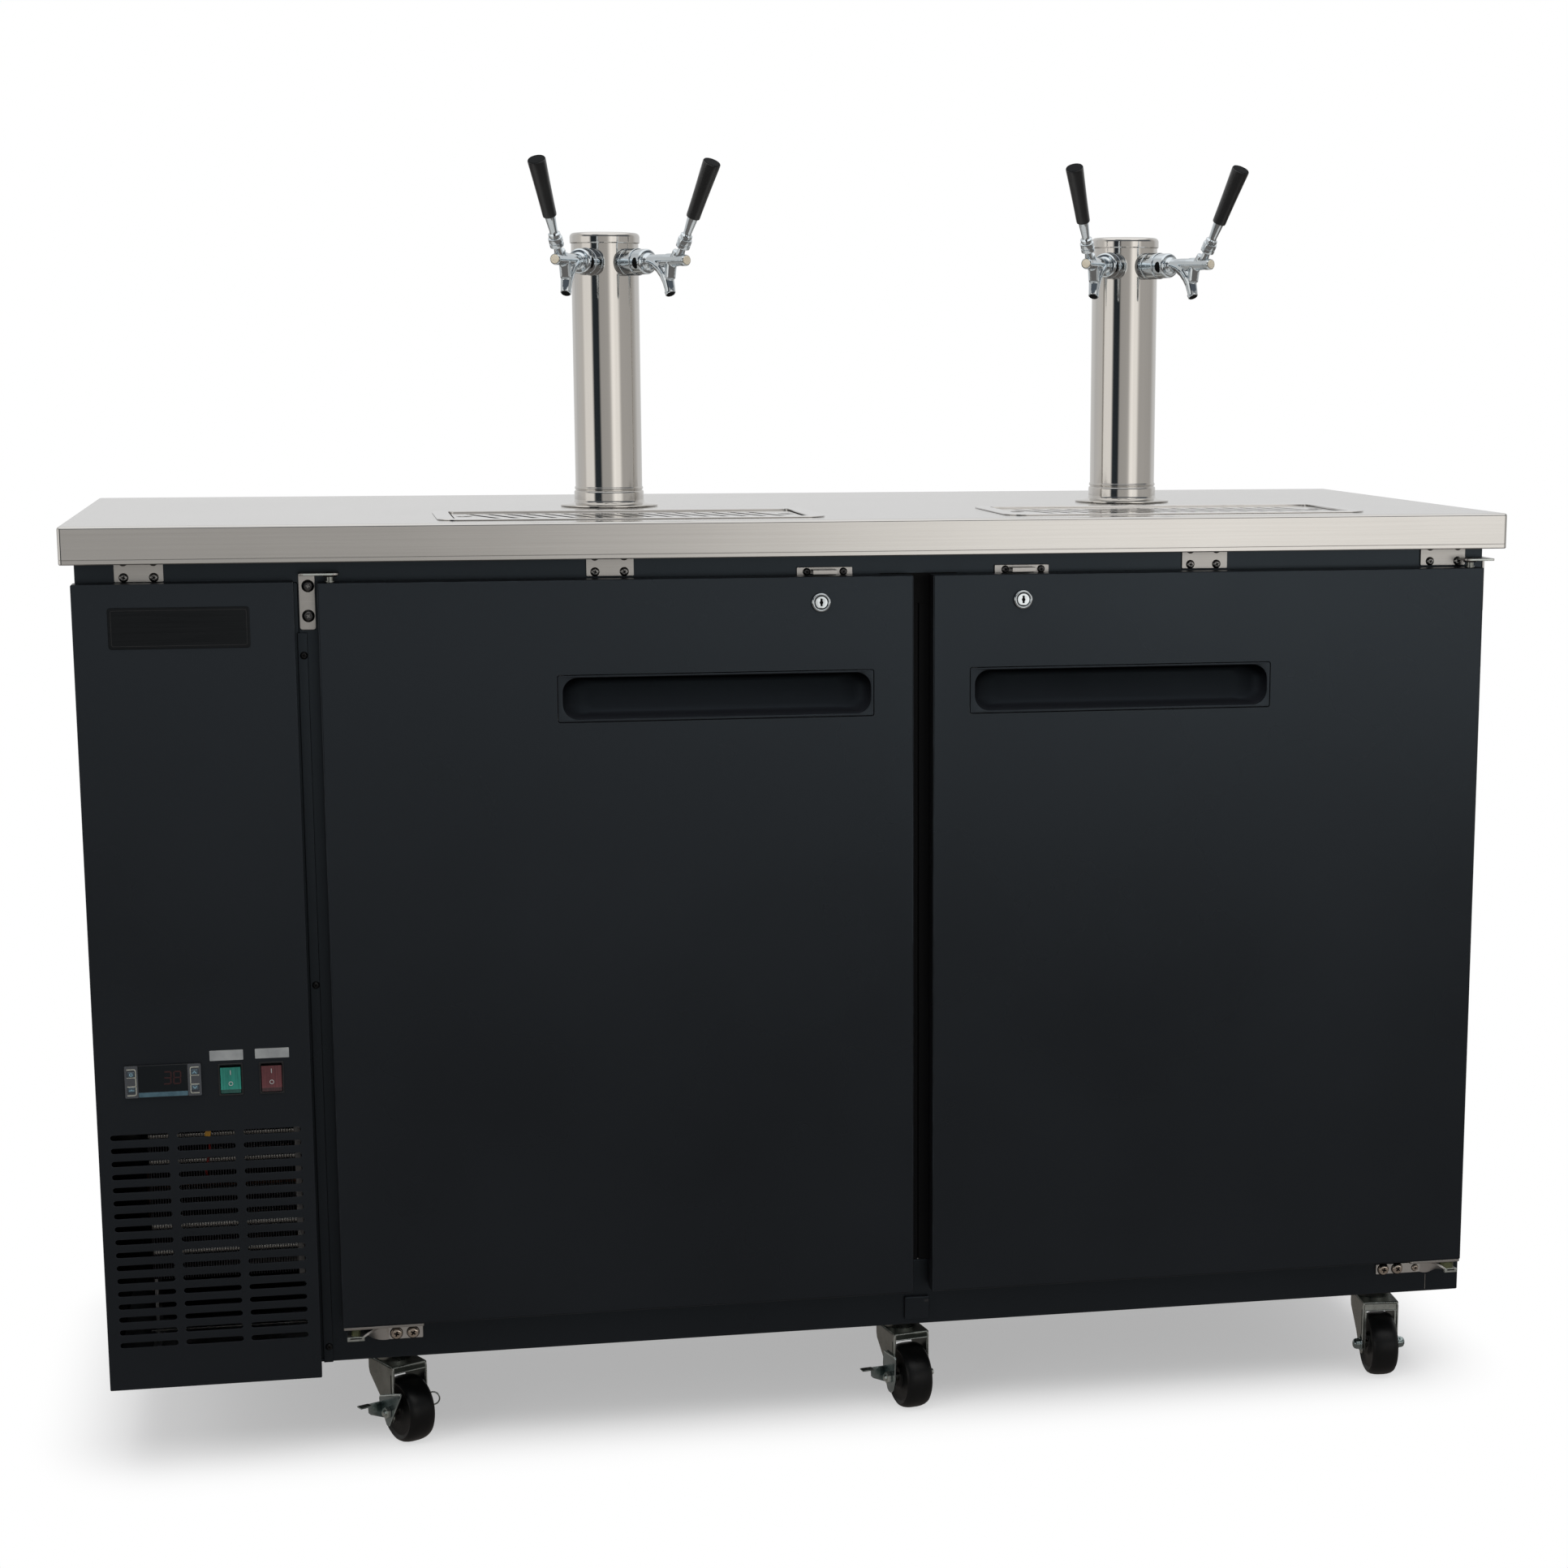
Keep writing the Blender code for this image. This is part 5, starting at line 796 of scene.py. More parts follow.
def melted(build, voxel, passes):
    """Overlapping closed forms run into one smooth casting."""
    piece = Piece("casting")
    build(piece)
    carrier = put_in_scene("casting", piece.finished_mesh())
    joined = carrier.modifiers.new("joined", "REMESH")
    joined.mode = "VOXEL"
    joined.voxel_size = voxel
    eased_over = carrier.modifiers.new("eased over", "SMOOTH")
    eased_over.iterations = passes
    return evaluated_mesh(carrier)


REPEAT = make_repeat_tree()
SLOTTED = make_slotted_tree()


def run_tree(name, data, tree, **values):
    """The mesh that a tree makes from this curve or mesh."""
    carrier = put_in_scene(name, data)
    modifier = carrier.modifiers.new("made", "NODES")
    modifier.node_group = tree
    named = {item.name: item.identifier for item in tree.interface.items_tree if item.in_out == "INPUT"}
    for name, value in values.items():
        modifier[named[name.replace("_", " ")]] = value
    return evaluated_mesh(carrier)


def slotted_sheet(outlines, thickness, finish, **values):
    """A flat sheet in X and Y with its slots, from the tree for slotted sheets."""
    curve = bpy.data.curves.new("outlines", "CURVE")
    curve.dimensions = "2D"
    curve.fill_mode = "NONE"
    for outline in outlines:
        spline = curve.splines.new("POLY")
        spline.points.add(len(outline) - 1)
        for point, place in zip(spline.points, outline):
            point.co = (*place, 0.0, 1.0)
        spline.use_cyclic_u = True
    return run_tree("outlines", curve, SLOTTED, Thickness=(0.0, 0.0, thickness), Finish=finish, **values)


def repeated(form, places, finish, size=1.0):
    """One mesh of a form set at each (point, turn in degrees about X, Y and Z)."""
    points = bpy.data.meshes.new("places")
    points.from_pydata([point for point, _ in places], [], [])
    turn = points.attributes.new("turn", "FLOAT_VECTOR", "POINT")
    turn.data.foreach_set("vector", [math.radians(angle) for _, angles in places for angle in angles])
    return run_tree("places", points, REPEAT, Form=form, Size=size, Finish=finish)


def make_form(name, build):
    """A small form that the tree for repeats sets out many times."""
    piece = Piece(name)
    build(piece)
    return bpy.data.objects.new(name, piece.finished_mesh())


def screw_form(piece):
    """A pan head with a crosshead recess, 1 m across its radius, to be scaled."""
    dome = [(0.40, 0.66), (0.24, 0.62), (0.10, 0.50), (0.02, 0.34), (0.0, 0.16), (0.0, 0.0)]
    recess = [(0.0, 0.66), (0.03, 0.30)]
    piece.plate([circle(1.0, 24), hole(cross(0.46, 0.28))], 0, 0, DARK_SCREW, profile=dome, holes=recess)


def hex_form(piece):
    """A hexagon nut or bolt head with eased corners, to be scaled."""
    piece.plate([circle(1.0, 6)], 0.0, 0.72, ZINC, edge=0.12)
    piece.turned([(0.52, 0.7), (0.52, 0.98), (0.42, 1.08), (0.0, 1.08)], ZINC, sides=16)


def cross_form(piece):
    """The dark lining of a screw's crosshead recess: painted shade, unless another finish is given."""
    piece.plate([cross(0.41, 0.24)], 0.40, 0.655, PAINTED_SHADE_BLACK, edge=0.01, steps=1)


def shadow_ring_form(piece):
    """The thin dark ring of painted shadow round a screw's head."""
    piece.turned([(0.90, 0.0), (1.13, 0.0), (1.13, 0.03), (0.90, 0.05)], PAINTED_SHADE_BLACK, sides=24)


SCREW = make_form("screw head", screw_form)
CROSS = make_form("screw recess", cross_form)
SCREW_SHADOW_RING = make_form("screw gap", shadow_ring_form)
HEX = make_form("hexagon nut", hex_form)


def add_screws(piece, places, y, size, finish=DARK_SCREW, lining=PAINTED_SHADE_BLACK):
    """Crosshead screws on a front face, at (x, z), each turned a little further than the last."""
    heads = [((x, y, z), (90.0, 14.0 + 23.0 * number, 0.0)) for number, (x, z) in enumerate(places)]
    for form, colour in ((SCREW, finish), (CROSS, lining), (SCREW_SHADOW_RING, PAINTED_SHADE_BLACK)):
        piece.add_mesh(repeated(form, heads, colour, size), colour)


# ---- Worktop, trays and towers -------------------------------------------------------------

def make_worktop():
    """The folded stainless sheet, with a small return along its lower edge."""
    fold, sheet, lip = 0.003, 0.0015, 0.007
    outer = [(fold - x, WORKTOP_TOP - fold + y) for x, y in arc(0, 0, fold, 90, 0, 5)]
    low = SKIRT_BOTTOM
    hem = [(0.0, low + 0.0054), (0.00016, low + 0.0051), (0.00016, low + 0.0047), (0.0, low + 0.0044)]
    course = outer + hem + [(0.0, low + 0.001), (0.001, low)]
    course += [(lip, low), (lip, low + sheet), (0.003, low + sheet)]
    course += [(sheet, low + 0.003), (sheet, WORKTOP_TOP - 0.003), (0.003, WORKTOP_TOP - sheet)]
    outlines = [rounded(0.7725, 0.310, 0.0045, 6)]
    for place, _ in TOWERS.values():
        outlines.append(hole(rounded(0.1905, 0.0770, 0.007, 4, (place, TRAY_Y))))
        outlines.append(hole(circle(0.028, 32, (place, TOWER_Y))))
    piece = Piece("worktop_sheet")
    straight = [(0.0, WORKTOP_TOP), (0.0, WORKTOP_TOP - sheet)]
    piece.plate(outlines, 0, 0, WORKTOP_STEEL, profile=course, holes=straight)
    piece.ride("cabinet", "worktop", slot="brushed_stainless")


HOLD_DOWNS = (
    (-0.7212, -0.6723, (-0.7117, -0.6817)),
    (-0.2407, -0.1907, (-0.2316, -0.2008)),
    (0.4104, 0.4618, (0.4198, 0.4495)),
    (0.6866, 0.7390, (0.6975, 0.7301)),
)


def make_hold_downs():
    """The four tabs that hold the worktop to the top rail, and their screws."""
    piece = Piece("worktop_hold_downs")
    front = -0.2708
    screws = []
    for low, high, places in HOLD_DOWNS:
        tab = [window(low, high, 0.9669, 1.0230, 0.0012, 2)]
        piece.front_plate(tab, front, PLATE_BACK, BRACKET_STEEL, edge=0.0003)
        screws += [(x, z) for x in places for z in (0.9716, 0.9882)]
    add_screws(piece, screws, front, 0.0043, PLATED_SCREW)
    piece.ride("cabinet", slot="brushed_stainless")


def make_trays():
    for side, (place, _) in TOWERS.items():
        tray = Piece(side + "_tray_well")
        course = mm(
            9, 1005, 7.2, 1005.5, 6, 1007, 6, 1022.3, 0, 1022.3, 0, 1026.6, -0.5, 1027.2, -1.2, 1027.3, -17,
            1027.3, -17.5, 1026.9, -17.5, 1026.3, -1.2, 1026.3, -1.2, 1021.3, 4.8, 1021.3, 4.8, 1005, 7, 1004,
        )
        outline = rounded(0.1885, 0.0750, 0.006, 4, (place, TRAY_Y))
        tray.plate([outline], 0, 0, PRESSED_STEEL, profile=course)
        tray.turned(mm(13, 1005.1, 11.5, 1006.2, 8, 1006.2, 7, 1005.2), CHROME, at(place, TRAY_Y), 32)
        tray.ride("cabinet", side + "_drip_tray", slot="brushed_stainless")
        grille = Piece(side + "_grille_plate")
        outline = rounded(0.1861, 0.0726, 0.004, 4)
        ends = [circle(0.009, 24, (x, 0.0)) for x in (-0.1745, 0.1745)]
        sheet = slotted_sheet(
            [outline, *ends], 0.0018, PRESSED_STEEL, Columns=16, Rows=1, Column_span=0.306, Row_span=0.0,
            Slot_length=0.0935, Slot_width=0.0080, Slot_turn=(0.0, 0.0, math.radians(108.4)),
            Centre=(0.0, 0.0, 0.0),
        )
        grille.add_mesh(sheet, PRESSED_STEEL, at(place, TRAY_Y, 1.0235), 0.0004)
        rim = [
            rounded(0.1861, 0.0726, 0.004, 4, (place, TRAY_Y)),
            hole(rounded(0.1846, 0.0711, 0.003, 4, (place, TRAY_Y))),
        ]
        grille.plate(rim, 1.0223, 1.0236, PRESSED_STEEL, edge=0.0002)
        grille.ride(side + "_grille", side + "_drip_grille", slot="brushed_stainless")


def make_tower(side):
    place, turn = TOWERS[side]
    tower = Piece(side + "_tower_column")
    at_tower = at(place, TOWER_Y)
    base = mm(
        0, 1026.3, 55.2, 1026.3, 55.7, 1026.8, 55.6, 1027.6, 54.8, 1028.2, 48, 1029.1, 42, 1030, 40.4, 1030.8,
        39.8, 1032.2, 39.6, 1033.6, 39.6, 1041.2, 39.4, 1042.8, 38.7, 1043.6, 38, 1044, 38, 1044.8, 38.8,
        1045.4, 39, 1046.6, 38.6, 1047.8, 38, 1048.6, 38, 1120, 38, 1200, 38, 1319.2, 37.8, 1319.4, 37.8,
        1319.7, 38.8, 1319.9, 39.4, 1320.6, 39.4, 1326.8,
    )
    base += [(r + 0.0346, z + 1.3268) for r, z in arc(0, 0, 0.0048, 0, 80, 6)]
    base += mm(30, 1331.9, 16, 1332, 0, 1332)
    tower.turned(base, COLUMN_STEEL, at_tower, 128)
    tower.ride("cabinet", side + "_tower", slot="polished_stainless")
    for direction, word in ((-1, "left"), (1, "right")):
        shank = at(place, TOWER_Y, TAP_Z) @ spun("Z", turn + direction * TAP_SPLAY)
        make_faucet(side + "_tower_" + word, shank, direction)
        make_lever(side + "_tower_" + word, shank)


def faucet_casting(piece):
    """The faucet's body, spout and tail as overlapping forms, to be melted into one."""
    barrel = mm(
        0, 79.5, 10, 79.6, 9.6, 82, 7.8, 85, 7.4, 92, 7.6, 100, 7.4, 112, 6.8, 122, 6.3, 130, 6, 134.5, 5.9,
        142, 0, 142.5,
    )
    piece.turned(barrel, CHROME, FACING_FRONT, 48)
    spout = mm3(
        0, -88, 0, 0, -97.5, -2.2, 0, -106, -7.5, 0, -112.2, -14.8, 0, -116, -22.5, 0, -118.3, -30, 0, -119.1,
        -34.5,
    )
    piece.rod(spout, [0.0074, 0.0080, 0.0082, 0.0076, 0.0067, 0.0060, 0.0058], CHROME, sides=32)
    piece.rod([(0.0, -0.1215, 0.0), (0.0, -0.1190, -0.0190)], [0.0066, 0.0060], CHROME, sides=32)
    piece.rod([(0.0, -0.1275, 0.0010), (0.0, -0.1335, 0.0100)], [0.0058, 0.0056], CHROME, sides=24)
    piece.block((-0.0018, -0.1290, 0.0020), (0.0018, -0.1130, 0.0080), CHROME, 0.0007)


def curved_patch(piece, radius, reach, half_wide, half_turn, turned_to, finish, place):
    """A dark oval of painted shade on a round wall, standing for an opening in it."""
    rings = []
    for step in range(-6, 7):
        angle = math.radians(turned_to + half_turn * step / 6)
        wide = half_wide * math.sqrt(max(1.0 - (step / 6.3) ** 2, 0.0))
        out, under = radius + 0.00012, radius - 0.0010
        rings.append([
            (math.cos(angle) * far, -reach + side * wide, math.sin(angle) * far)
            for far, side in ((out, -1), (out, 1), (under, 1), (under, -1))
        ])
    piece.loft(rings, finish, place)


def make_faucet(name, shank, side):
    """A chrome faucet along the shank, with its collar, coupling, spanner nut and curved spout."""
    along = shank @ FACING_FRONT
    piece = Piece(name + "_faucet_body")
    collar = mm(
        0, 30, 11.6, 30, 11.6, 38, 14.6, 38.2, 15.2, 39, 15.2, 45.2, 14.9, 45.8, 14.2, 46, 14.2, 46.5, 14.7,
        46.7, 15, 47.4, 15, 62, 14.6, 63, 13.6, 63.3, 13.6, 63.8, 14, 64.2, 14.1, 65, 13.8, 77.6, 13.1, 79.2,
        11.6, 80.1, 0, 80.6,
    )
    piece.turned(collar, CHROME, along, 64)
    piece.add_mesh(melted(faucet_casting, 0.00062, 9), CHROME, shank)
    tail = mm(0, 140.5, 5.8, 140.5, 6.2, 141.5, 6.2, 147, 5.8, 148.5, 5.3, 149)
    piece.turned([*tail, (0.0051, 0.1484), (0.0, 0.1484)], CHROME, along, 40)
    piece.turned(mm(0, 148, 4.8, 148, 4.9, 149.2, 4.4, 149.8, 0, 150), IVORY, along, 32)
    curved_patch(piece, 0.0139, 0.0725, 0.0042, 26.0, 188.0 if side > 0 else -8.0, PAINTED_SHADE_BLACK, shank)
    tip = shank @ at(0.0, -0.1193, -0.0352) @ spun("X", -31)
    piece.turned(mm(0, -1, 5.2, -1, 5.9, -0.4, 5.9, 3, 0, 3), CHROME, tip, 32)
    # A dark disc of painted shade stands for the open tip.
    piece.turned(mm(0, -1.2, 5, -1.2, 5, 0, 0, 0), PAINTED_SHADE_BLACK, tip, 32)
    # A thin dark arc of painted shade for the vent.
    turns = [math.pi * step / 8 for step in range(9)]
    vent = [
        (0.0044 * math.cos(turn), -0.1226 + 0.0024 * math.cos(turn) ** 2, 0.0052 * math.sin(turn) - 0.0130)
        for turn in turns
    ]
    piece.rod(vent, 0.0008, PAINTED_SHADE_BLACK, shank, 8)
    piece.ride("cabinet", name + "_faucet", slot="chrome")


def make_lever(name, shank):
    """The lever with its collar and ferrule, and the black handle on it."""
    lean = shank @ at(0.0, -0.1365, 0.0052) @ spun("X", 31)
    lever = Piece(name + "_lever_stem")
    stem = mm(
        0, -4.6, 3.4, -4, 4.8, -1.2, 5, 2.4, 4.4, 5.8, 4.2, 9.2, 6.6, 9.8, 7.7, 10.6, 7.9, 11.8, 7.9, 14.8,
        7.1, 15.2, 7.1, 15.7, 7.8, 16.1, 7.9, 19.8, 7.5, 20.9, 6, 21.6, 5.9, 22.2, 6.7, 22.9, 6.6, 25.4, 4.7,
        26.6, 4.5, 29, 5.6, 42.5, 5.8, 46.6, 0, 46.6,
    )
    lever.turned(stem, CHROME, lean, 40)
    lever.ride(name + "_tap", name + "_lever", slot="chrome")
    handle = Piece(name + "_lever_handle")
    grip = mm(
        0, 46.8, 6.4, 46.8, 7.4, 47.2, 7.7, 48.4, 7.9, 58, 8.3, 72, 8.9, 88, 9.5, 102, 9.8, 108.5, 9.9, 111.8,
        9.8, 113, 9.4, 113.4,
    )
    handle.turned([*grip, (0.0, 0.1134)], HANDLE_BLACK, lean, 48)
    handle.turned(mm(0, 113.2, 9.5, 113.2, 9.2, 113.9, 0, 113.9), HANDLE_END, lean, 48)
    handle.ride(name + "_tap", name + "_handle", slot="handle_black")


# ---- Doors ---------------------------------------------------------------------------------

PULL_FRAMES = {"left": (-0.2750, 0.0618), "right": (0.1680, 0.5056)}
PULL_LOW, PULL_HIGH = 0.8160, 0.8652


def pull_ring(side, inset_x, inset_z, corner, depth):
    """One level of the pull's cup: its outline drawn in by the insets, and its Y as -depth."""
    low, high = RECESSES[side]
    outline = window(low + inset_x, high - inset_x, RECESS_LOW + inset_z, RECESS_HIGH - inset_z, corner, 8)
    return [(x, z, depth) for x, z in outline]


def make_door(side):
    low_x, high_x = DOORS[side]
    body = side + "_door_leaf"
    frame_low, frame_high = PULL_FRAMES[side]
    pan = Piece(side + "_door_panel")
    course = soft_edges(-DOOR_BACK, -DOOR_FRONT, 0.0016, 3)
    gap = 0.0006
    opening = window(frame_low - gap, frame_high + gap, PULL_LOW - gap, PULL_HIGH + gap, 0.0026, 3)
    lock = circle(0.0084, 32, (LOCKS[side], LOCK_Z))
    pan.front_plate(
        [window(low_x, high_x, DOOR_BOTTOM, DOOR_TOP, 0.0010, 2), hole(opening), hole(lock)], DOOR_FRONT,
        DOOR_BACK, BLACK_PAINT, profile=course, holes=soft_edges(-DOOR_BACK, -DOOR_FRONT, 0.0004, 2),
    )
    inset = 0.037
    inner = window(low_x + inset, high_x - inset, DOOR_BOTTOM + inset, DOOR_TOP - inset, 0.010, 5)
    bulge = mm(10, 250.4, 6, 250.6, 2.8, 251.8, 0.8, 254, 0, 257.5, 0, 269.2)
    pan.front_plate([inner], 0, 0, LINER, profile=bulge)
    pan.front_plate([inner, hole(opening)], DOOR_BACK, -0.2690, LINER, edge=0.0001)
    pan.ride(body, side + "_door", slot="black_paint")

    pull = Piece(side + "_door_pull")
    rings = [pull_ring(side, -0.0014, -0.0014, 0.0174, depth) for depth in (0.2697, 0.2946)]
    for inset_x, inset_z, corner, depth in (
        (0.0000, 0.0000, 0.0160, 0.2946), (0.0006, 0.0003, 0.0158, 0.2900), (0.0022, 0.0008, 0.0152, 0.2850),
        (0.0052, 0.0014, 0.0146, 0.2800), (0.0098, 0.0022, 0.0138, 0.2757), (0.0158, 0.0036, 0.0124, 0.2726),
        (0.0230, 0.0062, 0.0104, 0.2708), (0.0300, 0.0095, 0.0080, 0.2704),
    ):
        rings.append(pull_ring(side, inset_x, inset_z, corner, depth))
    # The cup takes the pull's black with painted shade, darkening towards its top.
    pull.loft(rings, PULL_BLACK_PAINTED_SHADE, FACING_FRONT)
    face = window(frame_low, frame_high, PULL_LOW, PULL_HIGH, 0.0020, 3)
    mouth = [(x, z) for x, z, _ in pull_ring(side, 0.0, 0.0, 0.0160, 0.0)]
    pull.front_plate([face, hole(mouth)], DOOR_FRONT + 0.0002, DOOR_FRONT + 0.0022, BLACK_PAINT, edge=0.0006)
    pull.ride(body, slot="black_paint")

    seal = Piece(side + "_door_seal")
    for inset, wide, front, back, edge in (
        (0.0162, 0.0115, 0.2718, 0.2741, 0.0008), (0.0185, 0.0070, 0.2686, 0.2721, 0.0014),
    ):
        outer = window(low_x + inset, high_x - inset, DOOR_BOTTOM + inset, DOOR_TOP - inset, 0.003, 3)
        within = inset + wide
        inner = window(low_x + within, high_x - within, DOOR_BOTTOM + within, DOOR_TOP - within, 0.002, 3)
        seal.plate([outer, hole(inner)], front, back, SEAL, FACING_FRONT, edge)
    seal.ride(body, side + "_door_gasket", slot="soft_black")

    foot = Piece(side + "_door_foot_plate")
    ends = (low_x + 0.0005, low_x + 0.0861) if side == "left" else (high_x - 0.0608, high_x - 0.0005)
    outline = window(*ends, DOOR_FRONT + 0.0006, DOOR_BACK - 0.0006, 0.0020, 3)
    foot.plate(
        [outline, hole(circle(0.0046, 20, (PINS[side], PIN_Y)))], 0.1641, 0.1669, BRACKET_STEEL, edge=0.0004,
    )
    foot.ride(body, slot="zinc_plate")


def make_lock(side):
    """A cam lock: collar, turning plug with its key slot, barrel and cam."""
    place = at(LOCKS[side], 0.0, LOCK_Z) @ FACING_FRONT
    front = -DOOR_FRONT
    lock = Piece(side + "_lock_barrel")
    collar = [(0.0, 0.2844), (0.0080, 0.2844)]
    for radius, out in mm(
        8, 0.3, 10.5, 0.3, 10.5, 2.6, 10.1, 3.8, 9.2, 4.4, 8.4, 4.5, 7.8, 4.2, 7.4, 3.4, 7, 3, 0, 3,
    ):
        collar.append((radius, front + out))
    lock.turned(collar, CHROME, place, 48)
    slot = [window(-0.0010, 0.0010, -0.0038, 0.0040, 0.0004, 2)]
    lock.plate([circle(0.0066, 32), hole(slot[0])], front + 0.0029, front + 0.0036, CHROME, place, 0.0003)
    lock.plate(slot, front + 0.0030, front + 0.0032, DARK_SCREW, place, 0.00005)
    # The small hole in the plug and the gap round it are painted shade.
    lock.plate([circle(0.0020, 20)], front + 0.0035, front + 0.0037, PAINTED_SHADE_BLACK, place, 0.00005)
    gap = [(radius, front + out) for radius, out in mm(6.4, 3, 7, 3, 7, 3.2, 6.4, 3.2)]
    lock.turned(gap, PAINTED_SHADE_BLACK, place, 40)
    toward = -1 if side == "left" else 1
    ends = sorted((0.0, toward * 0.0245))
    lock.plate([window(ends[0], ends[1], -0.005, 0.005, 0.0015, 3)], 0.2820, 0.2844, ZINC, place, 0.0004)
    lock.ride(side + "_lock", side + "_door_lock", slot="chrome")


# ---- Cabinet case --------------------------------------------------------------------------

def make_case():
    """The case in painted sheet: side walls, back, rails, roof and floor, folded round the two spaces."""
    case = Piece("cabinet_shell")
    roof = 1.0015
    outline = window(-CASE_HALF, CASE_HALF, CASE_BOTTOM, roof, 0.0015, 3)
    keg = window(KEG_LOW.x, KEG_HIGH.x, KEG_LOW.z, KEG_HIGH.z, 0.004, 3)
    bay = window(BAY_LOW.x, BAY_HIGH.x, BAY_LOW.z, BAY_HIGH.z, 0.002, 3)
    case.front_plate([outline, hole(keg), hole(bay)], CASE_FRONT, 0.2520, BLACK_PAINT, edge=0.0012)
    case.front_plate([outline, hole(bay)], 0.2519, 0.2990, BLACK_PAINT, edge=0.0002)
    # A dark strip inside the bay, set there as shade in the gap beside the cover, where light would come
    # through.
    strip = window(COVER_HIGH_X - 0.0015, BAY_HIGH.x + 0.0002, BAY_LOW.z, BAY_HIGH.z, 0.0004, 1)
    case.front_plate([strip], -0.2662, -0.2650, BLACK_PAINT, edge=0.0002)
    vents = []
    for row in range(4):
        low = 0.2447 + 0.045 * row
        vents.append(hole(window(-0.7225, -0.5740, low, low + 0.0160, 0.0079, 6)))
    case.front_plate([outline, *vents], 0.2990, CASE_BACK, BLACK_PAINT, edge=0.0006)
    case.plate(
        [rounded(CASE_HALF - 0.004, 0.281, 0.004, 3, (0.0, 0.0168))], roof - 0.0002, 1.0035, BLACK_PAINT,
    )
    case.ride("cabinet", "cabinet_case", slot="black_paint")


def make_liner():
    """The bright liner of the keg space, folded from one sheet."""
    liner = Piece("keg_space_liner")
    low, high = KEG_LOW + Vector((0.0003, 0, 0.0003)), KEG_HIGH - Vector((0.0003, 0.0003, 0.0003))
    outline = window(low.x, high.x, low.z, high.z, 0.004, 4)
    wall = mm(6, -250.5, 2, -249.5, 1.2, -246.5, 1.2, 267, 0, 267, 0, -251.7)
    liner.front_plate([outline], 0, 0, LINER, profile=wall)
    liner.ride("cabinet", "cabinet_liner", slot="liner_aluminium")


def make_mullion():
    """The post between the doors, in two folded halves that meet in a seam."""
    post = Piece("door_post")
    # The post's dark colour is partly painted shade for the gap between the doors.
    for low, high in ((0.0762, 0.1162), (0.1166, 0.1568)):
        post.block((low, CASE_FRONT, 0.1974), (high, -0.2223, 0.9353), BREAKER_AND_PAINTED_SHADE, 0.0010)
    post.block((0.0740, CASE_FRONT - 0.0005, 0.9336), (0.1590, CASE_FRONT + 0.0006, 0.9662), BREAKER_AND_PAINTED_SHADE, 0.0003)
    post.ride("cabinet", "door_mullion", slot="black_paint")


KEEPERS = (
    (-0.0167, 0.0435, (-0.0039, 0.0268), (-0.0060, 0.0336)),
    (0.1998, 0.2600, (0.2137, 0.2444), (0.2115, 0.2513)),
)


def make_front_details():
    """The lock keepers, the cover's stile, the foot block, and the rail's screws and joint."""
    piece = Piece("lock_keepers")
    screws = []
    for low, high, bar, places in KEEPERS:
        slot = window(bar[0] + 0.0010, bar[1] - 0.0010, 0.9650, 0.9664, 0.0004, 1)
        plate = [window(low, high, 0.9643, 0.9738, 0.0012, 2), hole(slot)]
        piece.front_plate(plate, PLATE_FRONT, PLATE_BACK, BRACKET_STEEL)
        low_x, high_x = bar[0] + 0.0022, bar[1] - 0.0022
        piece.block((low_x, -0.2868, 0.9702), (high_x, -0.2700, 0.9716), BRACKET_STEEL, 0.0003)
        piece.block((low_x, -0.2875, 0.9669), (high_x, -0.2860, 0.9716), BRACKET_STEEL, 0.0004)
        screws += [(x, 0.9688) for x in places]
    add_screws(piece, screws, PLATE_FRONT, 0.0038)
    piece.ride("cabinet", slot="brushed_stainless")

    trim = Piece("case_front_trim")
    trim.block((0.1003, -0.2735, 0.1290), (0.1283, -0.2685, 0.1550), BLACK_PAINT, 0.0012)
    trim.block((0.1226, -0.2737, 0.1485), (0.1276, -0.2730, 0.1515), SEAL, 0.0003)
    trim.block((-0.5405, -0.2715, 0.1217), (-0.5303, -0.2684, 0.9125), BLACK_PAINT, 0.0008)
    trim.block((0.7200, -0.2687, 0.1240), (0.7206, -0.2682, 0.1425), BRACKET_STEEL, 0.0001)
    add_screws(trim, mm(-534.4, 889, -534.4, 539.6, -534.4, 139.5), -0.2715, 0.0036, TYRE)
    trim.ride("cabinet", slot="black_paint")


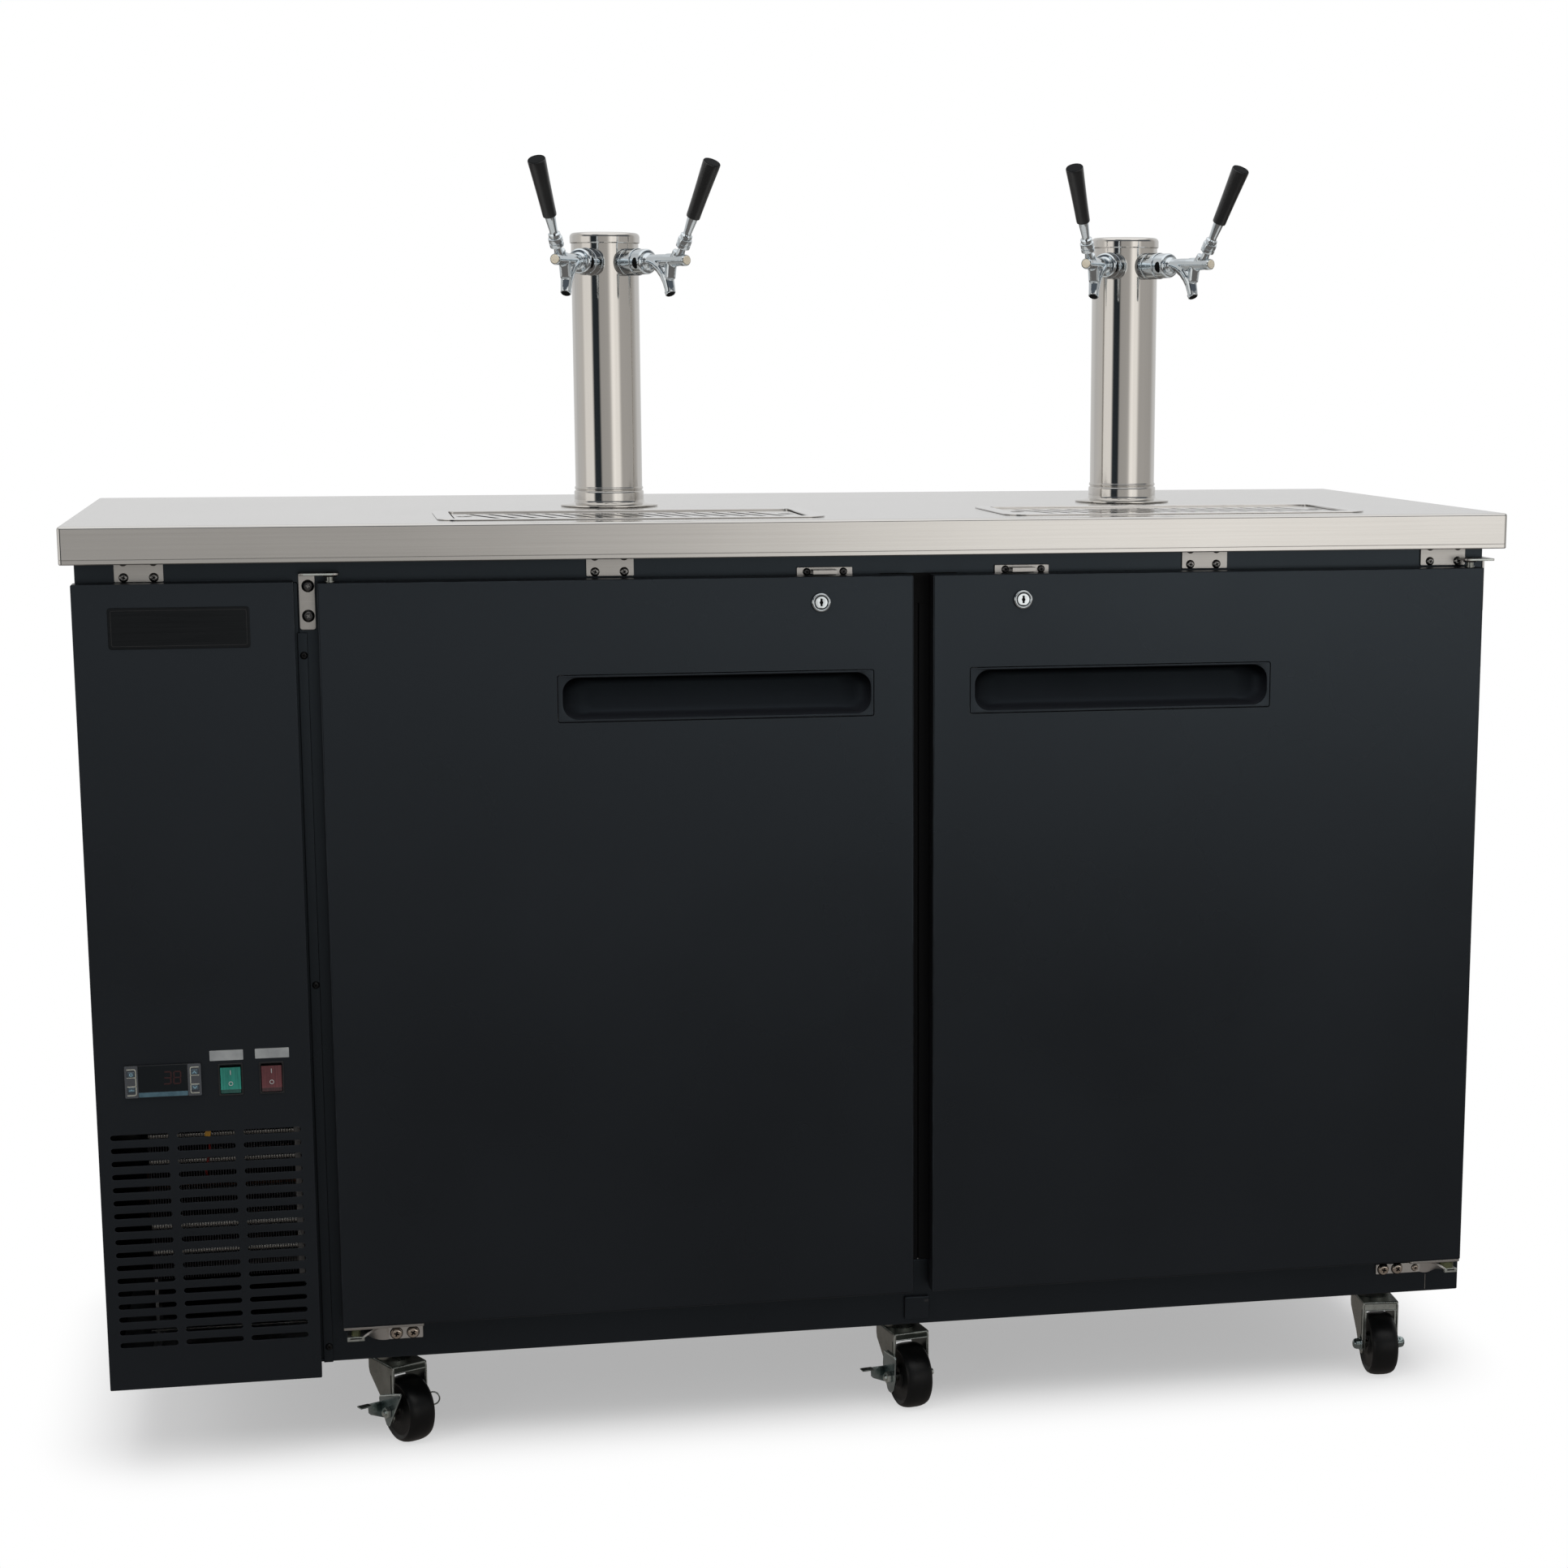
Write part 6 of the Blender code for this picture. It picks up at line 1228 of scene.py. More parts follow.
def make_case_fittings():
    """Seams and screws of the side and back sheets, which the photograph doesn't show."""
    fittings = Piece("case_side_and_back_seams")
    heads = []
    for number, y in enumerate((-0.235, -0.100, 0.035, 0.170, 0.275)):
        for z in (0.1450, 0.9600):
            spin = 31.0 * number + 200 * z
            heads += [((-CASE_HALF, y, z), (90.0, spin, -90.0)), ((CASE_HALF, y, z), (90.0, spin + 20, 90.0))]
    for number in range(7):
        x = -0.735 + 0.245 * number
        heads += [((x, CASE_BACK, z), (90.0, 40.0 * number + 90 * z, 180.0)) for z in (0.1450, 0.9750)]
    heads += [
        ((x, CASE_BACK, z), (90.0, 300 * z, 180.0))
        for x in (-0.745, -0.545) for z in (0.36, 0.56, 0.76)
    ]
    fittings.add_mesh(repeated(SCREW, heads, ZINC, 0.0042), ZINC)
    for side in (-1, 1):
        low, high = sorted((side * (CASE_HALF - 0.0010), side * (CASE_HALF + 0.00015)))
        for y in (-0.2500, 0.2895):
            fittings.block((low, y, 0.1240), (high, y + 0.0008, 1.0000), BREAKER_AND_PAINTED_SHADE, 0.0001)
    for x in (-0.7535, -0.5360, 0.7535):
        fittings.block(
            (x, CASE_BACK - 0.0010, 0.1240), (x + 0.0008, CASE_BACK + 0.00015, 1.0000), BREAKER_AND_PAINTED_SHADE, 0.0001,
        )
    drain = at(0.1165, CASE_BACK, 0.2300) @ spun("X", -90)
    fittings.turned(mm(0, -2, 13, -2, 13, 1.2, 9.5, 1.6, 7.8, 1.6, 7.4, 0, 0, 0), FAN_BLACK, drain, 32)
    fittings.ride("cabinet", slot="zinc_plate")


def add_twist(piece, start, end, toward_plate):
    """A flat bar that turns from lying to standing, between two ends given as (x, y, z, width)."""
    rings = []
    for step in range(9):
        share = step / 8
        x, y, z, wide = (a + (b - a) * share for a, b in zip(start, end))
        angle = math.radians(90 * share)
        along = Vector((0.0, -math.cos(angle), math.sin(angle))) * wide / 2
        across = Vector((0.0, math.sin(angle), math.cos(angle))) * 0.00125
        middle = Vector((x, y, z))
        near, far = middle - across, middle + across
        rings.append([near - along, near + along, far + along, far - along])
    # The bar takes the bracket steel with painted light.
    piece.loft(rings if toward_plate > 0 else rings[::-1], BRACKET_STEEL_PAINTED_LIGHT)


ARM_LOW, ARM_HIGH = 0.9731, 0.9756


def make_upper_hinge(side):
    """The arm over the door's top corner: on the left from a plate on the rail, else from the side."""
    pin = PINS[side]
    hinge = Piece(side + "_upper_hinge")
    front = PIN_Y - 0.0095
    if side == "left":
        arm = arc(pin + 0.0040, front + 0.0055, 0.0055, 270, 360, 4)
        arm += [(pin + 0.0095, PLATE_BACK), (-0.5375, PLATE_BACK)]
        arm += arc(-0.5345, front + 0.0030, 0.0030, 180, 270, 3)
        plate = arc(-0.5345, 0.9185, 0.0030, 180, 270, 4) + arc(-0.5240, 0.9185, 0.0030, 270, 360, 4)
        plate += [(-0.5210, ARM_HIGH - 0.0003), (-0.5375, ARM_HIGH - 0.0003)]
        hinge.front_plate([plate], PLATE_FRONT, PLATE_BACK, BRACKET_STEEL)
        add_screws(hinge, [(-0.5280, 0.9609), (-0.5284, 0.9299)], PLATE_FRONT, 0.0058, lining=PLATED_SCREW)
    else:
        arm = [(0.7633, front), (0.7633, -0.2310), (0.7609, -0.2310), (0.7609, -0.2710)]
        arm += arc(pin - 0.0055, -0.2750, 0.0040, 90, 180, 4)
        arm += arc(pin - 0.0040, front + 0.0055, 0.0055, 180, 270, 4)
        leg = spun("Z", 90) @ FACING_FRONT
        outline = [window(-0.2683, -0.2283, 0.9155, ARM_HIGH - 0.0003, 0.0015, 3)]
        hinge.plate(outline, 0.7608, 0.7633, BRACKET_STEEL, leg)
        heads = [
            ((0.7633, y, z), (90.0, 900 * z, 90.0))
            for y in (-0.2380, -0.2580) for z in (0.9270, 0.9590)
        ]
        hinge.add_mesh(repeated(SCREW, heads, DARK_SCREW, 0.0040), DARK_SCREW)
    hinge.plate([arm], ARM_LOW, ARM_HIGH, BRACKET_STEEL, edge=0.0005)
    # A painted highlight along the arm's front edge.
    edge = [-0.5325, pin + 0.0030] if side == "left" else [pin - 0.0030, 0.7620]
    hinge.block(
        (edge[0], front - 0.0002, ARM_LOW + 0.0003), (edge[1], front + 0.0004, ARM_HIGH - 0.0003),
        ZINC_PAINTED_HIGHLIGHT, 0.0002,
    )
    place = at(pin, PIN_Y)
    hinge.turned(mm(0, 971.4, 7, 971.4, 7.4, 972.2, 7, 973.1, 0, 973.1), DARK_SCREW, place, 32)
    hinge.turned(mm(0, 966.2, 5.2, 966.2, 5.2, 967.2, 0, 967.2), ZINC, place, 24)
    hinge.turned(mm(0, 951.5, 3.8, 951.5, 3.8, 975.2, 3, 976.2, 0, 976.3), ZINC, place, 24)
    hinge.ride("cabinet", side + "_top_hinge", slot="zinc_plate")


def make_lower_hinge(side):
    """The arm under the door's bottom corner, twisted out of a screw plate on the case."""
    pin = PINS[side]
    toward = 1 if side == "left" else -1
    hinge = Piece(side + "_lower_hinge")
    front = PIN_Y - 0.0095
    if side == "left":
        arm_end, twist_end, far, screws = -0.4965, -0.4705, -0.4338, [(-0.4622, 0.1500), (-0.4444, 0.1502)]
        low, high = 0.1434, 0.1578
    else:
        arm_end, twist_end, far, screws = 0.7330, 0.7125, 0.6587, [(0.6673, 0.1520), (0.6842, 0.1522)]
        low, high = 0.1462, 0.1578
    ends = sorted((pin - toward * 0.0095, arm_end))
    # The arm, twist and plate take the bracket steel with painted light. The arm's front edge is a painted
    # highlight.
    hinge.plate([window(*ends, front, -0.2716, 0.0030, 4)], 0.1536, 0.1560, BRACKET_STEEL_PAINTED_LIGHT, edge=0.0005)
    hinge.block((ends[0], front, 0.1518), (ends[1], front + 0.0012, 0.1566), ZINC_PAINTED_HIGHLIGHT, 0.0004)
    start = (arm_end - toward * 0.003, (front - 0.2716) / 2, 0.1548, -0.2716 - front)
    add_twist(hinge, start, (twist_end, -0.26985, (low + high) / 2, high - low), toward)
    plate_ends = sorted((twist_end - toward * 0.0002, far))
    hinge.front_plate([window(*plate_ends, low, high, 0.0012, 3)], PLATE_FRONT, PLATE_BACK, BRACKET_STEEL_PAINTED_LIGHT)
    add_screws(hinge, screws, PLATE_FRONT, 0.0062, WARM_SCREW)
    if side == "right":
        add_screws(hinge, [(0.7062, 0.1518)], PLATE_FRONT, 0.0038, WARM_SCREW)
    place = at(pin, PIN_Y)
    wide = 0.0047 if side == "left" else 0.0080
    bush = [(0.0, 0.1559), (wide, 0.1559), (wide, 0.1630), (wide - 0.0006, 0.1637), (0.0, 0.1637)]
    hinge.turned(bush, BUSH, place, 32)
    hinge.turned(mm(0, 150, 4, 150.6, 4, 181, 0, 181), ZINC, place, 24)
    hinge.ride("cabinet", side + "_bottom_hinge", slot="zinc_plate")


# ---- Compressor cover and its controls ------------------------------------------------------

CONTROL = (-0.733, -0.655, 0.4322, 0.467)
ROCKERS = {"green": (-0.6253, GREEN, GREEN_PAINTED_SHADE), "red": (-0.5833, RED, RED_PAINTED_SHADE)}
ROCKER_Z = 0.4473


def make_cover():
    """The cover in folded sheet: a slotted front, and a wall round it."""
    cover = Piece("compressor_cover_sheet")
    centre = ((COVER_LOW_X + COVER_HIGH_X) / 2, (COVER_LOW_Z + COVER_HIGH_Z) / 2)
    outline = window(COVER_LOW_X, COVER_HIGH_X, COVER_LOW_Z, COVER_HIGH_Z, 0.0012, 2)
    low_x, high_x, low_z, high_z = CONTROL
    rim = 0.0042
    cutouts = [window(low_x + rim, high_x - rim, low_z + rim, high_z - rim, 0.001, 2)]
    for place, *_ in ROCKERS.values():
        cutouts.append(window(place - 0.0108, place + 0.0108, ROCKER_Z - 0.0154, ROCKER_Z + 0.0154, 0.001, 2))
    row_middle = SLOT_TOP - (SLOT_ROWS - 1) / 2 * ROW_PITCH
    sheet = slotted_sheet(
        [outline, *cutouts], 0.0015, BLACK_PAINT, Columns=SLOT_COLUMNS, Rows=SLOT_ROWS,
        Column_span=(SLOT_COLUMNS - 1) * COLUMN_PITCH, Row_span=(SLOT_ROWS - 1) * ROW_PITCH,
        Slot_length=0.0595, Slot_width=0.0057, Slot_turn=(0.0, 0.0, 0.0), Centre=(centre[0], row_middle, 0.0),
    )
    cover.add_mesh(sheet, BLACK_PAINT, at(0.0, COVER_FRONT + 0.0015) @ FACING_FRONT, 0.0005)
    for inset, right, front in ((0.0015, 0.0015, COVER_FRONT + 0.0015), (0.0110, 0.0090, -0.2712)):
        within = window(
            COVER_LOW_X + inset, COVER_HIGH_X - right, COVER_LOW_Z + inset, COVER_HIGH_Z - inset, 0.0008, 2,
        )
        cover.front_plate([outline, hole(within)], front, PLATE_BACK, BLACK_PAINT, edge=0.0003)
    cover.ride("cabinet", "compressor_cover", slot="black_paint")


KEY_CELLS = {"upper": (0.4544, 0.4631), "lower": (0.4354, 0.4448)}
KEY_COLUMNS = {"left": (-0.7305, -0.7211, -0.7261), "right": (-0.6665, -0.6573, -0.6619)}


def digit_bars(middle_x, middle_z, half_wide, half_tall, lit):
    """The bars of one seven-part digit that are lit."""
    thick = 0.00075
    tall = half_tall / 2
    bars = {
        "top": (0.0, half_tall, half_wide, thick), "middle": (0.0, 0.0, half_wide, thick),
        "bottom": (0.0, -half_tall, half_wide, thick), "upper right": (half_wide, tall, thick, tall),
        "lower right": (half_wide, -tall, thick, tall), "upper left": (-half_wide, tall, thick, tall),
        "lower left": (-half_wide, -tall, thick, tall),
    }
    places = []
    for name in lit:
        across, up, wide, high = bars[name]
        x, z = middle_x + across + up * 0.06, middle_z + up
        places.append(window(x - wide * 0.9, x + wide * 0.9, z - high * 0.9, z + high * 0.9, 0.0003, 1))
    return places


def make_controller():
    """The temperature controller: dark window, plain dim digits, a grey field each side, four keys."""
    low_x, high_x, low_z, high_z = CONTROL
    front = -0.2994
    bezel = Piece("controller_bezel")
    middles = {"upper": 0.4578, "lower": 0.4413}
    wells = [
        hole(window(column[2] - 0.0040, column[2] + 0.0040, z - 0.0033, z + 0.0033, 0.0008, 2))
        for column in KEY_COLUMNS.values() for z in middles.values()
    ]
    face = window(low_x, high_x, low_z, high_z, 0.0016, 3)
    bezel.front_plate([face, *wells], front + 0.0006, COVER_FRONT - 0.0003, BEZEL, edge=0.0005)
    bezel.block(
        (low_x + 0.004, front + 0.0030, low_z + 0.004), (high_x - 0.004, -0.2504, high_z - 0.004), BEZEL,
        0.0006,
    )
    for number, (low, high) in enumerate(((low_x + 0.0002, -0.7194), (-0.6688, high_x - 0.0002))):
        film = window(low, high, low_z + 0.0003, high_z - 0.0003, 0.0012, 3)
        holes = wells[2 * number:2 * number + 2]
        bezel.front_plate([film, *holes], front + 0.0003, front + 0.0008, KEY_FILM, edge=0.0001, steps=1)
    bezel.front_plate(
        [window(-0.7190, -0.6692, 0.4384, 0.4664, 0.0006, 2)], front + 0.0004, front + 0.0008, SCREEN,
        edge=0.0001,
    )
    bezel.front_plate(
        [window(-0.7190, -0.6692, 0.4330, 0.4379, 0.0004, 1)], front + 0.0003, front + 0.0008, STRIP,
        edge=0.0001,
    )
    for column, (low, high, _) in KEY_COLUMNS.items():
        upright = (high - 0.0008, high) if column == "left" else (low, low + 0.0008)
        bars = [(*upright, KEY_CELLS["lower"][0] + 0.0016, KEY_CELLS["upper"][1] - 0.0016)]
        bars += [(low, high, z - 0.0004, z + 0.0004) for z in (KEY_CELLS["upper"][0], KEY_CELLS["lower"][1])]
        turned = 1 if column == "left" else -1
        corner_x = upright[0] + 0.0004 - turned * 0.0018
        ends = sorted((corner_x, low if column == "left" else high))
        bars += [(*ends, z - 0.0004, z + 0.0004) for z in (KEY_CELLS["upper"][1], KEY_CELLS["lower"][0])]
        for bar in bars:
            bezel.front_plate(
                [window(*bar, 0.0001, 1)], front + 0.0001, front + 0.0004, KEY_LINE, edge=0.00005, steps=1,
            )
        for z, start in ((KEY_CELLS["upper"][1] - 0.0018, 0), (KEY_CELLS["lower"][0] + 0.0018, -90)):
            if column == "right":
                start = 90 if start == 0 else 180
            bend = arc(corner_x, z, 0.0022, start, start + 90, 5)
            bend += arc(corner_x, z, 0.0014, start + 90, start, 5)
            bezel.front_plate([bend], front + 0.0001, front + 0.0004, KEY_LINE, edge=0.00005, steps=1)
    digits = digit_bars(
        -0.6895, 0.4528, 0.0036, 0.0064, ("top", "middle", "bottom", "upper right", "lower right"),
    )
    digits += digit_bars(
        -0.6795, 0.4528, 0.0034, 0.0064,
        ("top", "middle", "bottom", "upper right", "lower right", "upper left", "lower left"),
    )
    for bar in digits:
        bezel.front_plate([bar], front + 0.0003, front + 0.00042, DIGITS, edge=0.00003, steps=1)
    bezel.ride("cabinet", "controller", slot="control_black")
    signs = {
        ("left", "upper"): [circle(0.0018, 20), hole(circle(0.0010, 16))],
        ("left", "lower"): [mm(-2.6, -0.8, 2.6, -0.8, 2.6, 0, 0.8, 0, 0, 1.2, -1, 0, -2.6, 0)],
        ("right", "upper"): [mm(2.6, -1.4, 0, 1.6, -2.6, -1.4, -1.2, -1.4, 0, 0.2, 1.2, -1.4)],
        ("right", "lower"): [mm(-2.6, 1.4, 0, -1.6, 2.6, 1.4, 1.2, 1.4, 0, -0.2, -1.2, 1.4)],
    }
    for column, (_, _, x) in KEY_COLUMNS.items():
        for row, z in middles.items():
            key = Piece("key_cap_" + column + "_" + row)
            course = mm(1.2, 300.1, 0.6, 299.9, 0.2, 299.6, 0, 299.1, 0, 297.3)
            cap = window(x - 0.0038, x + 0.0038, z - 0.0031, z + 0.0031, 0.0010, 3)
            key.front_plate([cap], 0, 0, KEY, profile=course)
            sign = at(x, 0.0, z) @ FACING_FRONT
            key.plate(signs[column, row], 0.30005, 0.30018, KEY_SIGN, sign, 0.00003, 1)
            key.ride("key_" + column + "_" + row + "_button", "key_" + column + "_" + row, slot="key_grey")


def make_rockers():
    """Two lit rockers with I and O on them, each in its own thin frame."""
    frames = Piece("rocker_frames")
    for name, (x, finish, shaded_finish) in ROCKERS.items():
        outer = window(x - 0.0128, x + 0.0128, ROCKER_Z - 0.0175, ROCKER_Z + 0.0175, 0.0016, 3)
        inner = window(x - 0.0108, x + 0.0108, ROCKER_Z - 0.0154, ROCKER_Z + 0.0154, 0.0008, 2)
        frames.front_plate(
            [outer, hole(inner)], COVER_FRONT - 0.0012, COVER_FRONT - 0.0001, BEZEL, edge=0.0006,
        )
        # The switch's box behind the sheet, with room for the rocker to turn.
        box = window(x - 0.0124, x + 0.0124, ROCKER_Z - 0.0170, ROCKER_Z + 0.0170, 0.0012, 2)
        frames.front_plate([box, hole(inner)], COVER_FRONT + 0.0014, COVER_FRONT + 0.0142, BEZEL, edge=0.0002)
        frames.front_plate([box], COVER_FRONT + 0.0141, COVER_FRONT + 0.0155, BEZEL, edge=0.0004)
        rocker = Piece(name + "_rocker_cap")
        tilt = at(x, COVER_FRONT, ROCKER_Z) @ spun("X", 6.0)
        half = 0.0145
        faces = [
            (half * 0.99, 0.0034), (half * 0.70, 0.0025), (half * 0.4, 0.0018),
            (0.0, 0.0014), (-half * 0.4, 0.0018), (-half * 0.72, 0.0026),
            (-half * 0.74, 0.0005), (-half * 0.55, -0.0080), (half * 0.55, -0.0080),
        ]
        # The lower lip takes the darker copy of the colour, deepened as painted shade.
        foot = [(-half * 0.72, 0.0026), (-half * 0.98, 0.0034), (-half * 0.96, 0.0), (-half * 0.72, 0.0)]
        ends = [[(across, -out, up) for up, out in foot] for across in (-0.0102, 0.0102)]
        rocker.loft(ends, shaded_finish, tilt)
        rings = []
        for across, ease in ((-0.0104, 0.0004), (-0.0101, 0.0), (0.0101, 0.0), (0.0104, 0.0004)):
            rings.append([(across, -(out - ease), up * (1 - ease * 30)) for up, out in faces])
        rocker.loft(rings, finish, tilt)
        mark = tilt @ FACING_FRONT
        upper = mark @ at(0.0, 0.0083, 0.0022) @ spun("X", 9.0)
        lower = mark @ at(0.0, -0.0043, 0.0017) @ spun("X", -6.5)
        rocker.plate(
            [window(-0.0004, 0.0004, -0.0027, 0.0027, 0.0002, 1)], 0.0, 0.00055, PALE_INK, upper, 0.00005,
        )
        rocker.plate([circle(0.0023, 28), hole(circle(0.0017, 28))], 0.0, 0.0005, PALE_INK, lower, 0.00005)
        rocker.ride(name + "_rocker_switch", name + "_rocker", slot="rocker_" + name)
    frames.ride("cabinet", slot="control_black")


def make_cover_plates():
    """The bare badge and the two bare labels on the cover."""
    plates = Piece("cover_badge")
    outline = window(-0.7281, -0.5874, 0.9007, 0.9430, 0.0030, 4)
    plates.front_plate([outline], COVER_FRONT - 0.0010, COVER_FRONT, BADGE, edge=0.0005)
    border = window(-0.7253, -0.5902, 0.9035, 0.9402, 0.0020, 4)
    inner = hole(window(-0.7247, -0.5908, 0.9041, 0.9396, 0.0016, 4))
    plates.front_plate([border, inner], COVER_FRONT - 0.0012, COVER_FRONT - 0.0009, BEZEL, edge=0.0001)
    plates.ride("cabinet", slot="control_black")
    labels = Piece("cover_labels")
    for ends in ((-0.6460, -0.6117, 0.4679, 0.4789), (-0.5995, -0.5646, 0.4684, 0.4790)):
        labels.front_plate([window(*ends, 0.0006, 2)], COVER_FRONT - 0.0003, COVER_FRONT, LABEL, edge=0.0001)
    labels.ride("cabinet", slot="key_grey")


# ---- Condensing unit and evaporator ----------------------------------------------------------

COIL_FAN_X, COIL_FAN_Z = -0.635, 0.3122


def make_machine():
    """The condensing unit behind the slots: finned coil, shroud, motor, compressor and pipes."""
    fin = make_form(
        "coil fin", lambda piece: piece.block((-0.00045, 0.0, 0.0), (0.00045, 0.0440, 0.2050), FINS, 0.0002),
    )
    coil = Piece("condenser_coil")
    places = [((-0.7154 + 0.0028 * number, -0.2183, 0.2097), (0.0, 0.0, 0.0)) for number in range(54)]
    coil.add_mesh(repeated(fin, places, FINS), FINS)
    coil.block((-0.7180, -0.2183, 0.2070), (-0.7166, -0.1730, 0.4167), ENAMEL, 0.0005)
    coil.block((-0.5637, -0.2183, 0.2070), (-0.5568, -0.1730, 0.4167), GALVANISED, 0.0006)
    for number, z in enumerate((0.2390, 0.2680, 0.3050, 0.3405, 0.3690)):
        coil.rod([(-0.7165, -0.2122, z), (-0.5640, -0.2122, z)], 0.0046, TUBE, sides=14)
        coil.rod([(-0.7165, -0.1860, z), (-0.5640, -0.1860, z)], 0.0046, COPPER, sides=14)
        if number % 2 == 0:
            bend = arc(0.0, 0.0, 0.0131, -90, 90, 8)
            path = [(-0.5570 + across * 0.5, -0.1991 + along, z) for across, along in bend]
            coil.rod(path, 0.0046, COPPER, sides=14)
    coil.block((-0.7170, -0.1725, 0.2080), (-0.5530, -0.1435, 0.2110), GALVANISED, 0.0006)
    coil.block((-0.7170, -0.1725, 0.4130), (-0.5530, -0.1435, 0.4160), GALVANISED, 0.0006)
    mouth = circle(0.0720, 48, (COIL_FAN_X, COIL_FAN_Z))
    shroud = [window(-0.7170, -0.5530, 0.2080, 0.4160, 0.002, 2), hole(mouth)]
    coil.front_plate(shroud, -0.1735, -0.1715, GALVANISED, edge=0.0004)
    motor = at(COIL_FAN_X, -0.1455, COIL_FAN_Z) @ spun("X", -90)
    coil.turned(mm(0, 0, 26, 0, 30, 4, 30, 38, 27, 43.5, 0, 44), ENAMEL, motor, 40)
    for angle in (35, 145, 215, 325):
        turn = math.radians(angle)
        tip = (COIL_FAN_X + 0.079 * math.cos(turn), -0.1490, COIL_FAN_Z + 0.079 * math.sin(turn))
        coil.rod([(COIL_FAN_X, -0.1490, COIL_FAN_Z), tip], 0.0026, GALVANISED, sides=10)
    coil.block((-0.7230, -0.2183, 0.1250), (-0.5470, -0.1013, 0.1280), GALVANISED, 0.0008)
    for x in (-0.7180, -0.5560):
        coil.block((x, -0.2100, 0.1275), (x + 0.0040, -0.1500, 0.2080), GALVANISED, 0.0008)
    coil.ride("cabinet", "condenser", slot="coil_aluminium")

    fan = Piece("condenser_fan_blades")
    add_fan(fan, (COIL_FAN_X, -0.1593, COIL_FAN_Z), 0.0680, 0.0160, 0.0140, 5)
    fan.ride("condenser_fan_wheel", "condenser_fan", slot="machine_black")

    pump = Piece("compressor_shell")
    place = at(-0.648, 0.169)
    shell = mm(
        0, 145, 50, 145, 70, 152, 77, 166, 78, 180, 78, 226, 79.5, 228, 79.5, 234, 78, 236, 77.5, 268, 74,
        296, 64, 318, 44, 329, 20, 332, 0, 332.5,
    )
    pump.turned(shell, ENAMEL, place, 64)
    pump.block((-0.738, 0.079, 0.1430), (-0.558, 0.259, 0.1462), ENAMEL, 0.0010)
    for x in (-0.727, -0.569):
        for y in (0.090, 0.248):
            foot = at(x, y)
            pump.turned(
                mm(0, 125.2, 11, 125.2, 11, 130, 8.5, 134.5, 11, 139, 11, 143, 0, 143), TYRE, foot, 24,
            )
    pump.block((-0.6780, 0.0850, 0.2000), (-0.6180, 0.1000, 0.2500), FAN_BLACK, 0.0020)
    pump.ride("cabinet", "compressor", slot="machine_black")

    pipes = Piece("machine_bay_fittings")
    runs = (
        mm3(-560, -186, 385, -548, -150, 370, -548, 30, 360, -570, 120, 290),
        mm3(-700, -150, 224, -730, -50, 230, -735, 60, 260, -715, 125, 260),
    )
    for run in runs:
        pipes.rod(eased(run, 0.022, 5), 0.0032, COPPER, sides=12)
    tag = at(-0.6514, -0.2880, 0.3885) @ spun("Y", 8)
    pipes.block((-0.0030, -0.0005, -0.0034), (0.0030, 0.0005, 0.0034), TAG, 0.0003, tag)
    wire = mm3(-651.4, -287, 385, -650, -280, 370, -656, -270, 342, -652, -250, 325)
    pipes.rod(eased(wire, 0.006, 4), 0.0011, WIRE, sides=8)
    pipes.block((-0.7230, -0.2188, 0.1512), (-0.5470, -0.2180, 0.1528), TUBE, 0.0003)
    for x, z in ((-0.7187, 0.2035), (-0.7180, 0.1905)):
        pipes.block((x - 0.0012, -0.2300, z - 0.0020), (x + 0.0012, -0.2280, z + 0.0020), TUBE, 0.0003)
    pipes.ride("cabinet", slot="coil_aluminium")


def add_fan(piece, centre, radius, hub, depth, count):
    """Fan blades on a hub, in front of and behind a centre, about an axle along Y."""
    place = at(*centre) @ FACING_FRONT
    cap = [
        (0.0, -depth / 2), (hub, -depth / 2), (hub, depth / 2 - 0.003), (hub - 0.003, depth / 2),
        (0.0, depth / 2),
    ]
    piece.turned(cap, FAN_BLACK, place, 32)
    for number in range(count):
        turn = place @ spun("Z", 360 * number / count)
        rings = []
        for step in range(6):
            share = step / 5
            reach = hub * 0.9 + (radius - 0.001 - hub * 0.9) * share
            half = 0.010 + 0.006 * share
            pitch = math.radians(30 - 8 * share)
            ring = []
            for across, thick in (
                (-1.0, 0.0), (-0.4, 0.0008), (0.3, 0.0009), (1.0, 0.0), (0.3, -0.0006), (-0.4, -0.0006),
            ):
                sweep = across * half
                lift = thick + 0.0012 * (1 - across * across)
                x = reach * math.cos(sweep / reach * math.cos(pitch))
                y = reach * math.sin(sweep / reach * math.cos(pitch))
                height = max(-depth / 2, min(depth / 2, sweep * math.sin(pitch) * 0.7 + lift))
                ring.append((x, y, height))
            rings.append(ring)
        piece.loft(rings, FAN_BLACK, turn)


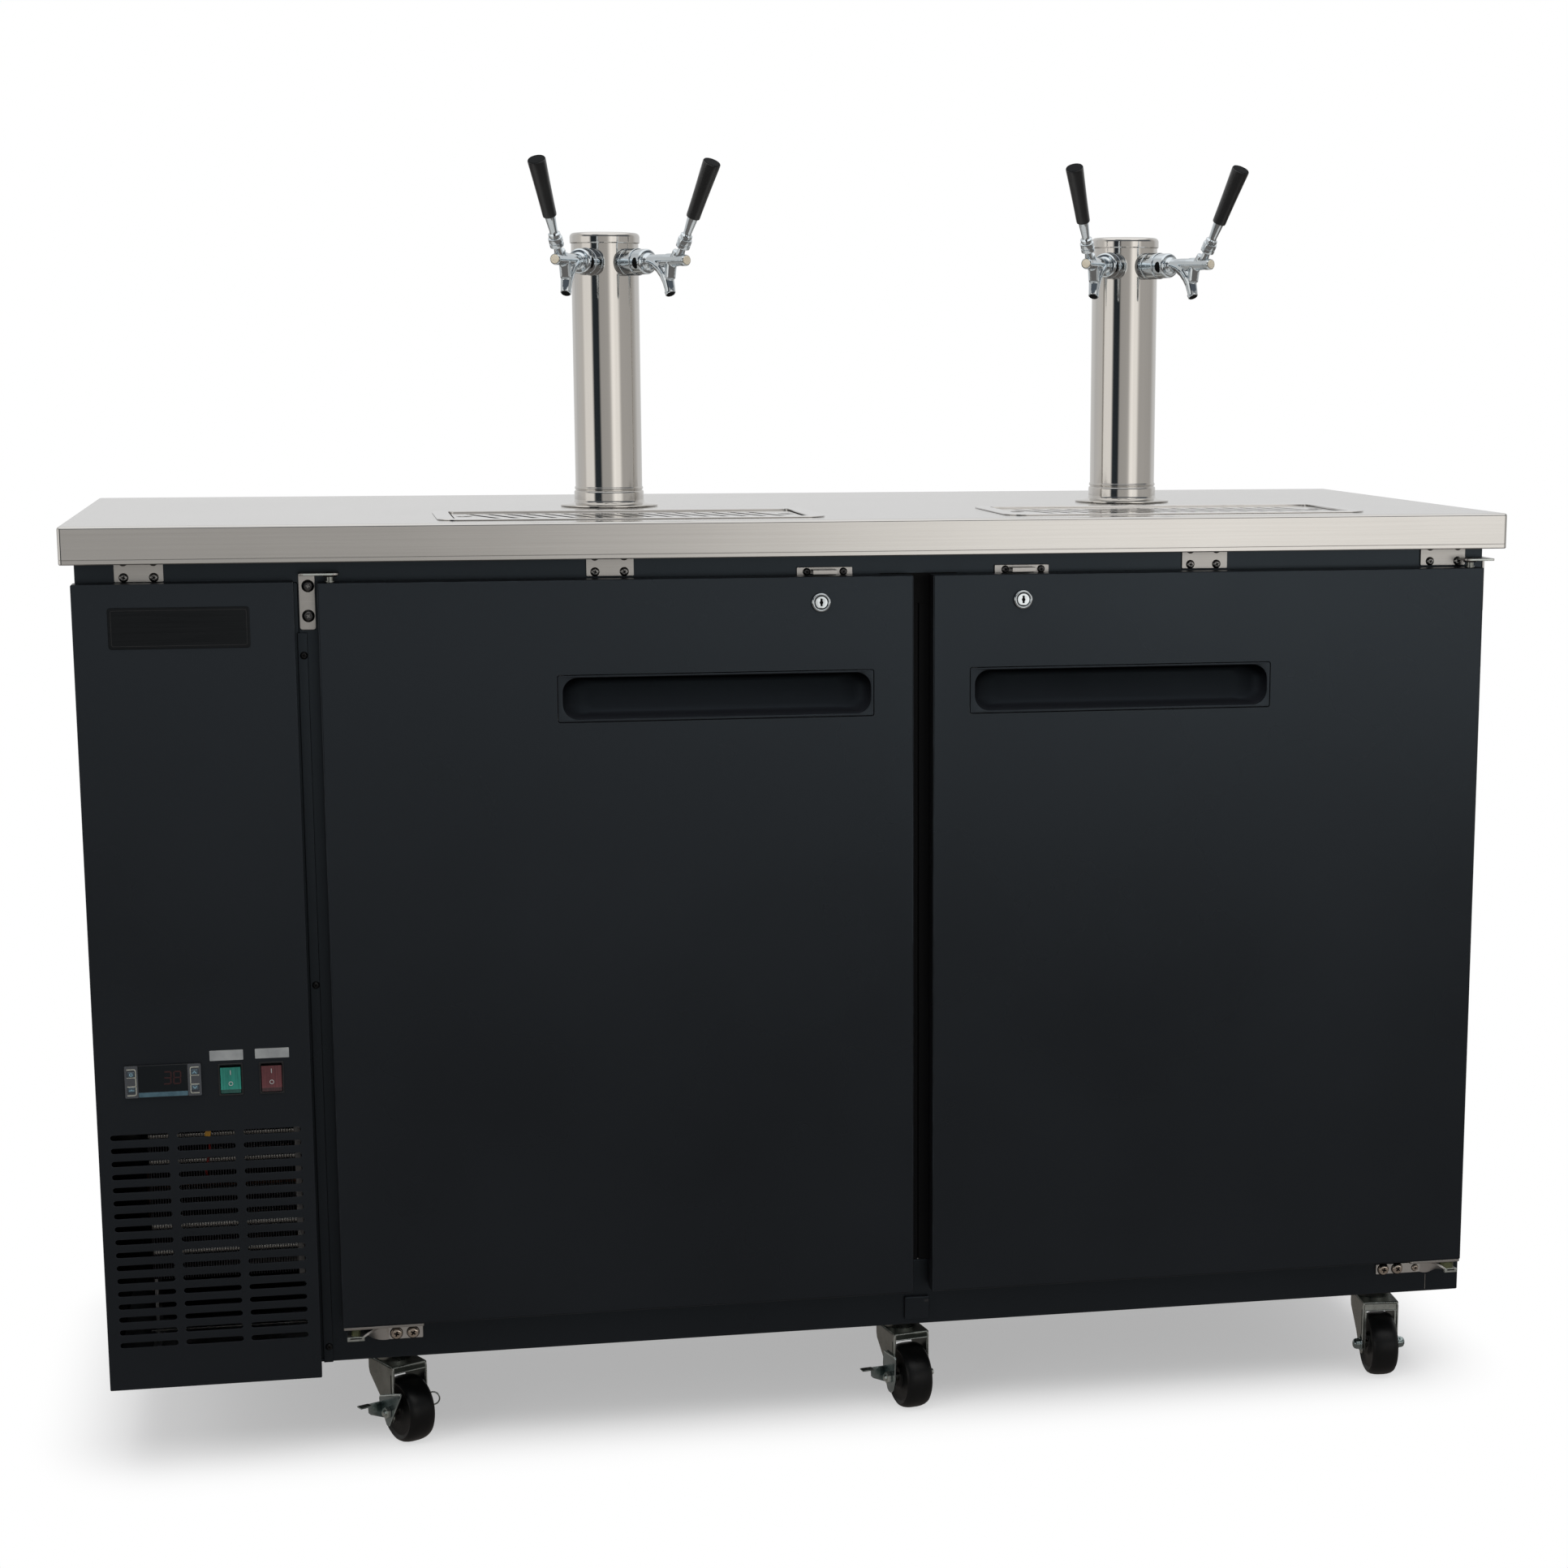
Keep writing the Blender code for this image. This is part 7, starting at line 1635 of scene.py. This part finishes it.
def make_evaporator():
    """The evaporator on the back wall: housing, fan opening, wire guard, slots, fins and fan."""
    housing = Piece("evaporator_case")
    fan = (0.1165, 0.829)
    outline = window(-0.0635, 0.2965, 0.7540, 0.9040, 0.004, 3)
    slots = []
    for side in (-1, 1):
        middle = fan[0] + side * 0.1170
        for row in range(7):
            low = 0.7760 + 0.016 * row
            slots.append(hole(window(middle - 0.045, middle + 0.045, low, low + 0.0060, 0.0029, 4)))
    housing.front_plate([outline, hole(circle(0.0525, 48, fan)), *slots], 0.1402, 0.1422, LINER, edge=0.0005)
    wall = [outline, hole(window(-0.0615, 0.2945, 0.7560, 0.9020, 0.003, 2))]
    housing.front_plate(wall, 0.1421, 0.2502, LINER, edge=0.0003)
    for radius in (0.015, 0.027, 0.039, 0.051):
        path = [(fan[0] + x, 0.1412, fan[1] + y) for x, y in circle(radius, 32)]
        path.append(path[0])
        housing.rod(path, 0.0008, ZINC, sides=8)
    for angle in range(0, 180, 45):
        x, y = 0.054 * math.cos(math.radians(angle)), 0.054 * math.sin(math.radians(angle))
        housing.rod(
            [(fan[0] - x, 0.1421, fan[1] - y), (fan[0] + x, 0.1421, fan[1] + y)], 0.0009, ZINC, sides=8,
        )
    fin = make_form(
        "evaporator fin",
        lambda piece: piece.block((-0.0002, 0.0, 0.0), (0.0002, 0.0600, 0.1340), FINS, 0.0001),
    )
    places = [((-0.0550 + 0.0060 * number, 0.1850, 0.7620), (0.0, 0.0, 0.0)) for number in range(58)]
    housing.add_mesh(repeated(fin, places, FINS), FINS)
    housing.ride("cabinet", "evaporator_housing", slot="liner_aluminium")
    wheel = Piece("evaporator_fan_blades")
    add_fan(wheel, (fan[0], 0.1562, fan[1]), 0.0500, 0.0120, 0.0130, 5)
    wheel.ride("evaporator_fan_wheel", "evaporator_fan", slot="machine_black")


# ---- Underside and casters --------------------------------------------------------------------

CROWN_LOW, CROWN_HIGH = 0.0869, 0.0899
AXLE = Vector((0.0, -0.030, 0.0375))


def make_bottom():
    """The bottom panel with the casters' mount plates, kingpins and bolts."""
    panel = Piece("bottom_sheet")
    panel.plate(
        [rounded(0.7485, 0.27315, 0.004, 3, (0.0, 0.01685))], 0.1187, 0.1214, BLACK_PAINT, edge=0.0006,
    )
    bolts = []
    for x, y, _ in CASTERS.values():
        outline = [rounded(0.046, 0.033, 0.004, 4, (x, y))]
        panel.plate(outline, 0.1157, 0.1187, ZINC, edge=0.0005)
        place = at(x, y)
        panel.turned(mm(0, 118.5, 6, 118.5, 6, 86.4, 0, 86.4), ZINC, place, 24)
        panel.plate([circle(0.010, 6)], 0.0826, 0.0866, ZINC, place, 0.0008)
        bolts += [
            ((x + a * 0.0375, y + b * 0.0245, 0.1157), (180.0, 0.0, 15.0))
            for a in (-1, 1) for b in (-1, 1)
        ]
    panel.add_mesh(repeated(HEX, bolts, ZINC, 0.0052), ZINC)
    panel.ride("cabinet", "bottom_panel", slot="black_paint")


def ordered(outline):
    """The outline, anticlockwise."""
    area = sum(a[0] * b[1] - b[0] * a[1] for a, b in zip(outline, outline[1:] + outline[:1]))
    return outline if area > 0 else outline[::-1]


def caster_place(name):
    x, y, angle = CASTERS[name]
    return at(x, y) @ spun("Z", angle)


SIDEWAYS = spun("Z", -90) @ FACING_FRONT


def make_caster(name):
    place = caster_place(name)
    axle = at(*AXLE)
    fork = Piece(name + "_fork_steel")
    race = mm(
        7, 115.2, 20, 115.4, 23.2, 114.6, 24, 113, 24, 109, 22.8, 107, 20.8, 106, 20.4, 104.8, 21.8, 103.6,
        22.4, 101.6, 22, 99, 20.6, 96, 20, 90, 20, 88.6, 7, 88.4,
    )
    rings = [[(x, y, height) for x, y in circle(radius, 48)] for radius, height in race]
    fork.loft(rings, ZINC, place, closed=True)
    # Painted shade and light: the crown, the plain aprons and the ribs take the zinc with painted shade. The
    # capped casters' apron, the edge rods and the nuts take the zinc with painted highlight.
    crown = arc(-0.0185, -0.0325, 0.0030, 180, 270, 4) + arc(0.0185, -0.0325, 0.0030, 270, 360, 4)
    crown += mm(21.5, 17, 15, 23.5, -15, 23.5, -21.5, 17)
    fork.plate([crown, hole(circle(0.0068, 24))], CROWN_LOW, CROWN_HIGH, ZINC_PAINTED_SHADE, place, 0.0009)
    capped = name.endswith("right")
    apron_low, apron_finish = (0.0790, ZINC_PAINTED_HIGHLIGHT) if capped else (0.0818, ZINC_PAINTED_SHADE)
    apron = window(-0.0212, 0.0212, apron_low, CROWN_HIGH - 0.0004, 0.0006, 2)
    fork.plate([apron], 0.0326, 0.0350, apron_finish, place @ FACING_FRONT, 0.0004)
    for z in (apron_low + 0.0002, CROWN_HIGH - 0.0012):
        fork.rod([(-0.0196, -0.0348, z), (0.0196, -0.0348, z)], 0.0009, ZINC_PAINTED_HIGHLIGHT, place, 10)
    leg = [(-0.0352, 0.0290), (-0.0352, CROWN_HIGH - 0.0006), (0.0190, CROWN_HIGH - 0.0006), (0.0205, 0.0880)]
    leg += mm(20.5, 76, 18.5, 70, -7, 47, -18, 33, -21.5, 27.5)
    leg += [(-0.0260, 0.0256), (-0.0325, 0.0256)]
    outline = ordered([(-along, up) for along, up in leg])
    # One leg takes the plain zinc and the other the zinc with painted shade. The rims are painted highlights.
    for side in (-1, 1):
        low, high = sorted((side * 0.0187, side * 0.0215))
        fork.plate([outline], -high, -low, ZINC if side < 0 else ZINC_PAINTED_SHADE, place @ SIDEWAYS, 0.0005)
        rim = [(side * x, y, z) for x, y, z in mm3(20.8, -34.6, 30, 20.8, -34.6, 85, 19.6, -34.4, 88.2)]
        fork.rod(rim, 0.0011, ZINC_PAINTED_HIGHLIGHT, place, 10)
        if capped:
            low, high = sorted((side * 0.0170, side * 0.0206))
            fork.block((low, -0.0351, 0.0300), (high, -0.0338, 0.0830), ZINC_PAINTED_HIGHLIGHT, 0.0004, place)
        rib = mm(4, 80, 4, 52, 7.5, 44)
        fork.rod([(side * 0.0213, -0.0352 + y, z) for y, z in rib], 0.0007, ZINC_PAINTED_SHADE, place, 8)
    fork.rod([(-0.0240, 0, 0), (0.0240, 0, 0)], 0.0042, ZINC, place @ axle, 16)
    if capped:
        for side in (-1, 1):
            nut = at(side * 0.0214, 0.0) @ spun("Y", side * 90)
            dome = mm(0, 0, 8, 0, 8.2, 1, 7.8, 2.2, 6.6, 2.6, 6.4, 6, 5.6, 8.2, 3.6, 9.6, 0, 10)
            fork.turned(dome, BRIGHT_ZINC, place @ axle @ nut, 32)
    else:
        inner = -0.0245 if name in BRAKED else -0.0215
        nuts = [((inner, 0.0, 0.0), (0.0, -90.0, 0.0)), ((0.0215, 0.0, 0.0), (0.0, 90.0, 0.0))]
        fork.add_mesh(repeated(HEX, nuts, ZINC_PAINTED_HIGHLIGHT, 0.0070), ZINC_PAINTED_HIGHLIGHT, place @ axle)
    if name == "front_left":
        ring = [(0.0310 - 0.0062 * y / 0.0074, y * 0.55, z + 0.0040) for y, z in circle(0.0074, 28)]
        fork.rod([*ring, ring[0]], 0.0009, ZINC_PAINTED_HIGHLIGHT, place @ axle, 8)
        fork.rod([(0.0230, 0.0, -0.0020), (0.0310, 0.0, -0.0034)], 0.0009, ZINC_PAINTED_HIGHLIGHT, place @ axle, 8)
    fork.ride(name + "_swivel", name + "_caster_fork", slot="zinc_plate")

    wheel = Piece(name + "_wheel_tread")
    spin = place @ axle @ spun("Y", 90)
    flank = mm(
        5, -15, 12, -15.8, 13.5, -14.6, 15, -13.5, 27, -13, 29, -14, 32.2, -15.5, 34.6, -14, 36.2, -11.2,
        37.1, -7.5, 37.5, -3.5,
    )
    tread = flank + [(radius, -height) for radius, height in reversed(flank)]
    rings = [[(x, y, height) for x, y in circle(radius, 72)] for radius, height in tread]
    wheel.loft(rings, TYRE, spin, closed=True)
    wheel.ride(name + "_wheel", name + "_caster_wheel", slot="tread_black")


def make_pedal(name):
    """The brake pedal: a pressed three-cornered plate on the axle, with a bent tab to stand on."""
    axle = caster_place(name) @ at(*AXLE)
    pedal = Piece(name + "_pedal")
    outline = mm(
        27, 24, 26.8, 27.5, 24, 28.4, -20, 14.2, -23.2, 11.2, -22.8, 6, -7.5, -16.8, -4.5, -18.1, -1.2, -17,
    )
    rim = [(-0.0236, -0.0262, 0.0272), (-0.0236, 0.0210, 0.0126)]
    if name == "front_middle":
        outline = mm(
            15, 25, 13.5, 27.5, 10, 28.4, -18.5, 26.2, -21.5, 23.5, -23.2, 11.2, -22.8, 6, -9, -16.8, -4.5,
            -19, 2, -18.8, 9, -13, 14, 0,
        )
        rim = [(-0.0236, -0.0130, 0.0272), (-0.0236, 0.0185, 0.0252)]
    pedal.plate(
        [ordered(outline), hole(circle(0.0046, 20))], 0.0221, 0.0243, BRIGHT_ZINC, axle @ SIDEWAYS, 0.0007,
    )
    # A painted highlight along the pedal's rim.
    pedal.rod(rim, 0.0012, ZINC_PAINTED_HIGHLIGHT, axle, 10)
    flange = mm(-43, 9.8, -42.5, -1, -40, -3.5, -22.8, -10.5, -22.8, 9.8)
    pedal.plate([ordered(flange)], -0.0145, -0.0125, BRIGHT_ZINC, axle @ FACING_FRONT, 0.0006)
    # The pedal's lower tab takes the zinc with painted shade.
    pedal.block((-0.0555, 0.0060, 0.0080), (-0.0415, 0.0160, 0.0098), ZINC_PAINTED_SHADE, 0.0008, axle)
    pedal.ride(name + "_brake", name + "_brake_pedal", slot="zinc_plate")


# ---- Stage -----------------------------------------------------------------------------------

def make_camera():
    """The camera of the photograph, fitted to the cabinet's corners."""
    yaw, pitch, roll = 0.2043, 0.181, 0.0019
    ahead = Vector((math.sin(yaw) * math.cos(pitch), math.cos(yaw) * math.cos(pitch), -math.sin(pitch)))
    level = Vector((math.cos(yaw), -math.sin(yaw), 0.0))
    above = level.cross(ahead)
    right = math.cos(roll) * level + math.sin(roll) * above
    up = math.cos(roll) * above - math.sin(roll) * level
    data = bpy.data.cameras.new("camera")
    data.sensor_width, data.lens = 36.0, 68.24
    data.shift_x, data.shift_y = -0.0971, 0.0725
    data.clip_end = 60.0
    camera = put_in_scene("camera", data)
    turn = Matrix((right, up, -ahead)).transposed().to_4x4()
    camera.matrix_world = at(-0.5161, -3.4184, 1.1982) @ turn
    bpy.context.scene.camera = camera


# How bright the studio is all round, as (degrees from -Y towards +X, brightness)
STUDIO = (
    (-180, 0.74), (-140, 0.70), (-134, 0.62), (-94, 0.66), (-86, 0.95), (-58, 0.98), (-51, 0.035),
    (-32, 0.030), (-26, 0.44), (-8, 0.46), (0, 0.48), (4, 0.56), (8, 0.78), (12, 1.10),
    (17, 1.22), (22, 1.14), (34, 1.08), (44, 0.50), (100, 0.46), (118, 0.70), (180, 0.74),
)
STUDIO_BAND = (0.10, 0.112, 0.128)
STUDIO_CEILING = (1.12, 1.12, 1.12)
STUDIO_GROUND = (0.40, 0.385, 0.36)
EVEN_LIGHT = (0.52, 0.52, 0.53)
WHITE = (1.0, 1.0, 1.0)


def mix_shaders(tree, share, first, second):
    mix = tree.nodes.new("ShaderNodeMixShader")
    for socket, value in zip(mix.inputs, (share, first, second)):
        tree.links.new(value, socket)
    return mix.outputs[0]


def by_ray(tree, seen, mirrored, other):
    """One shader for what the camera sees, one for reflections and one for all other light."""
    path = tree.nodes.new("ShaderNodeLightPath").outputs
    unseen = mix_shaders(tree, path["Is Glossy Ray"], other, mirrored)
    straight = add_math(tree, "MAXIMUM", path["Is Camera Ray"], path["Is Transmission Ray"])
    return mix_shaders(tree, straight, unseen, seen)


def plain_shader(tree, kind, colour, **sockets):
    return add_node(tree, kind, Color=(*colour, 1.0), **sockets).outputs[0]


def add_smooth(tree, value, low, high):
    """A soft step between two values."""
    step = add_range(tree, value, low, high)
    step.node.interpolation_type = "SMOOTHSTEP"
    return step


def make_world():
    """A white room for the camera, a studio of soft panels for reflections, and even grey light."""
    world = bpy.data.worlds.new("studio")
    bpy.context.scene.world = world
    world.use_nodes = True
    tree = world.node_tree
    tree.nodes.clear()
    way = tree.nodes.new("ShaderNodeTexCoord")
    parts = tree.nodes.new("ShaderNodeSeparateXYZ")
    tree.links.new(way.outputs["Generated"], parts.inputs["Vector"])
    to_front = add_math(tree, "MULTIPLY", parts.outputs["Y"], -1.0)
    around = add_math(tree, "ARCTAN2", parts.outputs["X"], to_front)
    share = add_range(tree, around, -math.pi, math.pi)
    ramp = tree.nodes.new("ShaderNodeValToRGB")
    tree.links.new(share, ramp.inputs["Fac"])
    stops = ramp.color_ramp.elements
    while len(stops) < len(STUDIO):
        stops.new(0.5)
    for stop, (angle, level) in zip(stops, STUDIO):
        stop.position = (angle + 180) / 360
        warm = 0.0 if abs(angle) > 110 else 1.0
        stop.color = (level, level * (1 - 0.028 * warm), level * (1 - 0.065 * warm), 1.0)
        if level < 0.1:
            stop.color = (level * 0.72, level * 0.92, level * 1.10, 1.0)
    height = parts.outputs["Z"]
    rising = add_smooth(tree, height, 0.20, 0.27)
    falling = add_smooth(tree, height, 0.62, 0.48)
    in_front = add_smooth(tree, to_front, -0.10, 0.15)
    band = add_math(tree, "MULTIPLY", add_math(tree, "MULTIPLY", rising, falling), in_front)
    panels = add_mix(tree, band, ramp.outputs["Color"], STUDIO_BAND)
    panels = add_mix(tree, add_smooth(tree, height, 0.62, 0.80), panels, STUDIO_CEILING)
    panels = add_mix(tree, add_range(tree, height, -0.28, -0.50), panels, STUDIO_GROUND)
    even = plain_shader(tree, "ShaderNodeBackground", EVEN_LIGHT)
    studio = add_node(tree, "ShaderNodeBackground", Color=panels).outputs[0]
    white = plain_shader(tree, "ShaderNodeBackground", WHITE)
    result = tree.nodes.new("ShaderNodeOutputWorld")
    tree.links.new(by_ray(tree, white, studio, even), result.inputs["Surface"])


# Where the floor's shadow is whole, as half sizes about a middle, and how far outside it fades to white
SHADOW_HALF = (0.715, 0.215)
SHADOW_MIDDLE = (0.0, 0.10)
SHADOW_FADE = (0.16, 0.225)
FLOOR_IN_MIRROR = (0.168, 0.154, 0.144)


def make_floor():
    """A pale floor that is white to the camera and keeps the cabinet's soft shadow."""
    mesh = bpy.data.meshes.new("floor")
    reach = 6.0
    corners = [(-reach, -reach, 0), (reach, -reach, 0), (reach, reach, 0), (-reach, reach, 0)]
    mesh.from_pydata(corners, [], [(0, 1, 2, 3)])
    floor = put_in_scene("floor", mesh)
    material = bpy.data.materials.new("pale floor")
    material.use_nodes = True
    tree = material.node_tree
    tree.nodes.clear()
    place = tree.nodes.new("ShaderNodeTexCoord")
    parts = tree.nodes.new("ShaderNodeSeparateXYZ")
    tree.links.new(place.outputs["Object"], parts.inputs["Vector"])
    squares = []
    for axis, middle, half, fade in zip("XY", SHADOW_MIDDLE, SHADOW_HALF, SHADOW_FADE):
        away = add_math(tree, "ABSOLUTE", add_math(tree, "SUBTRACT", parts.outputs[axis], middle))
        outside = add_math(tree, "MAXIMUM", add_math(tree, "SUBTRACT", away, half), 0.0)
        squares.append(add_math(tree, "POWER", add_math(tree, "DIVIDE", outside, fade), 2.0))
    far = add_smooth(tree, add_math(tree, "SQRT", add_math(tree, "ADD", *squares)), 0.0, 1.0)
    near = tree.nodes.new("ShaderNodeAddShader")
    tree.links.new(plain_shader(tree, "ShaderNodeBsdfDiffuse", (0.60, 0.60, 0.60)), near.inputs[0])
    tree.links.new(plain_shader(tree, "ShaderNodeEmission", WHITE, Strength=0.40), near.inputs[1])
    white = plain_shader(tree, "ShaderNodeEmission", WHITE, Strength=1.0)
    shown = mix_shaders(tree, far, near.outputs[0], white)
    mirrored = plain_shader(tree, "ShaderNodeEmission", FLOOR_IN_MIRROR, Strength=1.0)
    bounce = plain_shader(tree, "ShaderNodeBsdfDiffuse", (0.55, 0.55, 0.55))
    result = tree.nodes.new("ShaderNodeOutputMaterial")
    tree.links.new(by_ray(tree, shown, mirrored, bounce), result.inputs["Surface"])
    mesh.materials.append(material)


LAMP_AIM = Vector((0.0, 0.0, 0.6))


def make_lamps():
    """Two large soft lamps, high in front and to the left; reflections come from the studio alone."""
    for name, place, size, power in (
        ("overhead lamp", (0.3, -1.2, 3.6), 3.2, 62.0),
        ("side lamp", (-3.0, -2.6, 2.2), 1.8, 24.0),
    ):
        data = bpy.data.lights.new(name, "AREA")
        data.size, data.energy = size, power
        lamp = put_in_scene(name, data)
        toward = (LAMP_AIM - Vector(place)).to_track_quat("-Z", "Y")
        lamp.matrix_world = at(*place) @ toward.to_matrix().to_4x4()
        lamp.visible_glossy = False


make_worktop()
make_hold_downs()
make_trays()
for side in TOWERS:
    make_tower(side)
    make_door(side)
    make_lock(side)
make_case()
make_liner()
make_mullion()
make_front_details()
make_case_fittings()
for side in DOORS:
    make_upper_hinge(side)
    make_lower_hinge(side)
make_cover()
make_controller()
make_rockers()
make_cover_plates()
make_machine()
make_evaporator()
make_bottom()
for caster in CASTERS:
    make_caster(caster)
for caster in BRAKED:
    make_pedal(caster)
make_camera()
make_world()
make_floor()
make_lamps()

scene = bpy.context.scene
scene.view_settings.view_transform = "Standard"
